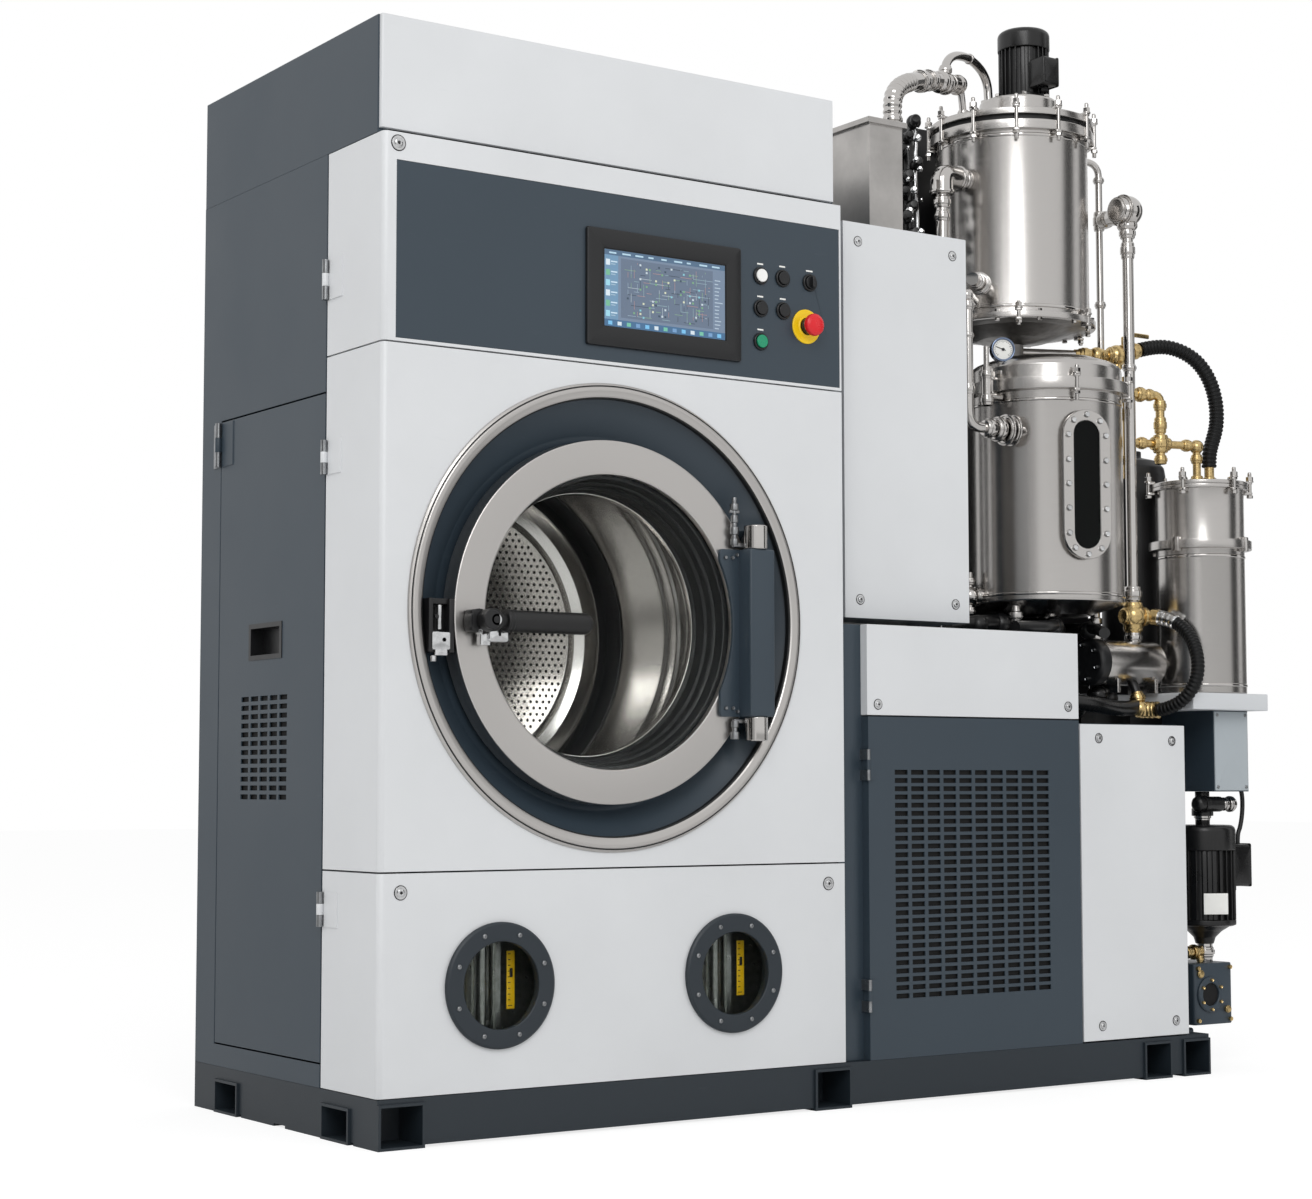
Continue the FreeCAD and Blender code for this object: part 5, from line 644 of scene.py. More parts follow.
# ---------------------------------------------------------------- casing
class LAUNDRY_OT_casing(bpy.types.Operator):
    """Finishes of the casing, with its screws and black sheets of painted shade behind its vents"""
    bl_idname = "laundry.casing"
    bl_label = "Casing"

    def execute(self, context):
        sizes = context.scene.machine_sizes
        edge = sizes.sheet_edge * 1000
        dress("White powder coat", "hood_front", "upper_front_panel", "middle_front_panel",
              "lower_front_panel", "cabinet_covers")
        dress("Slate powder coat", "left_side_panel", "rear_casing", "hood_casing", "control_fascia",
              "side_door", "right_cabinet", "side_cabinet", "grille_door")
        dress("Base powder coat", "base_frame")
        dress("Frame powder coat", "cabinet_frame", "tub_shell")
        dress("Zinc plated steel", "panel_hinges")
        dress("Black ABS", "side_pull")
        dress("Nitrile rubber", "drive_belt")
        dress("Cast iron", "drum_pulley", "motor_pulley")
        dress("Black stove enamel", "drive_motor")
        ease_edges(edge, "left_side_panel", "hood_casing", "hood_front", "upper_front_panel",
                   "middle_front_panel", "lower_front_panel", "cabinet_covers", "control_fascia",
                   "side_door", "right_cabinet", "side_cabinet")
        radius = sizes.screw_head * 500
        screws("Upper_panel_lock", [(28, 0, 1729)], "upper_panel", 13)
        screws("Lower_panel_locks", [(42, 0, 432), (970, 0, 427)], "lower_panel", radius + 2)
        screws("Cover_screws", [(1096, 0, 772), (1604, 0, 776), (1690, 0, 712), (1905, 0, 708),
                                (1690, 0, 118), (1905, 0, 118), (1108, 67, 1702), (1358, 67, 1702),
                                (1108, 67, 982), (1358, 67, 982)], "machine", radius)
        # Painted shade: flat black sheets behind the grille and the side vent stand for the shade inside the
        # casing.
        piece("Grille_painted_shade", [block((1085, 1619), (6, 8), (100, 735), 0.4, axis="Y")], "Dark void",
              "air_grille")
        piece("Vent_painted_shade", [block((5, 7), (340, 575), (575, 802), 0.4, axis="X")], "Dark void",
              "side_hatch")
        return {"FINISHED"}


# ---------------------------------------------------------------- control panel
class LAUNDRY_OT_controls(bpy.types.Operator):
    """Touch screen, buttons, selector and stop button"""
    bl_idname = "laundry.controls"
    bl_label = "Control panel"

    def execute(self, context):
        x, z = (415 + 764) / 2, (1414 + 1632) / 2
        rows = [(3.5, 0.5), (0, -0.2), (0, -3.5), (1.1, -5.9), (3.5, -7), (34.5, -7), (36, -6.4), (36.5, -5)]
        piece("Screen_bezel", [stacked((174.5, 109), 5, rows, (x, 0, z), steps=6)], "Black ABS",
              "upper_panel", "hmi_unit")
        self.screen((x, z), context.scene.machine_colours)
        self.buttons()
        return {"FINISHED"}

    def screen(self, centre, colours):
        """A plain diagram in coloured quads, each a little further out than the last."""
        rng = np.random.default_rng(7)
        w, h = 136.0, 71.0
        back = tuple(colours.screen)
        quads = [(-w, -h, w, h, back)]
        add = lambda u0, v0, u1, v1, code: quads.append((u0, v0, u1, v1, linear(code)))
        add(-w, h - 10, w, h, "#4a637c")
        add(-w, -h, w, -h + 13, "#3f6486")
        add(-w, -h + 13, -w + 30, h - 10, "#6688a4")
        add(-w + 36, -h + 18, w - 28, h - 14, "#5d6b7e")
        for k in range(6):
            v = -h + 18 + 19 * k
            add(-w + 3, v, -w + 12, v + 11, ("#8fc4d4", "#6aa888", "#c8d4dc")[k % 3])
            add(-w + 14, v + 6, -w + 28, v + 8.5, "#b8ccd8")
            add(-w + 14, v + 1.5, -w + 24, v + 3.5, "#8fa8b8")
        for k in range(13):
            u = -w + 8 + 20.5 * k
            add(u, -h + 3, u + 9, -h + 10, ("#6fb0d8", "#c4d0d8", "#6ab098", "#6a90b8")[k % 4])
        for k in range(9):
            u = -w + 10 + 29 * k
            add(u, h - 7, u + rng.uniform(9, 20), h - 4, "#a8c4d4")
        across, up = np.arange(-92, 104, 7.0), np.arange(-48, 54, 6.5)
        for _ in range(150):
            u, v = rng.choice(across), rng.choice(up)
            code = rng.choice(["#86a0a8", "#7c9c80", "#a08080", "#a8b4bc", "#8ca0b0", "#2f3a48"])
            if rng.random() < 0.5:
                add(u, v, u + 7 * rng.integers(1, 4) * (u < 84) + 4, v + 0.9, code)
            else:
                add(u, v, u + 0.9, v + 6.5 * rng.integers(1, 3) * (v < 40) + 3, code)
        for _ in range(60):
            u, v = rng.choice(across) - 2, rng.choice(up) - 2
            add(u, v, u + 4, v + 3.6, rng.choice(["#7cb4c0", "#709c78", "#b8c4cc", "#384858", "#c8ccb0"]))
        for k in range(14):
            add(w - 24, -h + 19 + 7 * k, w - 24 + rng.uniform(8, 19), -h + 21 + 7 * k, "#a4b4c2")
        box_of = np.array([q[:4] for q in quads])
        ink = np.array([q[4] for q in quads], np.float32)
        level = -5.02 - 0.02 * np.arange(len(quads))[:, None] ** 0.5
        u = np.stack([box_of[:, 0], box_of[:, 2], box_of[:, 2], box_of[:, 0]], 1) + centre[0]
        v = np.stack([box_of[:, 1], box_of[:, 1], box_of[:, 3], box_of[:, 3]], 1) + centre[1]
        points = np.stack([u, level + 0 * u, v], -1).reshape(-1, 3)
        mesh = bpy.data.meshes.new("Screen_display")
        mesh.from_pydata(metres(points).tolist(), [], np.arange(len(points)).reshape(-1, 4).tolist())
        layer = mesh.color_attributes.new("Ink", "FLOAT_COLOR", "CORNER")
        layer.data.foreach_set("color", np.repeat(ink, 4, 0).ravel())
        shown("Screen_display", mesh, "Lit screen", "upper_panel")

    def buttons(self):
        rims, labels = [], []
        rim = [(13, 0.4), (17, 0.4), (17, -2.4), (15.6, -4.5), (13, -4.5)]
        side = [(12.5, -4.2), (12.5, -7.2), (11.6, -8)]
        for name, x, z, cap in (("white_button", 813, 1586, "White ABS"),
                                ("black_button_a", 866, 1587, "Black ABS"),
                                ("black_button_b", 813, 1523, "Black ABS"),
                                ("black_button_c", 867, 1524, "Black ABS"),
                                ("green_button", 813, 1459, "Green ABS")):
            rims.append(turned(rim, (x, 0, z), "Y", 48))
            rows = [*side, (6, -7.6)]
            piece(name.capitalize() + "_cap", [stack_of((x, 0, z), "Y", rows, 48)], cap, name + "_cap", name)
            labels.append(block((x - 7, x + 7), (0.1, 0.45), (z + 21.5, z + 24.5), 0.1, axis="Y"))
        x, z = 932, 1586
        rims.append(turned(rim, (x, 0, z), "Y", 48))
        grip = stacked((3, 11.5), 2.8, [(0.6, -7.5), (0, -8), (0, -15.6), (1.4, -17)], (x, 0, z))
        knob = stack_of((x, 0, z), "Y", side, 48)
        piece("Selector_knob", [knob, grip], "Black ABS", "selector", "selector_switch")
        labels.append(block((x - 8, x + 8), (0.1, 0.45), (z + 21.5, z + 24.5), 0.1, axis="Y"))
        piece("Button_rims", rims, "Black ABS", "upper_panel")
        piece("Button_name_strips", labels, "Dial enamel", "upper_panel")
        x, z = 923, 1499
        plate = turned([(16.6, 0.45), (33.5, 0.45), (33.5, -1.6), (32.5, -2.5), (20, -2.5), (18.4, -4.6),
                        (16.6, -4.6)], (x, 0, z), "Y", 72, 0.5)
        piece("Stop_plate", [plate], "Yellow ABS", "upper_panel", "panel_fittings")
        neck = stack_of((x, 0, z), "Y", [(15.9, -5.3), (15.9, -12), (13, -14), (12.5, -19.6)], 48)
        piece("Stop_neck", [neck], "Black ABS", "stop")
        head = [(13, -19.4), (18.5, -19.4), (21.5, -22), (21.5, -28.5), (20, -31.5), (14, -34.8), (5, -36.3)]
        piece("Stop_head", [stack_of((x, 0, z), "Y", head, 64, 1.6)], "Red ABS", "stop", "stop_button")


# ---------------------------------------------------------------- loading door
def ringed(rows, steps=160):
    """Circles of their own centre, radius and depth joined in turn: each row is (x, z, r, y)."""
    rows = np.asarray(rows, float)
    angle = np.radians(np.linspace(0, 360, steps + 1))
    x, z, r, y = (rows[:, k:k + 1] for k in range(4))
    points = np.stack([x + r * np.cos(angle), y + 0 * r * angle, z + r * np.sin(angle)], -1)
    run = lengths_along(np.stack([r[:, 0], y[:, 0]], 1))[:, None]
    return points, np.stack([angle * r.max() + 0 * r, run + 0 * angle], -1) / 1000


def shelled(left, right, level, y, soft=1.5):
    """A bar whose section at each level runs from left to right and from y[0] to y[1]. The
    section's corners are rounded, and its ends close on their middles."""
    rings = []
    for a, b, z in zip(left, right, level):
        ring = softened([(a, y[0]), (b, y[0]), (b, y[1]), (a, y[1])], soft)
        rings.append(np.column_stack([ring, np.full(len(ring), z)]))
    rings = np.array(rings)
    rings = np.concatenate([rings, rings[:, :1]], 1)
    ends = rings[[0, -1]].mean(1, keepdims=True) + 0 * rings[[0, -1]]
    points = np.concatenate([ends[:1], rings, ends[1:]])
    return points, points[..., [0, 2]] / 1000


class LAUNDRY_OT_loading_door(bpy.types.Operator):
    """Door ring, glass, seals, hinge block, handle, keeper, dish and trim ring"""
    bl_idname = "laundry.loading_door"
    bl_label = "Loading door"

    def execute(self, context):
        turns = context.scene.machine_sizes.turns + 32
        rows = [(268, 3), (268.9, 0.9), (271, 0), (329, 0), (331.1, 0.9), (332, 3), (332, 40), (328, 40),
                (328, 4), (272, 4), (272, 12), (268, 12)]
        piece("Door_ring", [turned(rows, DOOR, "Y", turns, 0.4)], "Ring steel", "loading_door", "door_ring")
        piece("Door_window", [turned([(0, 12.2), (299.8, 12.2), (299.8, 19.8), (0, 19.8)], DOOR, "Y", turns,
                                     0.6, False)], "Door glass", "loading_door", "door_glass")
        lip = [(262, 20.1), (327.6, 20.1), (327.6, 39.9), (256, 39.9)]
        piece("Door_seal_lip", [turned(lip, DOOR, "Y", turns, 2)], "Nitrile rubber", "loading_door",
              "door_seal")
        cone = [(256, 40.4), (267.7, 40.4), (299.6, 56.3), (299.6, 96), (241.5, 96), (247, 90), (247, 66),
                (252, 60), (252, 46)]
        piece("Tub_mouth_gasket", [turned(cone, DOOR, "Y", turns, 2)], "Nitrile rubber",
              stands_for="door_gasket")
        crest = [(400, 3), (400, -4.5), (403, -6.6), (411, -8.8), (413.5, -9), (418, -8.4), (420.5, -6.2),
                 (422, -5.8), (426, -3), (427, -0.1), (404.6, -0.1), (404.6, 3)]
        piece("Trim_ring", [turned(crest, TRIM, "Y", turns, 0.8)], "Ring steel", "middle_panel",
              "door_trim_ring")
        seal = [turned([(397.6, 8), (397.6, -2), (400.2, -4.6), (400.2, 8)], TRIM, "Y", turns, 0.3),
                turned([(419.4, -6.4), (420.2, -7.6), (421.7, -7), (422.3, -5.2)], TRIM, "Y", turns, 0.2)]
        piece("Trim_seals", seal, "Nitrile rubber", "middle_panel")
        self.dish(turns)
        self.hinge()
        self.handle()
        self.keeper()
        return {"FINISHED"}

    def dish(self, turns):
        """Rows of the dish's wall are (x, z, radius, y)."""
        front = [(478, 920, 412, 8), (477.8, 919, 409, 12), (476.4, 912.6, 352, 45), (476, 911, 345, 50),
                 (476, 911, 341, 52), (476, 911, 303, 52), (476, 911, 300, 53.5), (476, 911, 300, 109)]
        back = [(476, 911, 303, 109), (476, 911, 303, 56), (476, 911, 345, 55), (477.9, 919.6, 412, 11.5)]
        rows = np.array(front + back + front[:1], float)
        piece("Door_recess_dish", [ringed(rows, turns)], "Slate powder coat", stands_for="tub_front")

    def hinge(self):
        """The block's left edge follows the ring's opening and has rounded ends."""
        foot, head, opening = 742.0, 1056.0, 265.0
        z = np.concatenate([[foot, foot + 0.6, foot + 2], np.linspace(foot + 8, head - 8, 40),
                            [head - 2, head - 0.6, head]])
        curve = np.maximum(711, DOOR[0] + np.sqrt(opening ** 2 - (z - DOOR[2]) ** 2))
        near = np.minimum(z - foot, head - z)
        curve = curve + np.where(near < 6, 6 - np.sqrt(np.maximum(36 - (6 - near) ** 2, 0)), 0)
        flange = shelled(curve, np.full(len(z), 762.0), z, (-7.9, -0.1), 1.0)
        column = block((754, 811), (-45, -0.2), (foot, head), 3.0, 4.0)
        bolts = []
        for x, zz in ((722, 1040), (722, 758), (738, 1040), (738, 758), (748, 1046), (748, 752)):
            bolts.append(hexagon((x, 0, zz), "Y", 3.4, -7.6, -11, 15))
        piece("Hinge_block", [flange, column], "Slate powder coat", "loading_door", "door_hardware")
        piece("Hinge_block_bolts", bolts, "Zinc plated steel", "loading_door")
        caps = []
        for low, high in ((foot - 45.3, foot - 0.3), (head + 0.3, head + 45.3)):
            rows = [(20.5, low), (22, low + 1.5), (22, high - 1.5), (20.5, high)]
            caps.append(upright((779, -27), rows, 48))
            middle = (low + high) / 2
            caps.append(block((777, 799), (-27, 44), (middle - 17, middle + 17), 2.0, axis="Y"))
        piece("Hinge_pin_caps", caps, "Polished steel", stands_for="door_mountings")
        nipples = []
        for base, way in ((1064, 1), (734, -1)):
            for low, high, r in ((0, 12, 7.5), (12, 20, 5), (20, 34, 8.5), (34, 42, 5), (42, 56, 7),
                                 (56, 66, 4), (66, 78, 8), (78, 90, 4.5)):
                if way < 0 and high > 36:
                    break
                a, b = sorted((base + way * low, base + way * high))
                nipples.append(upright((742, -10), [(r, a), (r, b)], 20, 1.0))
            a, b = sorted((base - way * 4, base + way * 4))
            nipples.append(block((738, 782), (-15, -6), (a, b), 1.5, axis="Z"))
        nipples.append(block((731, 753), (-13, -7), (1124, 1130), 1.5, axis="X"))
        piece("Grease_fittings", nipples, "Zinc plated steel")

    def handle(self):
        level = 901.0
        bar = [(19.5, 222), (19.5, 384), (18.2, 392), (14, 399), (6, 402)]
        collar = [(12.6, 206), (13.3, 208), (13.3, 214), (12.8, 216), (12.8, 222)]
        bar_piece = turned([(0, 222), *bar, (0, 402)], (0, -40, level), "X", 48, 2.5, False)
        neck = stack_of((0, -40, level), "X", collar, 40, 0.8)
        eye = stack_of((194, 0, level), "Y", [(18.8, -53.6), (20, -52.4), (20, -27.6), (18.8, -26.4)], 48)
        grooves = [turned([(19.6, a), (20.4, a + 1), (20.4, a + 3), (19.6, a + 4)], (0, -40, level), "X",
                          48, 0.4) for a in (224, 231)]
        piece("Handle_bar", [bar_piece, neck, eye, *grooves], "Black grip", "door_lever", "door_handle")
        mount = [stacked((19, 21), 19, [(2, -0.1), (0, -2), (0, -24.6), (1.4, -26)], (181, 0, level)),
                 block((165, 190), (-26.2, -0.2), (level - 19, level + 19), 3.0, axis="Y"),
                 stacked((16, 17), 15, [(0, -54.2), (0, -60.6), (1.4, -62)], (186, 0, level))]
        piece("Handle_mount", mount, "Black powder coat", "loading_door")
        bolt = [washer((194, 0, level), "Y", 10, -61.8, -62), dome_screw((194, 0, level), "Y", 7, -58, -62)]
        bolt += [hexagon((181, 0, level - 20), "Y", 5, -20, -27, 20)]
        piece("Handle_pivot_bolt", bolt, "Chrome plated steel", "loading_door")
        latch = [block((198, 238), (-30, -10), (864, 896), 3.0, 6.0, axis="Y"),
                 block((184, 204), (-24, -8), (858, 880), 2.0, axis="Y"),
                 block((206, 230), (-10.4, -0.1), (870, 890), 1)]
        piece("Latch_tongue", latch, "Chrome plated steel", "loading_door")
        # Painted shade: a thin black plate on the tongue stands for the shade in its slot.
        slit = stacked((2.6, 6.5), 2.4, [(0, -29.6), (0, -30.3)], (219, 0, level - 20))
        piece("Latch_slot_shade", [slit], "Dark void", "loading_door")

    def keeper(self):
        plates = [block((88, 96), (-12, 34), (844, 938), 1.5, axis="Z"),
                  block((128, 138), (-12, 34), (844, 938), 1.5, axis="Z"),
                  block((90, 136), (-6, 34), (844, 854), 1.5, axis="X"),
                  block((90, 136), (-6, 34), (928, 938), 1.5, axis="X"),
                  block((90, 136), (8, 14), (850, 932), 1.0, axis="Z")]
        piece("Keeper_frame", plates, "Black powder coat")
        catch = [block((90, 134), (-12, 0), (848, 880), 3.0, 6.0, axis="Y"),
                 block((100, 126), (-11.8, 4), (838, 852), 3.0, axis="Y"),
                 upright((112, -4), [(5, 884), (5, 926)], 20), upright((100, -4), [(6, 828), (6, 838)], 20)]
        piece("Keeper_catch", catch, "Chrome plated steel")
        dots = [hexagon((118, 0, 866), "Y", 4, -11, -12, 10),
                stack_of((104, 0, 906), "Y", [(4, -6), (4, -11)], 16)]
        piece("Keeper_pins", dots, "Black powder coat")


# ---------------------------------------------------------------- drum
def sieve(centre, y, reach, solid_from, pitch, hole, depth):
    """Hexagonal cells, each with a round hole. A cell is two rings of points, the hexagon's
    outline and the hole's circle, and a third ring `depth` behind makes the hole's wall."""
    count = int(reach / pitch) + 2
    i, j = np.meshgrid(np.arange(-count, count + 1), np.arange(-count, count + 1))
    at = np.stack([(i + 0.5 * (j % 2)) * pitch, j * pitch * math.sqrt(3) / 2], -1).reshape(-1, 2)
    far = np.linalg.norm(at, axis=1)
    at, far = at[far < reach], far[far < reach]
    a = np.radians(30 * np.arange(12) + 30)
    rim = pitch / math.sqrt(3) * np.where(np.arange(12) % 2 == 0, 1, math.cos(math.pi / 6))
    outer = np.stack([rim * np.cos(a), rim * np.sin(a)], 1)
    inner = np.stack([np.cos(a), np.sin(a)], 1) * hole / 2
    inner = np.where(far[:, None, None] > solid_from, 0.0, inner)
    flat = np.concatenate([at[:, None] + outer, at[:, None] + inner, at[:, None] + inner], 1)
    level = np.repeat([y, y, y + depth], 12) + np.zeros((len(at), 1))
    points = np.stack([flat[..., 0] + centre[0], level, flat[..., 1] + centre[2]], -1)
    k, n = np.arange(12), np.roll(np.arange(12), -1)
    quads = np.concatenate([np.stack([k, n, n + 12, k + 12], 1),
                            np.stack([k + 12, n + 12, n + 24, k + 24], 1)])
    faces = (quads[None] + 36 * np.arange(len(at))[:, None, None]).reshape(-1, 4)
    return points.reshape(-1, 3), faces


class LAUNDRY_OT_drum(bpy.types.Operator):
    """Drum shell with its beads and the sieve at its back, with a black disc behind the sieve and a black
    band behind its rim, both painted shade
    """
    bl_idname = "laundry.drum"
    bl_label = "Drum"

    def execute(self, context):
        sizes = context.scene.machine_sizes
        turns = sizes.turns + 32
        outside = [(0, 547.9), (329.8, 547.9), (329.8, 112.2), (244, 112.2), (244, 97.6), (241, 97.6)]
        inside = [(241, 115), (327, 115)]
        for middle in (268, 310):
            inside += [(327, middle - 9), (321.5, middle - 3), (321.5, middle + 3), (327, middle + 9)]
        inside += [(327, 462), (327, 543), (306, 543), (303.5, 512), (300.5, 506), (297, 512), (284, 532),
                   (266, 542), (252, 543.6), (252, 546), (0, 546)]
        shell = turned(outside + inside, DOOR, "Y", turns, 1.2, False)
        piece("Drum_shell", [shell], "Drum steel", "drum_unit", "drum", sharp=50)
        points, faces = sieve(DOOR, 543.9, 258, 247, sizes.sieve_pitch * 1000, sizes.sieve_hole * 1000, 1.2)
        mesh = bpy.data.meshes.new("Drum_sieve")
        mesh.from_pydata(metres(points).tolist(), [], faces.tolist())
        closed_up(mesh, points[faces][..., [0, 2]] / 1000, front_only=True)
        shown("Drum_sieve", mesh, "Drum steel", "drum_unit")
        # Painted shade: a black disc just behind the sieve makes its holes dark.
        piece("Drum_sieve_painted_shade", [disc(DOOR, "Y", 251.5, 545.2, 545.9, 0.1, turns)], "Dark void",
              "drum_unit")
        # Painted shade: black rubber laid over the drum's rear wall stands for the shade in its back corner.
        band = [(323, 464), (326.8, 463), (326.8, 542.5), (306.4, 542.5), (306.6, 536), (317, 528),
                (322.5, 512)]
        piece("Drum_rear_painted_shade", [turned(band, DOOR, "Y", turns, 2)], "Nitrile rubber", "drum_unit")
        return {"FINISHED"}


# ---------------------------------------------------------------- portholes and gauges
class LAUNDRY_OT_portholes(bpy.types.Operator):
    """Two round windows in the lower panel and the level gauges behind them"""
    bl_idname = "laundry.portholes"
    bl_label = "Portholes"

    def execute(self, context):
        rims, panes, bolts, tubes, cocks, marks, scales = [], [], [], [], [], [], []
        dress("Zinc plated steel", "solvent_tank")
        middle = 267
        for x in (239, 744):
            at = (x, 0, middle)
            rims.append(turned([(76, 3), (76, -7.4), (77.6, -9), (106, -9), (110, -6), (110, -0.1),
                                (90, -0.1), (90, 24), (84.4, 24), (84.4, 3)], at, "Y", 112, 0.8))
            panes.append(turned([(0, 3.2), (83.8, 3.2), (83.8, 8.8), (0, 8.8)], at, "Y", 96, 0.4, False))
            for px, pz, _ in ring_of(8, 93, (x, middle), 22.5):
                bolts.append(dome_screw((px, 0, pz), "Y", 4.6, -8.8, -11.6))
            for k, dx in enumerate((-32, -8, 14)):
                r = (9, 9, 6)[k]
                tubes.append(upright((x + dx, 50), [(r, 186), (r, 348)], 28))
                for z in (172, 362):
                    cocks.append(block((x + dx - 12, x + dx + 12), (38, 74.9), (z - 9, z + 9), 2.5))
                    cocks.append(hexagon((x + dx, 50, 0), "Z", r + 2.5,
                                         *((z + 9, z + 15) if z < 200 else (z - 15, z - 9))))
            scales.append(block((x + 42, x + 58), (46, 49), (221, 322), 0.8, axis="Y"))
            for k in range(10):
                wide = 9 if k % 5 == 0 else 5
                marks.append(block((x + 44, x + 44 + wide), (45.7, 46), (226 + 10 * k, 227.6 + 10 * k), 0.1,
                                   axis="Y"))
            marks.append(block((x + 47, x + 53), (44, 46), (276, 292), 1, axis="Y"))
            scales.append(block((x - 52, x - 49), (44, 47), (196, 338), 0.6, axis="Y"))
        piece("Porthole_rims", rims, "Base powder coat", "lower_panel", "porthole_windows")
        piece("Porthole_panes", panes, "Gauge glass", "lower_panel")
        piece("Porthole_screws", bolts, "Zinc plated steel", "lower_panel")
        piece("Gauge_tubes", tubes, "Tube glass")
        piece("Gauge_cocks", cocks, "Zinc plated steel")
        piece("Gauge_scales", scales, "Yellow enamel scale")
        piece("Gauge_marks", marks, "Black ABS")
        return {"FINISHED"}


# ---------------------------------------------------------------- tanks
def clamp(x, y, bolt, grip, angle):
    """A hinged swing bolt over two flanges: the bolt, its nuts, a washer and two claws."""
    at = (x, y, 0)
    turn = math.radians(angle)
    inward = -np.array((math.cos(turn), math.sin(turn), 0))
    low, top = grip
    parts = [upright(at, [(4.4, bolt[0]), (4.4, bolt[1] - 3), (3.4, bolt[1])], 14, 0.5),
             hexagon(at, "Z", 8.2, top + 7, top + 17, angle), upright(at, [(9, top + 4), (9, top + 7)], 20),
             hexagon(at, "Z", 7.2, low - 14, low - 7, angle)]
    for level in (top + 2.2, low - 3.6):
        mid = np.array((x, y, level)) + inward * 4
        claw = block((mid[0] - 11, mid[0] + 9), (mid[1] - 8, mid[1] + 8), (level - 3.4, level + 3.4), 2, 4)
        parts.append(tilted(claw, mid, angle))
    return parts


def motor(centre, radius, low, high, cowl, fins, terminal, pad=-125):
    """A fan-cooled motor standing on its flange: end shield, barrel, fins with a smooth pad
    between them, cowl and terminal box."""
    x, y = centre
    at = (x, y, 0)
    shield, core = low + 14, radius - 7
    parts = [upright(at, [(radius * 0.9, low), (radius, low + 3), (radius, shield), (core, shield),
                          (core, cowl)], 56, 1.2)]
    for px, py, angle in ring_of(fins, core + 2.5, centre):
        if abs((angle - pad + 180) % 360 - 180) > 17:
            fin = block((px - 4.5, px + 4.5), (py - 1.4, py + 1.4), (shield, cowl), 0.6, 1.2)
            parts.append(tilted(fin, (px, py, 0), angle))
    for turn in (-10, 0, 10):
        face = block((x + core - 6, x + core + 4), (y - 6, y + 6), (shield, cowl), 2, 3)
        parts.append(tilted(face, at, pad + turn))
    edge = radius + 1.8
    parts.append(upright(at, [(edge, cowl), (edge, high - 12), (edge - 2, high - 6), (edge - 8, high - 1),
                              (edge - 14, high)], 56, 2.0))
    # Painted shade: thin black plates on the cowl's top stand for the shade in its vent slots.
    slot = block((x + 14, x + 38), (y - 1.6, y + 1.6), (high - 1.2, high - 0.1), 0.3)
    slots = [tilted(slot, at, a) for a in range(0, 360, 20)]
    tx, ty, tz = terminal
    parts.append(block(tx, ty, tz, 3, 5, axis="X"))
    side = 1 if tx[1] > x else -1
    face = tx[1] if side > 0 else tx[0]
    lid = sorted((face - side * 6, face - side * 3))
    parts.append(block(lid, (ty[0] - 1.5, ty[1] + 1.5), (tz[0] - 1.5, tz[1] + 1.5), 0.8, 4, axis="X"))
    parts.append(block((tx[0] + 4, tx[1] - 4), (ty[0] - 2, ty[0] + 1), (tz[0] + 5, tz[1] - 5), 0.8, 3,
                       axis="Y"))
    gland = (ty[0] + ty[1]) / 2
    parts.append(hexagon(((tx[0] + tx[1]) / 2, gland, 0), "Z", 9, tz[0] - 10, tz[0], 0))
    return parts, slots


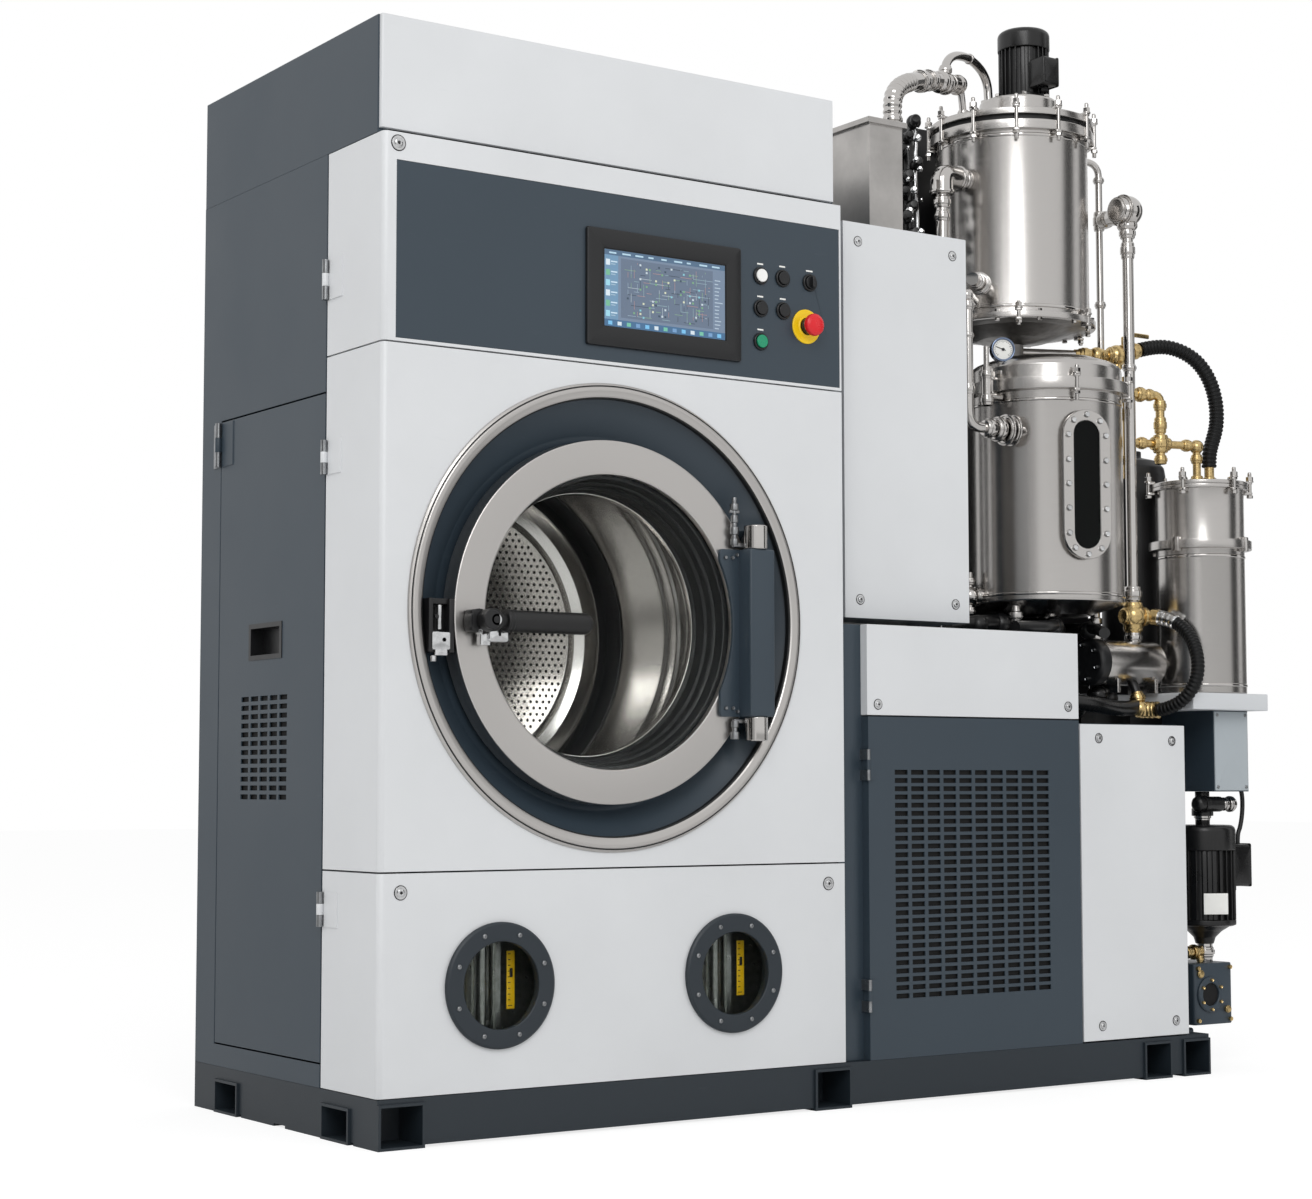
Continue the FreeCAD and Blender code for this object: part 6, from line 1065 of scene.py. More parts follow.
class LAUNDRY_OT_still(bpy.types.Operator):
    """Still with its lid, clamps and stirrer motor, and the clamps of the separator's lid"""
    bl_idname = "laundry.still"
    bl_label = "Still"

    def execute(self, context):
        at = (*STILL, 0)
        under = [(22, 1570), (22, 1600), (80, 1609), (139, 1628), (170, 1632), (170, 1633)]
        piece("Still_dish", [upright(at, under, 96, 0.8)], "Tank steel plate")
        shell = [(182, 1632.2), (183, 1634), (183, 1646), (169, 1648), (169, 2050), (183, 2050.2),
                 (184, 2051.4), (184, 2070.8), (182.6, 2071.9)]
        piece("Still_shell", [upright(at, shell, 128, 0.8)], "Tank steel", stands_for="still_body")
        gasket = turned([(160, 2072), (173, 2072), (173, 2083), (160, 2083)], at, "Z", 96, 0.5)
        piece("Still_gasket", [gasket], "Nitrile rubber")
        hoops = [hoop(at, 169, z, 9, 2.2) for z in (1656, 2036)]
        piece("Still_hoops", hoops, "Polished steel")
        lid = [(183, 2083.2), (184, 2084.4), (184, 2096.8), (182.6, 2098), (100, 2098.2)]
        neck = [(91, 2098), (87, 2103), (87, 2151), (85.6, 2156), (81, 2157.8)]
        lids = [upright(at, lid, 128, 0.8), upright(STILL_NECK, neck, 96, 1.5)]
        lids += [upright(SEPARATOR, [(108, 1284.2), (108, 1291.6), (106, 1293), (90, 1293.2)], 96)]
        lids += [upright(SEPARATOR, [(9, 1293), (9, 1297), (5, 1299)], 24)]
        piece("Tank_lids", lids, "Tank steel", stands_for="tank_lids")
        clamps = []
        for count, radius, place, first, bolt, grip in (
                (12, 185.5, STILL, 21, (2026, 2126), (2050, 2098)),
                (6, 182, STILL, 51, (1614, 1668), (1632, 1647)),
                (6, 114.3, SEPARATOR, 25, (1264, 1320), (1275, 1293))):
            for x, y, angle in ring_of(count, radius, place, first):
                clamps += clamp(x, y, bolt, grip, angle)
        for x, y, angle in ring_of(8, 78, STILL_NECK, 12):
            clamps.append(hexagon((x, y, 0), "Z", 6, 2157.6, 2164, angle))
        for x, y, angle in ring_of(12, 176, STILL, 6):
            clamps += [hexagon((x, y, 0), "Z", 6, z, z + 6, angle) for z in (1626, 1646)]
        piece("Flange_clamps", clamps, "Polished steel")
        parts, slots = motor(STIRRER, 57, 2158, 2324.6, 2279, 26, ((1797, 1845), (252, 300), (2180, 2244)))
        piece("Stirrer_motor_body", parts, "Black stove enamel", stands_for="stirrer_motor")
        piece("Stirrer_motor_slot_shade", slots, "Dark void")
        return {"FINISHED"}


def oblong(half_wide, half_high, steps=12):
    """An upright stadium outline about its middle."""
    a = np.radians(np.linspace(0, 180, steps))
    lift = half_high - half_wide
    top = np.stack([half_wide * np.cos(a), lift + half_wide * np.sin(a)], 1)
    return np.concatenate([top, -top])


def oblong_shell(rows, centre):
    """An upright stadium carried along Y; each row is (half width, half height, y)."""
    rings = []
    for wide, high, y in rows:
        ring = oblong(max(wide, 0.02), max(high, 0.04))
        rings.append(np.column_stack([ring[:, 0] + centre[0], np.full(len(ring), y), ring[:, 1] + centre[2]]))
    points = np.array(rings)
    points = np.concatenate([points, points[:, :1]], 1)
    return points, points[..., [0, 2]] / 1000 + points[..., [1, 1]] / 1000


class LAUNDRY_OT_filter(bpy.types.Operator):
    """Filter tank with its sight window and pressure gauge"""
    bl_idname = "laundry.filter"
    bl_label = "Filter tank"

    def execute(self, context):
        at = (*FILTER, 0)
        shell = [(22, 964), (22, 983), (90, 984), (166, 1009), (167, 1012), (167, 1462), (184, 1463),
                 (184, 1489), (167, 1490), (167, 1519), (163, 1528), (154, 1534.6), (120, 1547)]
        parts = [upright(at, shell, 128, 1.5)]
        posts = []
        for x, y, foot in ((1852, 362.6, 743), (1661.4, 216.4, 743), (1944, 264, 817)):
            parts.append(upright((x, y), [(12, 930), (12, 972), (16, 974), (16, 986), (11, 988), (11, 1008)],
                                 24))
            parts.append(upright((x, y), [(17, 938), (17, 948), (12, 950)], 24))
            posts.append(upright((x, y), [(20, foot + 0.2), (20, foot + 5), (15, foot + 6), (15, 939)], 24))
        piece("Filter_posts", posts, "Black powder coat")
        piece("Filter_shell", parts, "Tank steel", stands_for="filter_tank")
        latches = []
        for x, y, angle in ring_of(6, 184, FILTER, -112):
            latches += clamp(x, y, (1436, 1514), (1463, 1489), angle)
        hoops = [hoop(at, 167, z, 8, 2.2) for z in (1020, 1438)]
        piece("Filter_hoops", hoops + latches, "Polished steel")
        x, z = FILTER[0], 1255
        window = (x, 0, z)
        turn = lambda patch: tilted(patch, at, -16)
        frame_rows = [(30.5, 138, 71), (30.5, 138, 62.4), (32, 139.5, 61), (55.6, 160, 61), (57, 161, 62.6),
                      (57, 161, 71), (45.5, 144, 71.2), (45.5, 144, 103), (30.5, 138, 103), (30.5, 138, 71)]
        piece("Sight_window_frame", [turn(oblong_shell(frame_rows, window))], "Tank steel",
              stands_for="sight_window")
        pane = [(0, 0, 65), (30, 137.5, 65), (30, 137.5, 71), (0, 0, 71)]
        piece("Sight_window_pane", [turn(oblong_shell(pane, window))], "Sight glass")
        # Painted shade: a black plate behind the pane stands for the shade inside the tank.
        dark = [(0, 0, 92), (30.3, 137.8, 92), (30.3, 137.8, 93), (0, 0, 93)]
        piece("Sight_window_painted_shade", [turn(oblong_shell(dark, window))], "Dark void")
        bolts = []
        seats = []
        ring = oblong(44.5, 150, 5)
        for u, v in np.vstack([ring, [(44.5, 0), (-44.5, 0), (44.5, 52), (-44.5, 52), (44.5, -52),
                                      (-44.5, -52)]]):
            bolts.append(turn(hexagon((x + u, 0, z + v), "Y", 5.4, 60, 56, 10)))
            seats.append(turn(disc((x + u, 0, z + v), "Y", 7, 61, 60.3, 0.2, 20)))
        piece("Sight_window_bolts", bolts, "Chrome plated steel")
        piece("Sight_window_washers", seats, "Tank steel plate")
        x, z = GAUGE_STEM[0], 1556
        gauge = (x, 0, z)
        face = lambda patch: tilted(patch, (*GAUGE_STEM, 0), -26)
        case = turned([(0, 236), (22, 236), (25, 232), (25, 214), (26.4, 212.6), (26.4, 209), (24.6, 208.4),
                       (21.8, 210), (21.8, 213), (0, 213)], gauge, "Y", 64, 0.6, False)
        stem = [upright(GAUGE_STEM, [(7, 1404), (7, 1528)], 20),
                hexagon((*GAUGE_STEM, 0), "Z", 12, 1514, 1530),
                upright(GAUGE_STEM, [(13, 1470), (13, 1486), (9, 1488), (9, 1500), (14, 1502), (14, 1510)],
                        28)]
        piece("Pressure_gauge_case", [face(case)], "Blued steel")
        piece("Pressure_gauge_stem", stem, "Polished steel")
        piece("Pressure_gauge_dial", [face(disc(gauge, "Y", 21.6, 211.8, 212.9, 0.2))], "Dial enamel")
        ticks = []
        for k in range(21):
            long = 4.6 if k % 5 == 0 else 2.6
            tick = block((x - 0.5, x + 0.5), (211.4, 211.8), (z + 19.6 - long, z + 19.6), 0.05, axis="Y")
            ticks.append(face(tilted(tick, gauge, -135 + 13.5 * k, "Y")))
        hand = block((x - 0.9, x + 0.9), (211.0, 211.4), (z - 6, z + 16), 0.1, axis="Y")
        ticks += [face(tilted(hand, gauge, -70, "Y")), face(disc(gauge, "Y", 3.4, 210.4, 211.6, 0.2, 20))]
        piece("Pressure_gauge_marks", ticks, "Black ABS")
        return {"FINISHED"}


class LAUNDRY_OT_side_tanks(bpy.types.Operator):
    """Separator, carbon tank, receiver and condenser"""
    bl_idname = "laundry.side_tanks"
    bl_label = "Side tanks"

    def execute(self, context):
        at = (*SEPARATOR, 0)
        separator = [(96, 817), (98, 819), (98, 1140), (114, 1141), (114, 1160), (98, 1161), (98, 1275),
                     (107, 1275.2), (108, 1276.4), (108, 1282.8), (107, 1284)]
        piece("Separator_shell", [upright(at, separator, 96, 0.8)], "Tank steel", stands_for="separator_tank")
        lugs = [tilted(block((x - 3, x + 12), (y - 8, y + 8), (1134, 1166), 1.5), (x, y, 0), angle)
                for x, y, angle in ring_of(4, 104, SEPARATOR, -75)]
        lugs += [hoop(at, 98, z, 8, 1.8, 96, 1) for z in (832, 1120)]
        piece("Separator_hoops", lugs, "Polished steel")
        carbon = [(75, 817), (75, 1330), (72, 1348), (58, 1364), (20, 1374), (20, 1389)]
        piece("Carbon_tank_shell", [upright(CARBON_TANK, carbon, 72, 3)], "Black powder coat",
              stands_for="carbon_tank")
        receiver = (0, 200, 884)
        body = [(49, 1880), (50, 1881), (50, 2050), (47, 2054), (20, 2056), (12, 2057), (12, 2068),
                (15, 2069), (15, 2074), (10, 2077)]
        cradles = [block((x, x + 10), (158, 242), (817, 848), 1.0) for x in (1905, 2020)]
        piece("Receiver_shell", [stack_of(receiver, "X", body, 72, 1.2), *cradles], "Tank steel",
              stands_for="receiver_vessel")
        cap = [(46, 1850), (51, 1854), (52.5, 1858), (52.5, 1880), (49, 1881)]
        piece("Receiver_cap", [stack_of(receiver, "X", cap, 72, 2)], "Black ABS")
        bolts = [hexagon((0, 200 + 38 * math.cos(a), 884 + 38 * math.sin(a)), "X", 4.4, 1850, 1845, 15)
                 for a in np.radians(np.arange(20, 380, 60))]
        piece("Receiver_bolts", bolts, "Zinc plated steel")
        self.supports()
        dress("Condenser steel", "condenser_box")
        ease_edges(1.0, "condenser_box")
        return {"FINISHED"}

    def supports(self):
        """The shelf, the column, plates and gussets that carry it, and the compressors' pipes."""
        shelf = [block((2036, 2275), (60, 430), (780, 817), 2, 3),
                 block((1900, 2050), (250, 430), (780.2, 816.8), 2, 3)]
        piece("Tank_shelf", shelf, "Shelf powder coat", stands_for="tank_supports")
        dark = [block((1747, 1827), (540, 620), (743.2, 2000), 3, 4),
                block((1900.5, 1942.5), (268, 429), (743.2, 779.8), 1),
                block((1600, 1748), (556, 566), (743.2, 2128), 2),
                block((1450, 2088), (432, 442), (743.2, 1058), 2),
                block((1943, 2258), (418, 428), (640, 779.8), 1),
                block((2040, 2141), (255, 262), (640, 779.8), 1)]
        dark += [block((1757, 1817), (515, 541), (z - 30, z + 30), 2) for z in (1700, 1950)]
        for y in (300, 400):
            level = np.array([610.0, 620, 700, 779])
            dark.append(shelled(np.full(4, 1943.4), 1943.4 + (level - 609) * 200 / 171, level, (y, y + 6),
                                0.5))
        piece("Tank_column", dark, "Black powder coat")
        cans = []
        for x, y, radius, top in ((1735, 440, 95, 960), (1880, 500, 60, 940)):
            seam = top - 92
            cans.append(upright((x, y), [(radius - 4, 746), (radius, 756), (radius, seam),
                                         (radius + 3, seam + 2), (radius + 3, seam + 9), (radius, seam + 11),
                                         (radius, top - 30), (radius * 0.8, top - 9), (radius * 0.4, top)],
                                64, 3))
            for px, py, _ in ring_of(3, radius - 8, (x, y), 40):
                cans.append(upright((px, py), [(13, 743.2), (13, 751)], 20))
            cans.append(block((x - 26, x + 26), (y - radius - 15, y - radius + 20), (top - 170, top - 100),
                              3, 6, "Y"))
        runs = (
            (16, (1700, 380, 940), (1690, 330, 968), (1640, 240, 966), (1560, 230, 962), (1480, 232, 950)),
            (13, (1760, 420, 952), (1770, 330, 972), (1745, 190, 962), (1690, 130, 952), (1560, 110, 946)),
            (12, (1880, 500, 930), (1880, 470, 972), (1840, 330, 962), (1850, 170, 956), (1800, 90, 940)),
            (11, (1974, 169, 816), (1974, 176, 832), (1974, 190, 850)),
            (17, (1972, 166, 788), (1940, 160, 782), (1880, 150, 782), (1800, 135, 790), (1700, 170, 800)))
        cans += [pipe(path, r, 40) for r, *path in runs]
        lumps = (
            (1690, 330, 962, 24), (1640, 240, 962, 23), (1745, 190, 958, 22), (1840, 320, 958, 22),
            (1560, 225, 956, 22), (1850, 190, 952, 20), (1900, 215, 812, 24), (1945, 225, 806, 20),
            (1870, 260, 790, 30), (1800, 250, 950, 30), (1720, 260, 946, 26))
        cans += [ball(at, r, 24) for *at, r in lumps]
        piece("Compressor_cans", cans, "Black stove enamel")


# ---------------------------------------------------------------- pipework
def union(start_at, end_at, radius):
    """A pipe union: a hexagonal nut between two rounded collars, from one point to another."""
    a, b = np.asarray(start_at, float), np.asarray(end_at, float)
    long = np.linalg.norm(b - a)
    rows = [(radius * 0.8, 0), (radius * 0.88, long * 0.1), (radius * 0.88, long * 0.28),
            (radius, long * 0.3), (radius, long * 0.7), (radius * 0.88, long * 0.72),
            (radius * 0.88, long * 0.9), (radius * 0.8, long)]
    return between(a, b, rows, 24, 0.8)


def standing_union(at, low, high, radius):
    """A union on an upright pipe."""
    return union((*at, low), (*at, high), radius)


def pipe(points, radius, bend, sides=22):
    """A round pipe through its corners, with a bend at each of them."""
    return swept(even(bent(points, bend), 6)[0], radius, sides)


class LAUNDRY_OT_pipework(bpy.types.Operator):
    """Steel pipes with their unions and valves, and the brass fittings"""
    bl_idname = "laundry.pipework"
    bl_label = "Pipework"

    def execute(self, context):
        vapour = [(1326, 216, 2007), (1326, 216, 2048), (1333, 220, 2072), (1354, 228, 2094),
                  (1384, 239, 2110), (1415, 251, 2122), (1452, 266, 2132), (1485, 279, 2142),
                  (1517, 292, 2149), (1556, 307, 2154), (1589, 321, 2160), (1618, 332, 2166)]
        line, s = even(bent(vapour, 30), 1.6)
        ribs = 19.5 + 1.1 * np.cos(2 * np.pi * s / 13) * (s < 150)
        loop = [(1552, 306, 2160), (1556, 308, 2195), (1573, 314, 2214), (1599, 324, 2227),
                (1633, 337, 2234), (1666, 350, 2236), (1695, 361, 2231), (1719, 370, 2222),
                (1734, 375, 2209), (1744, 379, 2192), (1747, 380, 2158)]
        pipes = [swept(line, ribs, 28)]
        pipes += [pipe(*row) for row in (
            (loop, 10, 14), ([(1618, 332, 2166), (1627, 336, 2140), (1635, 339, 2097)], 8, 10),
            ([(*STANDPIPE, 1944), (*STANDPIPE, 928)], 14, 1),
            ([(1590, 311, 1946), (1650, 318, 1946)], 18, 1),
            ([(*STANDPIPE, 1908), (*STANDPIPE, 1946), (1590, 311, 1946)], 25, 30),
            ([(1548, 215, 1655), (*SIDE_LOOP, 1655), (*SIDE_LOOP, 1372), (1680, 170, 1372)], 11, 34),
            ([(1545, 215, 1702), (1660, 290, 1702)], 14, 1),
            ([(*GAUGE_PIPE, 1428), (*GAUGE_PIPE, 1512)], 11, 1),
            ([(*GAUGE_PIPE, 1512), (*GAUGE_PIPE, 1557)], 6, 1),
            ([(*GAUGE_PIPE, 1450), (1618, 210, 1450)], 8, 1),
            ([(1534, 300, 1024), (1650, 300, 1024)], 10, 1), ([(*TAP_CROSS, 990), (*TAP_CROSS, 1076)], 7, 1),
            ([(*RISER, 1010), (*RISER, 1890)], 12.4, 1),
            ([(*RETURN_PIPE, 1590), (*RETURN_PIPE, 2038), (1940, 316, 2038)], 8, 34),
            ([(*STILL, 1585), (1925, 299, 1586)], 10, 1))]
        piece("Steel_tubes", pipes, "Polished steel", stands_for="steel_pipes")
        joints = [standing_union(*row) for row in (
            ((1326, 216), 2007, 2024, 22), ((1634, 339), 2098, 2112, 13), (STANDPIPE, 1902, 1914, 28),
            (STANDPIPE, 1872, 1898, 20), (STANDPIPE, 1842, 1866, 18), (SIDE_LOOP, 1620, 1640, 15),
            (SIDE_LOOP, 1560, 1572, 14), (SIDE_LOOP, 1440, 1464, 15), (GAUGE_PIPE, 1428, 1452, 15),
            (GAUGE_PIPE, 1486, 1504, 14), (TAP_CROSS, 1048, 1064, 14), (TAP_CROSS, 984, 1000, 14),
            (RISER, 1022, 1056, 21), (RISER, 1842, 1866, 19), (RISER, 1796, 1834, 17),
            (RETURN_PIPE, 1880, 1924, 14), (RETURN_PIPE, 1990, 2004, 13), (RETURN_PIPE, 1700, 1716, 13),
            (RISER, 1540, 1556, 16), (RISER, 930, 954, 20))]
        joints += [union(*row) for row in (
            ((1438, 261, 2128), (1444, 263, 2130), 25), ((1474, 275, 2139), (1480, 277, 2141), 24),
            ((1566, 312, 2156), (1582, 318, 2159), 21), ((1553, 306, 2172), (1556, 308, 2192), 15),
            ((1655, 346, 2235.4), (1668, 350.6, 2236), 12), ((1586, 310.4, 1946), (1600, 312, 1946), 29),
            ((1606, 313, 1946), (1622, 315, 1946), 24), ((1560, 224, 1702), (1578, 236, 1702), 19),
            ((1584, 240, 1702), (1590, 244, 1702), 24), ((1598, 249, 1702), (1604, 253, 1702), 24),
            ((1534, 170, 1372), (1560, 170, 1372), 21), ((1562, 170, 1372), (1584, 170, 1372), 27),
            ((1588, 170, 1372), (1600, 170, 1372), 34), ((1606, 170, 1372), (1618, 170, 1372), 34),
            ((1566, 300, 1024), (1590, 300, 1024), 17), ((1616, 300, 1024), (1632, 300, 1024), 22),
            ((1942, 315.5, 2038), (1960, 311.4, 2038), 15), ((1961, 200, 1905), (1972, 200, 1905), 29),
            ((1978, 200, 1905), (1986, 200, 1905), 36.6))]
        joints += [ball(*row) for row in (
            ((1456, 268, 2132), 23.5), ((1492, 282, 2143), 22), ((1530, 297, 2150), 25),
            ((1553, 306, 2151), 24), ((1606, 328, 2163), 23), ((1490, 172, 1652), 14.5),
            ((*TAP_CROSS, 1024), 21), ((*RISER, 1905), 35, 48))]
        joints += [between((2007, 292, 1900), (2000, 222, 1903),
                           [(13, 0), (20, 8), (20, 24), (16, 30), (24, 60), (24, 72)], 28, 2),
                   upright(RISER, [(19, 1862), (23, 1868), (23, 1876), (16, 1880)], 32, 1.5)]
        piece("Steel_unions", joints, "Polished steel")
        dark = [upright((x, y), [(r, 928), (r, top)], 24) for x, y, top, r in (
            (1496, 430, 2074, 17), (1526, 402, 2030, 14), (1560, 440, 2086, 20))]
        for k, z in enumerate(np.arange(1796, 2082, 31)):
            x, y, r = 1510 + 18 * math.sin(2.4 * k), 384 + 14 * math.cos(1.7 * k), 15 + 4 * math.sin(3.1 * k)
            dark += [ball((x, y, z), r, 20),
                     between((x - 18, y - 30, z), (x + 20, y + 34, z + 6 * (-1) ** k),
                             [(r * 0.5, 0), (r * 0.7, 6), (r * 0.7, 20), (r * 0.5, 26), (r * 0.4, 66)])]
        piece("Valve_bank", dark, "Black stove enamel")
        bright = [pipe([(1540, 392, 928), (1540, 392, 1700), (1532, 388, 1780), (1544, 392, 1860),
                        (1530, 386, 1940), (1540, 392, 2040), (1534, 392, 2080)], 5.5, 50),
                  pipe([(1570, 350, 928), (1570, 350, 1880)], 4.5, 1)]
        for k, z in enumerate(np.arange(1800, 2070, 23)):
            x, y, r = 1500 + 14 * math.sin(1.9 * k), 350 + 8 * math.cos(2.2 * k), 6 + 3 * math.sin(2.7 * k)
            bright.append(between((x, y, z), (x - 10, y - 12, z + 2),
                                  [(r, 0), (r, 6), (r * 0.6, 9), (r * 0.6, 14)], 18))
        piece("Valve_bank_fittings", bright, "Chrome plated steel")
        self.brass()
        return {"FINISHED"}

    def brass(self):
        line = [pipe(*row) for row in (
            ([(*RISER, 930), (*RISER, 1010)], 17, 1, 26),
            ([(*RISER, 989), (2032.8, 200, 990), (2045, 183, 989)], 15, 12),
            ([(1925, 299, 1586), (2017.2, 265.3, 1586.6), (2083, 250, 1605)], 12, 14),
            ([(1998, 214, 1300), (1998, 214, 1530)], 7, 1),
            ([(*RISER, 1490), (*BRASS_DROP, 1490), (*BRASS_DROP, 1334)], 10, 16),
            ([(*RISER, 1380), (*BRASS_INLET, 1380), (*BRASS_INLET, 1293)], 9, 16),
            ([(*HOSE_INLET, 1293), (*HOSE_INLET, 1334)], 11, 1),
            ([(1974, 159, 780), (1974, 166, 806), (1974, 169, 818)], 13, 14))]
        piece("Brass_tubes", line, "Cast brass", stands_for="brass_fittings")
        hexes = [standing_union(*row) for row in (
            (RISER, 955, 1020, 25), ((1998, 214), 1430, 1456, 11), ((1998, 214), 1330, 1352, 11),
            (BRASS_DROP, 1455, 1478, 15), (BRASS_DROP, 1404, 1440, 15), (BRASS_DROP, 1360, 1400, 19),
            (BRASS_DROP, 1334, 1354, 15), (BRASS_INLET, 1293, 1312, 15), (BRASS_INLET, 1340, 1360, 14),
            (HOSE_INLET, 1293, 1312, 15))]
        hexes += [union(*row) for row in (
            ((1968, 204, 989), (1986, 202, 989), 19), ((2012, 199, 989), (2036, 197, 989.6), 23),
            ((1934, 295.7, 1586), (1962, 285.5, 1586), 17), ((1982, 278.2, 1586.3), (1996, 273, 1586.4), 15),
            ((2000, 271.6, 1586.5), (2016, 265.8, 1586.6), 21),
            ((2032, 261.8, 1590), (2050, 257.6, 1596), 22), ((2052, 257.2, 1596.5), (2080, 250.6, 1604), 19),
            ((2014, 196.4, 1490), (2034, 192, 1490), 17), ((2038, 190.7, 1490), (2056, 185.8, 1490), 14),
            ((2050, 184, 1380), (2094, 176, 1380), 18), ((2016, 196, 1380), (2036, 190, 1380), 14),
            ((2130, 169, 1380), (2150, 164, 1380), 14), ((1974, 164, 796), (1974, 169, 814), 18))]
        hexes += [ball(*row) for row in (
            ((*RISER, 989), 29), ((1976, 280.4, 1586.3), 19), ((2022, 263.5, 1587), 25),
            ((*BRASS_INLET, 1378), 16), ((1974, 160, 782), 20))]
        hexes += [upright((2022, 263.5), [(9, 1548), (9, 1556), (13, 1558), (13, 1566), (9, 1570)], 20),
                  hexagon((2048, 0, 1622), "Y", 9, 246, 262),
                  block((2040, 2056), (240, 268), (1612, 1634), 3),
                  block((2036, 2100), (236, 242), (1630, 1640), 2.5)]
        piece("Brass_nuts", hexes, "Cast brass")
        first = route_line(DRAIN)
        run = lengths_along(first)
        follow = lambda a, b: np.stack([np.interp(np.linspace(a, b, 16), run, axis) for axis in first.T], 1)
        size = np.where(np.arange(16) % 4 == 3, 16.4, 17.4)
        piece("Hose_ferrule", [swept(follow(12, 62), size, 28)], "Chrome plated steel")
        piece("Hose_couplings", [swept(follow(0, 16), 19, 28),
                                 swept(follow(run[-1] - 40, run[-1]), size * 1.08, 28)], "Cast brass")


class LAUNDRY_OT_pump(bpy.types.Operator):
    """Pump, its motor and the electrical box"""
    bl_idname = "laundry.pump"
    bl_label = "Pump"

    def execute(self, context):
        parts, slots = motor(PUMP, 70, 302, 526, 470, 24, ((2224, 2290), (130, 190), (388, 482)))
        lantern = [upright(PUMP, [(20, 262), (24, 276), (38, 290), (58, 302.5)], 40, 2)]
        neck = [upright(PUMP, [(17, 221), (17, 264)], 32),
                standing_union(PUMP, 232, 256, 22), standing_union(PUMP, 534, 556, 19),
                union((2196, 132, 572), (2212, 132, 572), 15), union((2214, 132, 572), (2232, 132, 572), 18)]
        piece("Pump_neck", neck, "Polished steel")
        lantern += [stack_of((0, 132, 572), "X", [(10, 2112), (17, 2118), (17, 2190), (11, 2197)], 32, 2),
                    stack_of((0, 132, 572), "X", [(19, 2134), (19, 2146)], 32)]
        piece("Pump_motor_body", parts + lantern, "Black stove enamel", stands_for="pump")
        piece("Pump_motor_slot_shade", slots, "Dark void")
        arm = block((2002, 2112), (146, 204), (20.2, 80), 3, 6, axis="X")
        case = block((2083, 2203), (115.2, 235), (88, 222), 3, 8)
        ring = turned([(25, 116), (25, 111), (27, 109), (36, 109), (39, 112), (39, 117)], (2130, 0, 154),
                      "Y", 56, 0.8, False)
        piece("Pump_block", [arm, case, ring], "Slate powder coat")
        # Painted shade: a black disc inside the port stands for the shade in its bore.
        piece("Pump_port_painted_shade", [disc((2130, 0, 154), "Y", 25.2, 114.2, 115.1, 0.1)], "Dark void")
        face = [hexagon((2130 + 32 * math.cos(a), 0, 154 + 32 * math.sin(a)), "Y", 3.6, 109, 105.5)
                for a in np.radians(np.arange(30, 390, 60))]
        face += [hexagon((x, 0, z), "Y", 5, 115, 110, 15) for x in (2093, 2193) for z in (98, 212)]
        face += [union((2100, 116, 200), (2100, 108, 200), 9), union((2183, 116, 120), (2183, 106, 120), 8),
                 union((2128, 140, 222), (2128, 140, 238), 8), union((2092, 150, 245), (2112, 152, 245), 14),
                 union((2114, 152, 245), (2130, 154, 245), 17), union((2132, 155, 245), (2152, 158, 245), 13),
                 standing_union(PUMP, 262, 272, 20)]
        piece("Pump_brass", face, "Cast brass")
        conduit = [upright(PUMP, [(16, 526), (16, 545), (24, 546), (24, 562), (16, 563), (16, 599.8)], 36)]
        piece("Pump_conduit", conduit, "Black stove enamel")
        name_plate = tilted(block((2137, 2193), (86.5, 88), (330, 376), 0.5, axis="Y"), (*PUMP, 0), -26)
        piece("Pump_name_plate", [name_plate], "Dial enamel")
        dress("Slate powder coat", "electrical_box")
        front = block((2142, 2248), (97.5, 112), (602, 778), 2, 3, axis="Y")
        piece("Electrical_cover", [front], "Box powder coat")
        dots = [dome_screw((x, 0, z), "Y", 4, 97.5, 95.2) for x in (2150, 2240) for z in (610, 770)]
        piece("Electrical_cover_screws", dots, "Zinc plated steel")
        return {"FINISHED"}


# ---------------------------------------------------------------- stage
def aimed(place, aim):
    """A matrix at a place, its -Z axis turned towards another."""
    turn = (Vector(aim) - Vector(place)).to_track_quat("-Z", "Y").to_matrix().to_4x4()
    return Matrix.Translation(place) @ turn


def lamp(name, size, place, aim, strength, seen=True):
    """A soft lamp. One that isn't seen leaves no reflection."""
    light = bpy.data.lights.new(name, "AREA")
    light.shape, light.size, light.size_y, light.energy = "RECTANGLE", size[0], size[1], strength
    holder = bpy.data.objects.new(name, light)
    holder.visible_glossy = seen
    holder.matrix_world = aimed(place, aim)
    bpy.context.scene.collection.objects.link(holder)


def card(name, tone, size, place, aim):
    """A grey card that only reflections see; it draws a light or dark band down the steel."""
    w, h = size[0] / 2, size[1] / 2
    mesh = bpy.data.meshes.new(name)
    mesh.from_pydata([(-w, -h, 0), (w, -h, 0), (w, h, 0), (-w, h, 0)], [], [(0, 1, 2, 3)])
    mesh.transform(aimed(place, aim))
    material, tree, _ = start(name)
    end(tree, node(tree, "Emission", Color=(tone, tone, tone, 1), Strength=1.0))
    mesh.materials.append(material)
    item = bpy.data.objects.new(name, mesh)
    bpy.context.scene.collection.objects.link(item)
    for ray in ("visible_camera", "visible_diffuse", "visible_shadow", "visible_transmission"):
        setattr(item, ray, False)


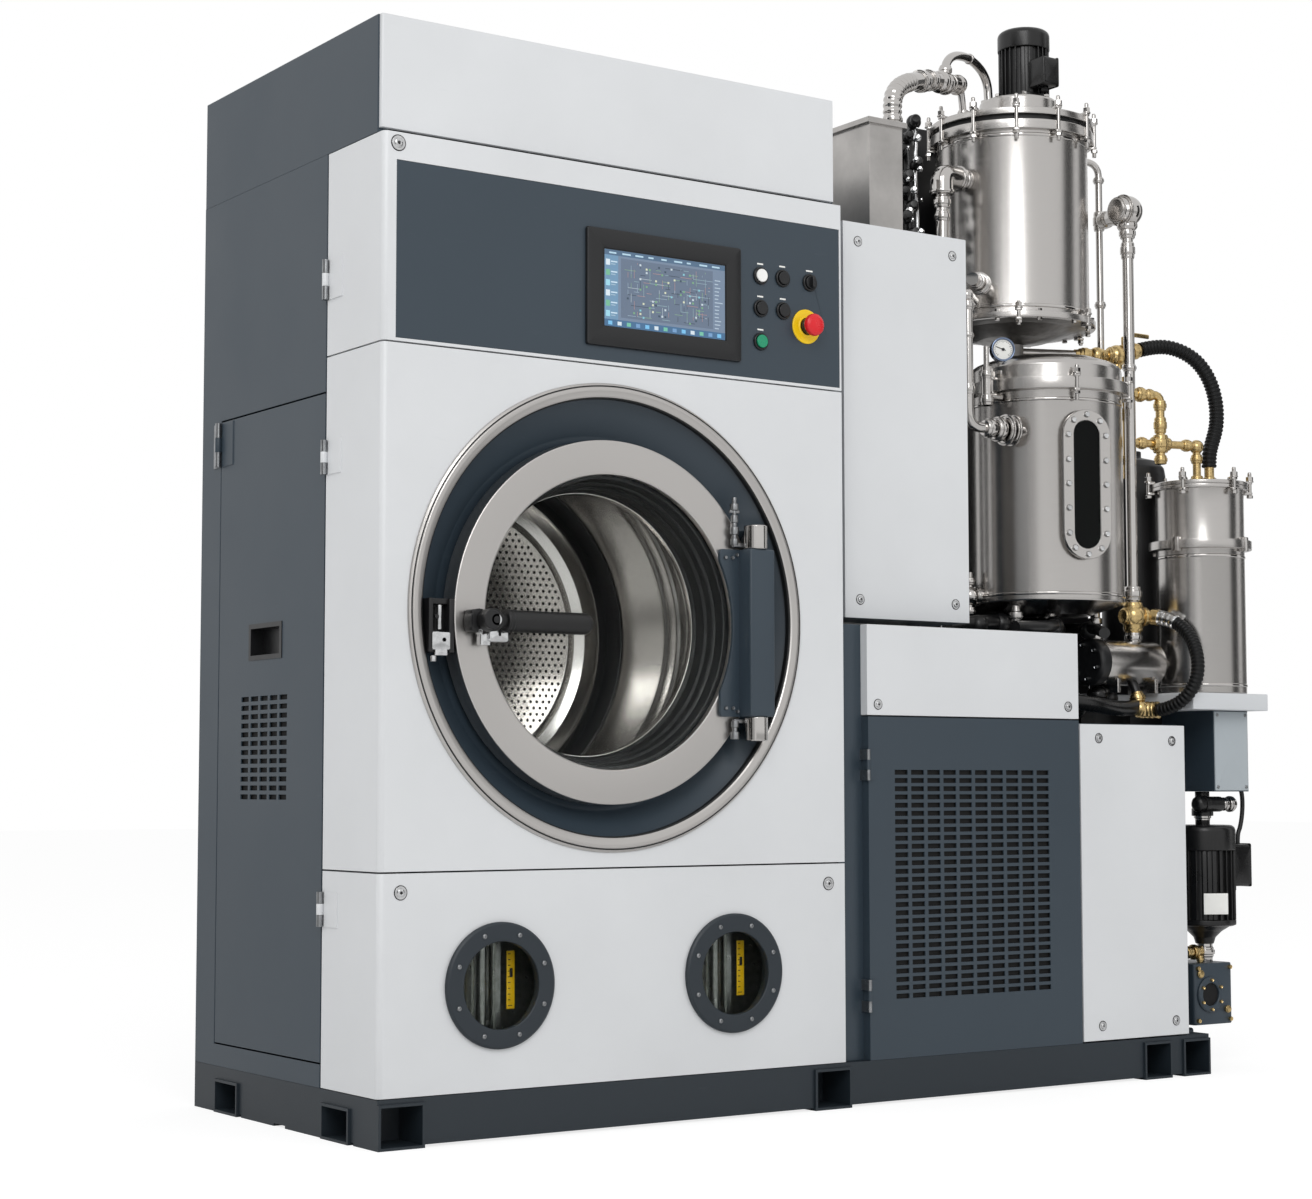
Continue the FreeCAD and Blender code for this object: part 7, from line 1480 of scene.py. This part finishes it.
class LAUNDRY_OT_stage(bpy.types.Operator):
    """Floor, world, lamps and camera"""
    bl_idname = "laundry.stage"
    bl_label = "Stage"

    def execute(self, context):
        scene = context.scene
        scene.view_settings.view_transform = "Standard"
        lens = bpy.data.cameras.new("Camera")
        lens.sensor_fit, lens.sensor_width, lens.lens = "HORIZONTAL", 36.0, 68.42
        lens.clip_start, lens.clip_end = 0.1, 200.0
        yaw, pitch, roll = (math.radians(a) for a in (34.484, 4.288, -0.05))
        ahead = Vector((math.sin(yaw) * math.cos(pitch), math.cos(yaw) * math.cos(pitch), math.sin(pitch)))
        right = Vector((math.cos(yaw), -math.sin(yaw), 0))
        up = right.cross(ahead)
        across = right * math.cos(roll) + up * math.sin(roll)
        upward = up * math.cos(roll) - right * math.sin(roll)
        matrix = Matrix((across, upward, -ahead)).transposed().to_4x4()
        matrix.translation = (-3.156596, -4.107595, 0.612386)
        camera = bpy.data.objects.new("Camera", lens)
        camera.matrix_world = matrix
        scene.collection.objects.link(camera)
        scene.camera = camera
        self.world(scene)
        self.floor(scene)
        lamp("Key_lamp", (3.4, 3.4), (-3.4, -4.4, 4.2), (0, 0, 1.0), 130)
        lamp("Side_lamp", (2.4, 3.6), (-5.4, 0.4, 2.2), (-1.1, 0.1, 1.0), 22)
        lamp("Fill_lamp", (3.0, 3.0), (3.6, -4.2, 2.6), (0.6, 0, 1.0), 50, seen=False)
        for name, tone, wide, place in (("Card_left", 0.8, 1.0, (-2.85, -2.99, 1.4)),
                                        ("Card_mid_left", 0.45, 1.3, (-3.4, -1.9, 1.4)),
                                        ("Card_far_left", 0.03, 2.4, (-4.5, -0.3, 1.4)),
                                        ("Card_right", 0.03, 1.3, (3.3, -2.2, 1.4)),
                                        ("Card_far_right", 0.12, 2.0, (4.6, 0.1, 1.4))):
            card(name, tone, (wide, 4.5), place, (0.65, 0, 1.4))
        return {"FINISHED"}

    def world(self, scene):
        """White for the camera, metal and glass; a plain level of light for the rest."""
        world = bpy.data.worlds.new("Studio")
        scene.world = world
        world.use_nodes = True
        tree = world.node_tree
        tree.nodes.clear()
        path = node(tree, "LightPath")
        seen = node(tree, "Math", {"operation": "ADD"}, i0=path.outputs["Is Camera Ray"],
                    i1=path.outputs["Is Transmission Ray"])
        level = node(tree, "MapRange", Value=seen, i1=0.0, i2=1.0, i3=0.62, i4=1.0)
        mirror = node(tree, "Mix", i0=path.outputs["Is Glossy Ray"], i2=level, i3=0.84)
        back = node(tree, "Background", Color=(1, 1, 1, 1), Strength=mirror)
        node(tree, "OutputWorld", Surface=back)

    def floor(self, scene):
        """A pale floor that shows white with the machine's soft shadow on it."""
        material, tree, at = start("Pale floor")
        dust = node(tree, "TexNoise", Vector=at, Scale=3.0, Detail=3.0)
        tone = blend_colours(tree, dust, linear("#e6e6e6"), linear("#ececec"))
        plain = node(tree, "BsdfDiffuse", Color=tone)
        dim = node(tree, "BsdfDiffuse", Color=linear("#9a9a9a"))
        lift = node(tree, "Emission", Color=(1, 1, 1, 1), Strength=0.78)
        both = node(tree, "AddShader", i0=dim, i1=lift)
        ray = node(tree, "LightPath").outputs["Is Camera Ray"]
        end(tree, node(tree, "MixShader", i0=ray, i1=plain, i2=both))
        mesh = bpy.data.meshes.new("Floor")
        mesh.from_pydata([(-30, -30, 0), (30, -30, 0), (30, 30, 0), (-30, 30, 0)], [], [(0, 1, 2, 3)])
        mesh.materials.append(material)
        ground = bpy.data.objects.new("Floor", mesh)
        scene.collection.objects.link(ground)


class LAUNDRY_PT_machine(bpy.types.Panel):
    """Sizes, colours and steps of the dry cleaning machine"""
    bl_idname = "LAUNDRY_PT_machine"
    bl_label = "Dry Cleaning Machine"
    bl_space_type = "VIEW_3D"
    bl_region_type = "UI"
    bl_category = "Laundry"

    def draw(self, context):
        for group in (context.scene.machine_sizes, context.scene.machine_colours):
            column = self.layout.column(align=True)
            for key in group.bl_rna.properties.keys():
                if key not in ("rna_type", "name"):
                    column.prop(group, key)
        for step in STEPS:
            self.layout.operator(step.bl_idname)


STEPS = (LAUNDRY_OT_finishes, LAUNDRY_OT_stage, LAUNDRY_OT_hoses, LAUNDRY_OT_casing, LAUNDRY_OT_controls,
         LAUNDRY_OT_loading_door, LAUNDRY_OT_drum, LAUNDRY_OT_portholes, LAUNDRY_OT_still, LAUNDRY_OT_filter,
         LAUNDRY_OT_side_tanks, LAUNDRY_OT_pipework, LAUNDRY_OT_pump)
CLASSES = (MachineSizes, MachineColours, *STEPS, LAUNDRY_PT_machine)


def register():
    for item in CLASSES:
        bpy.utils.register_class(item)
    bpy.types.Scene.machine_sizes = PointerProperty(type=MachineSizes)
    bpy.types.Scene.machine_colours = PointerProperty(type=MachineColours)


def unregister():
    del bpy.types.Scene.machine_sizes, bpy.types.Scene.machine_colours
    for item in reversed(CLASSES):
        bpy.utils.unregister_class(item)


def main():
    register()
    for step in STEPS:
        group, name = step.bl_idname.split(".")
        getattr(getattr(bpy.ops, group), name)()


if __name__ == "__main__":
    main()
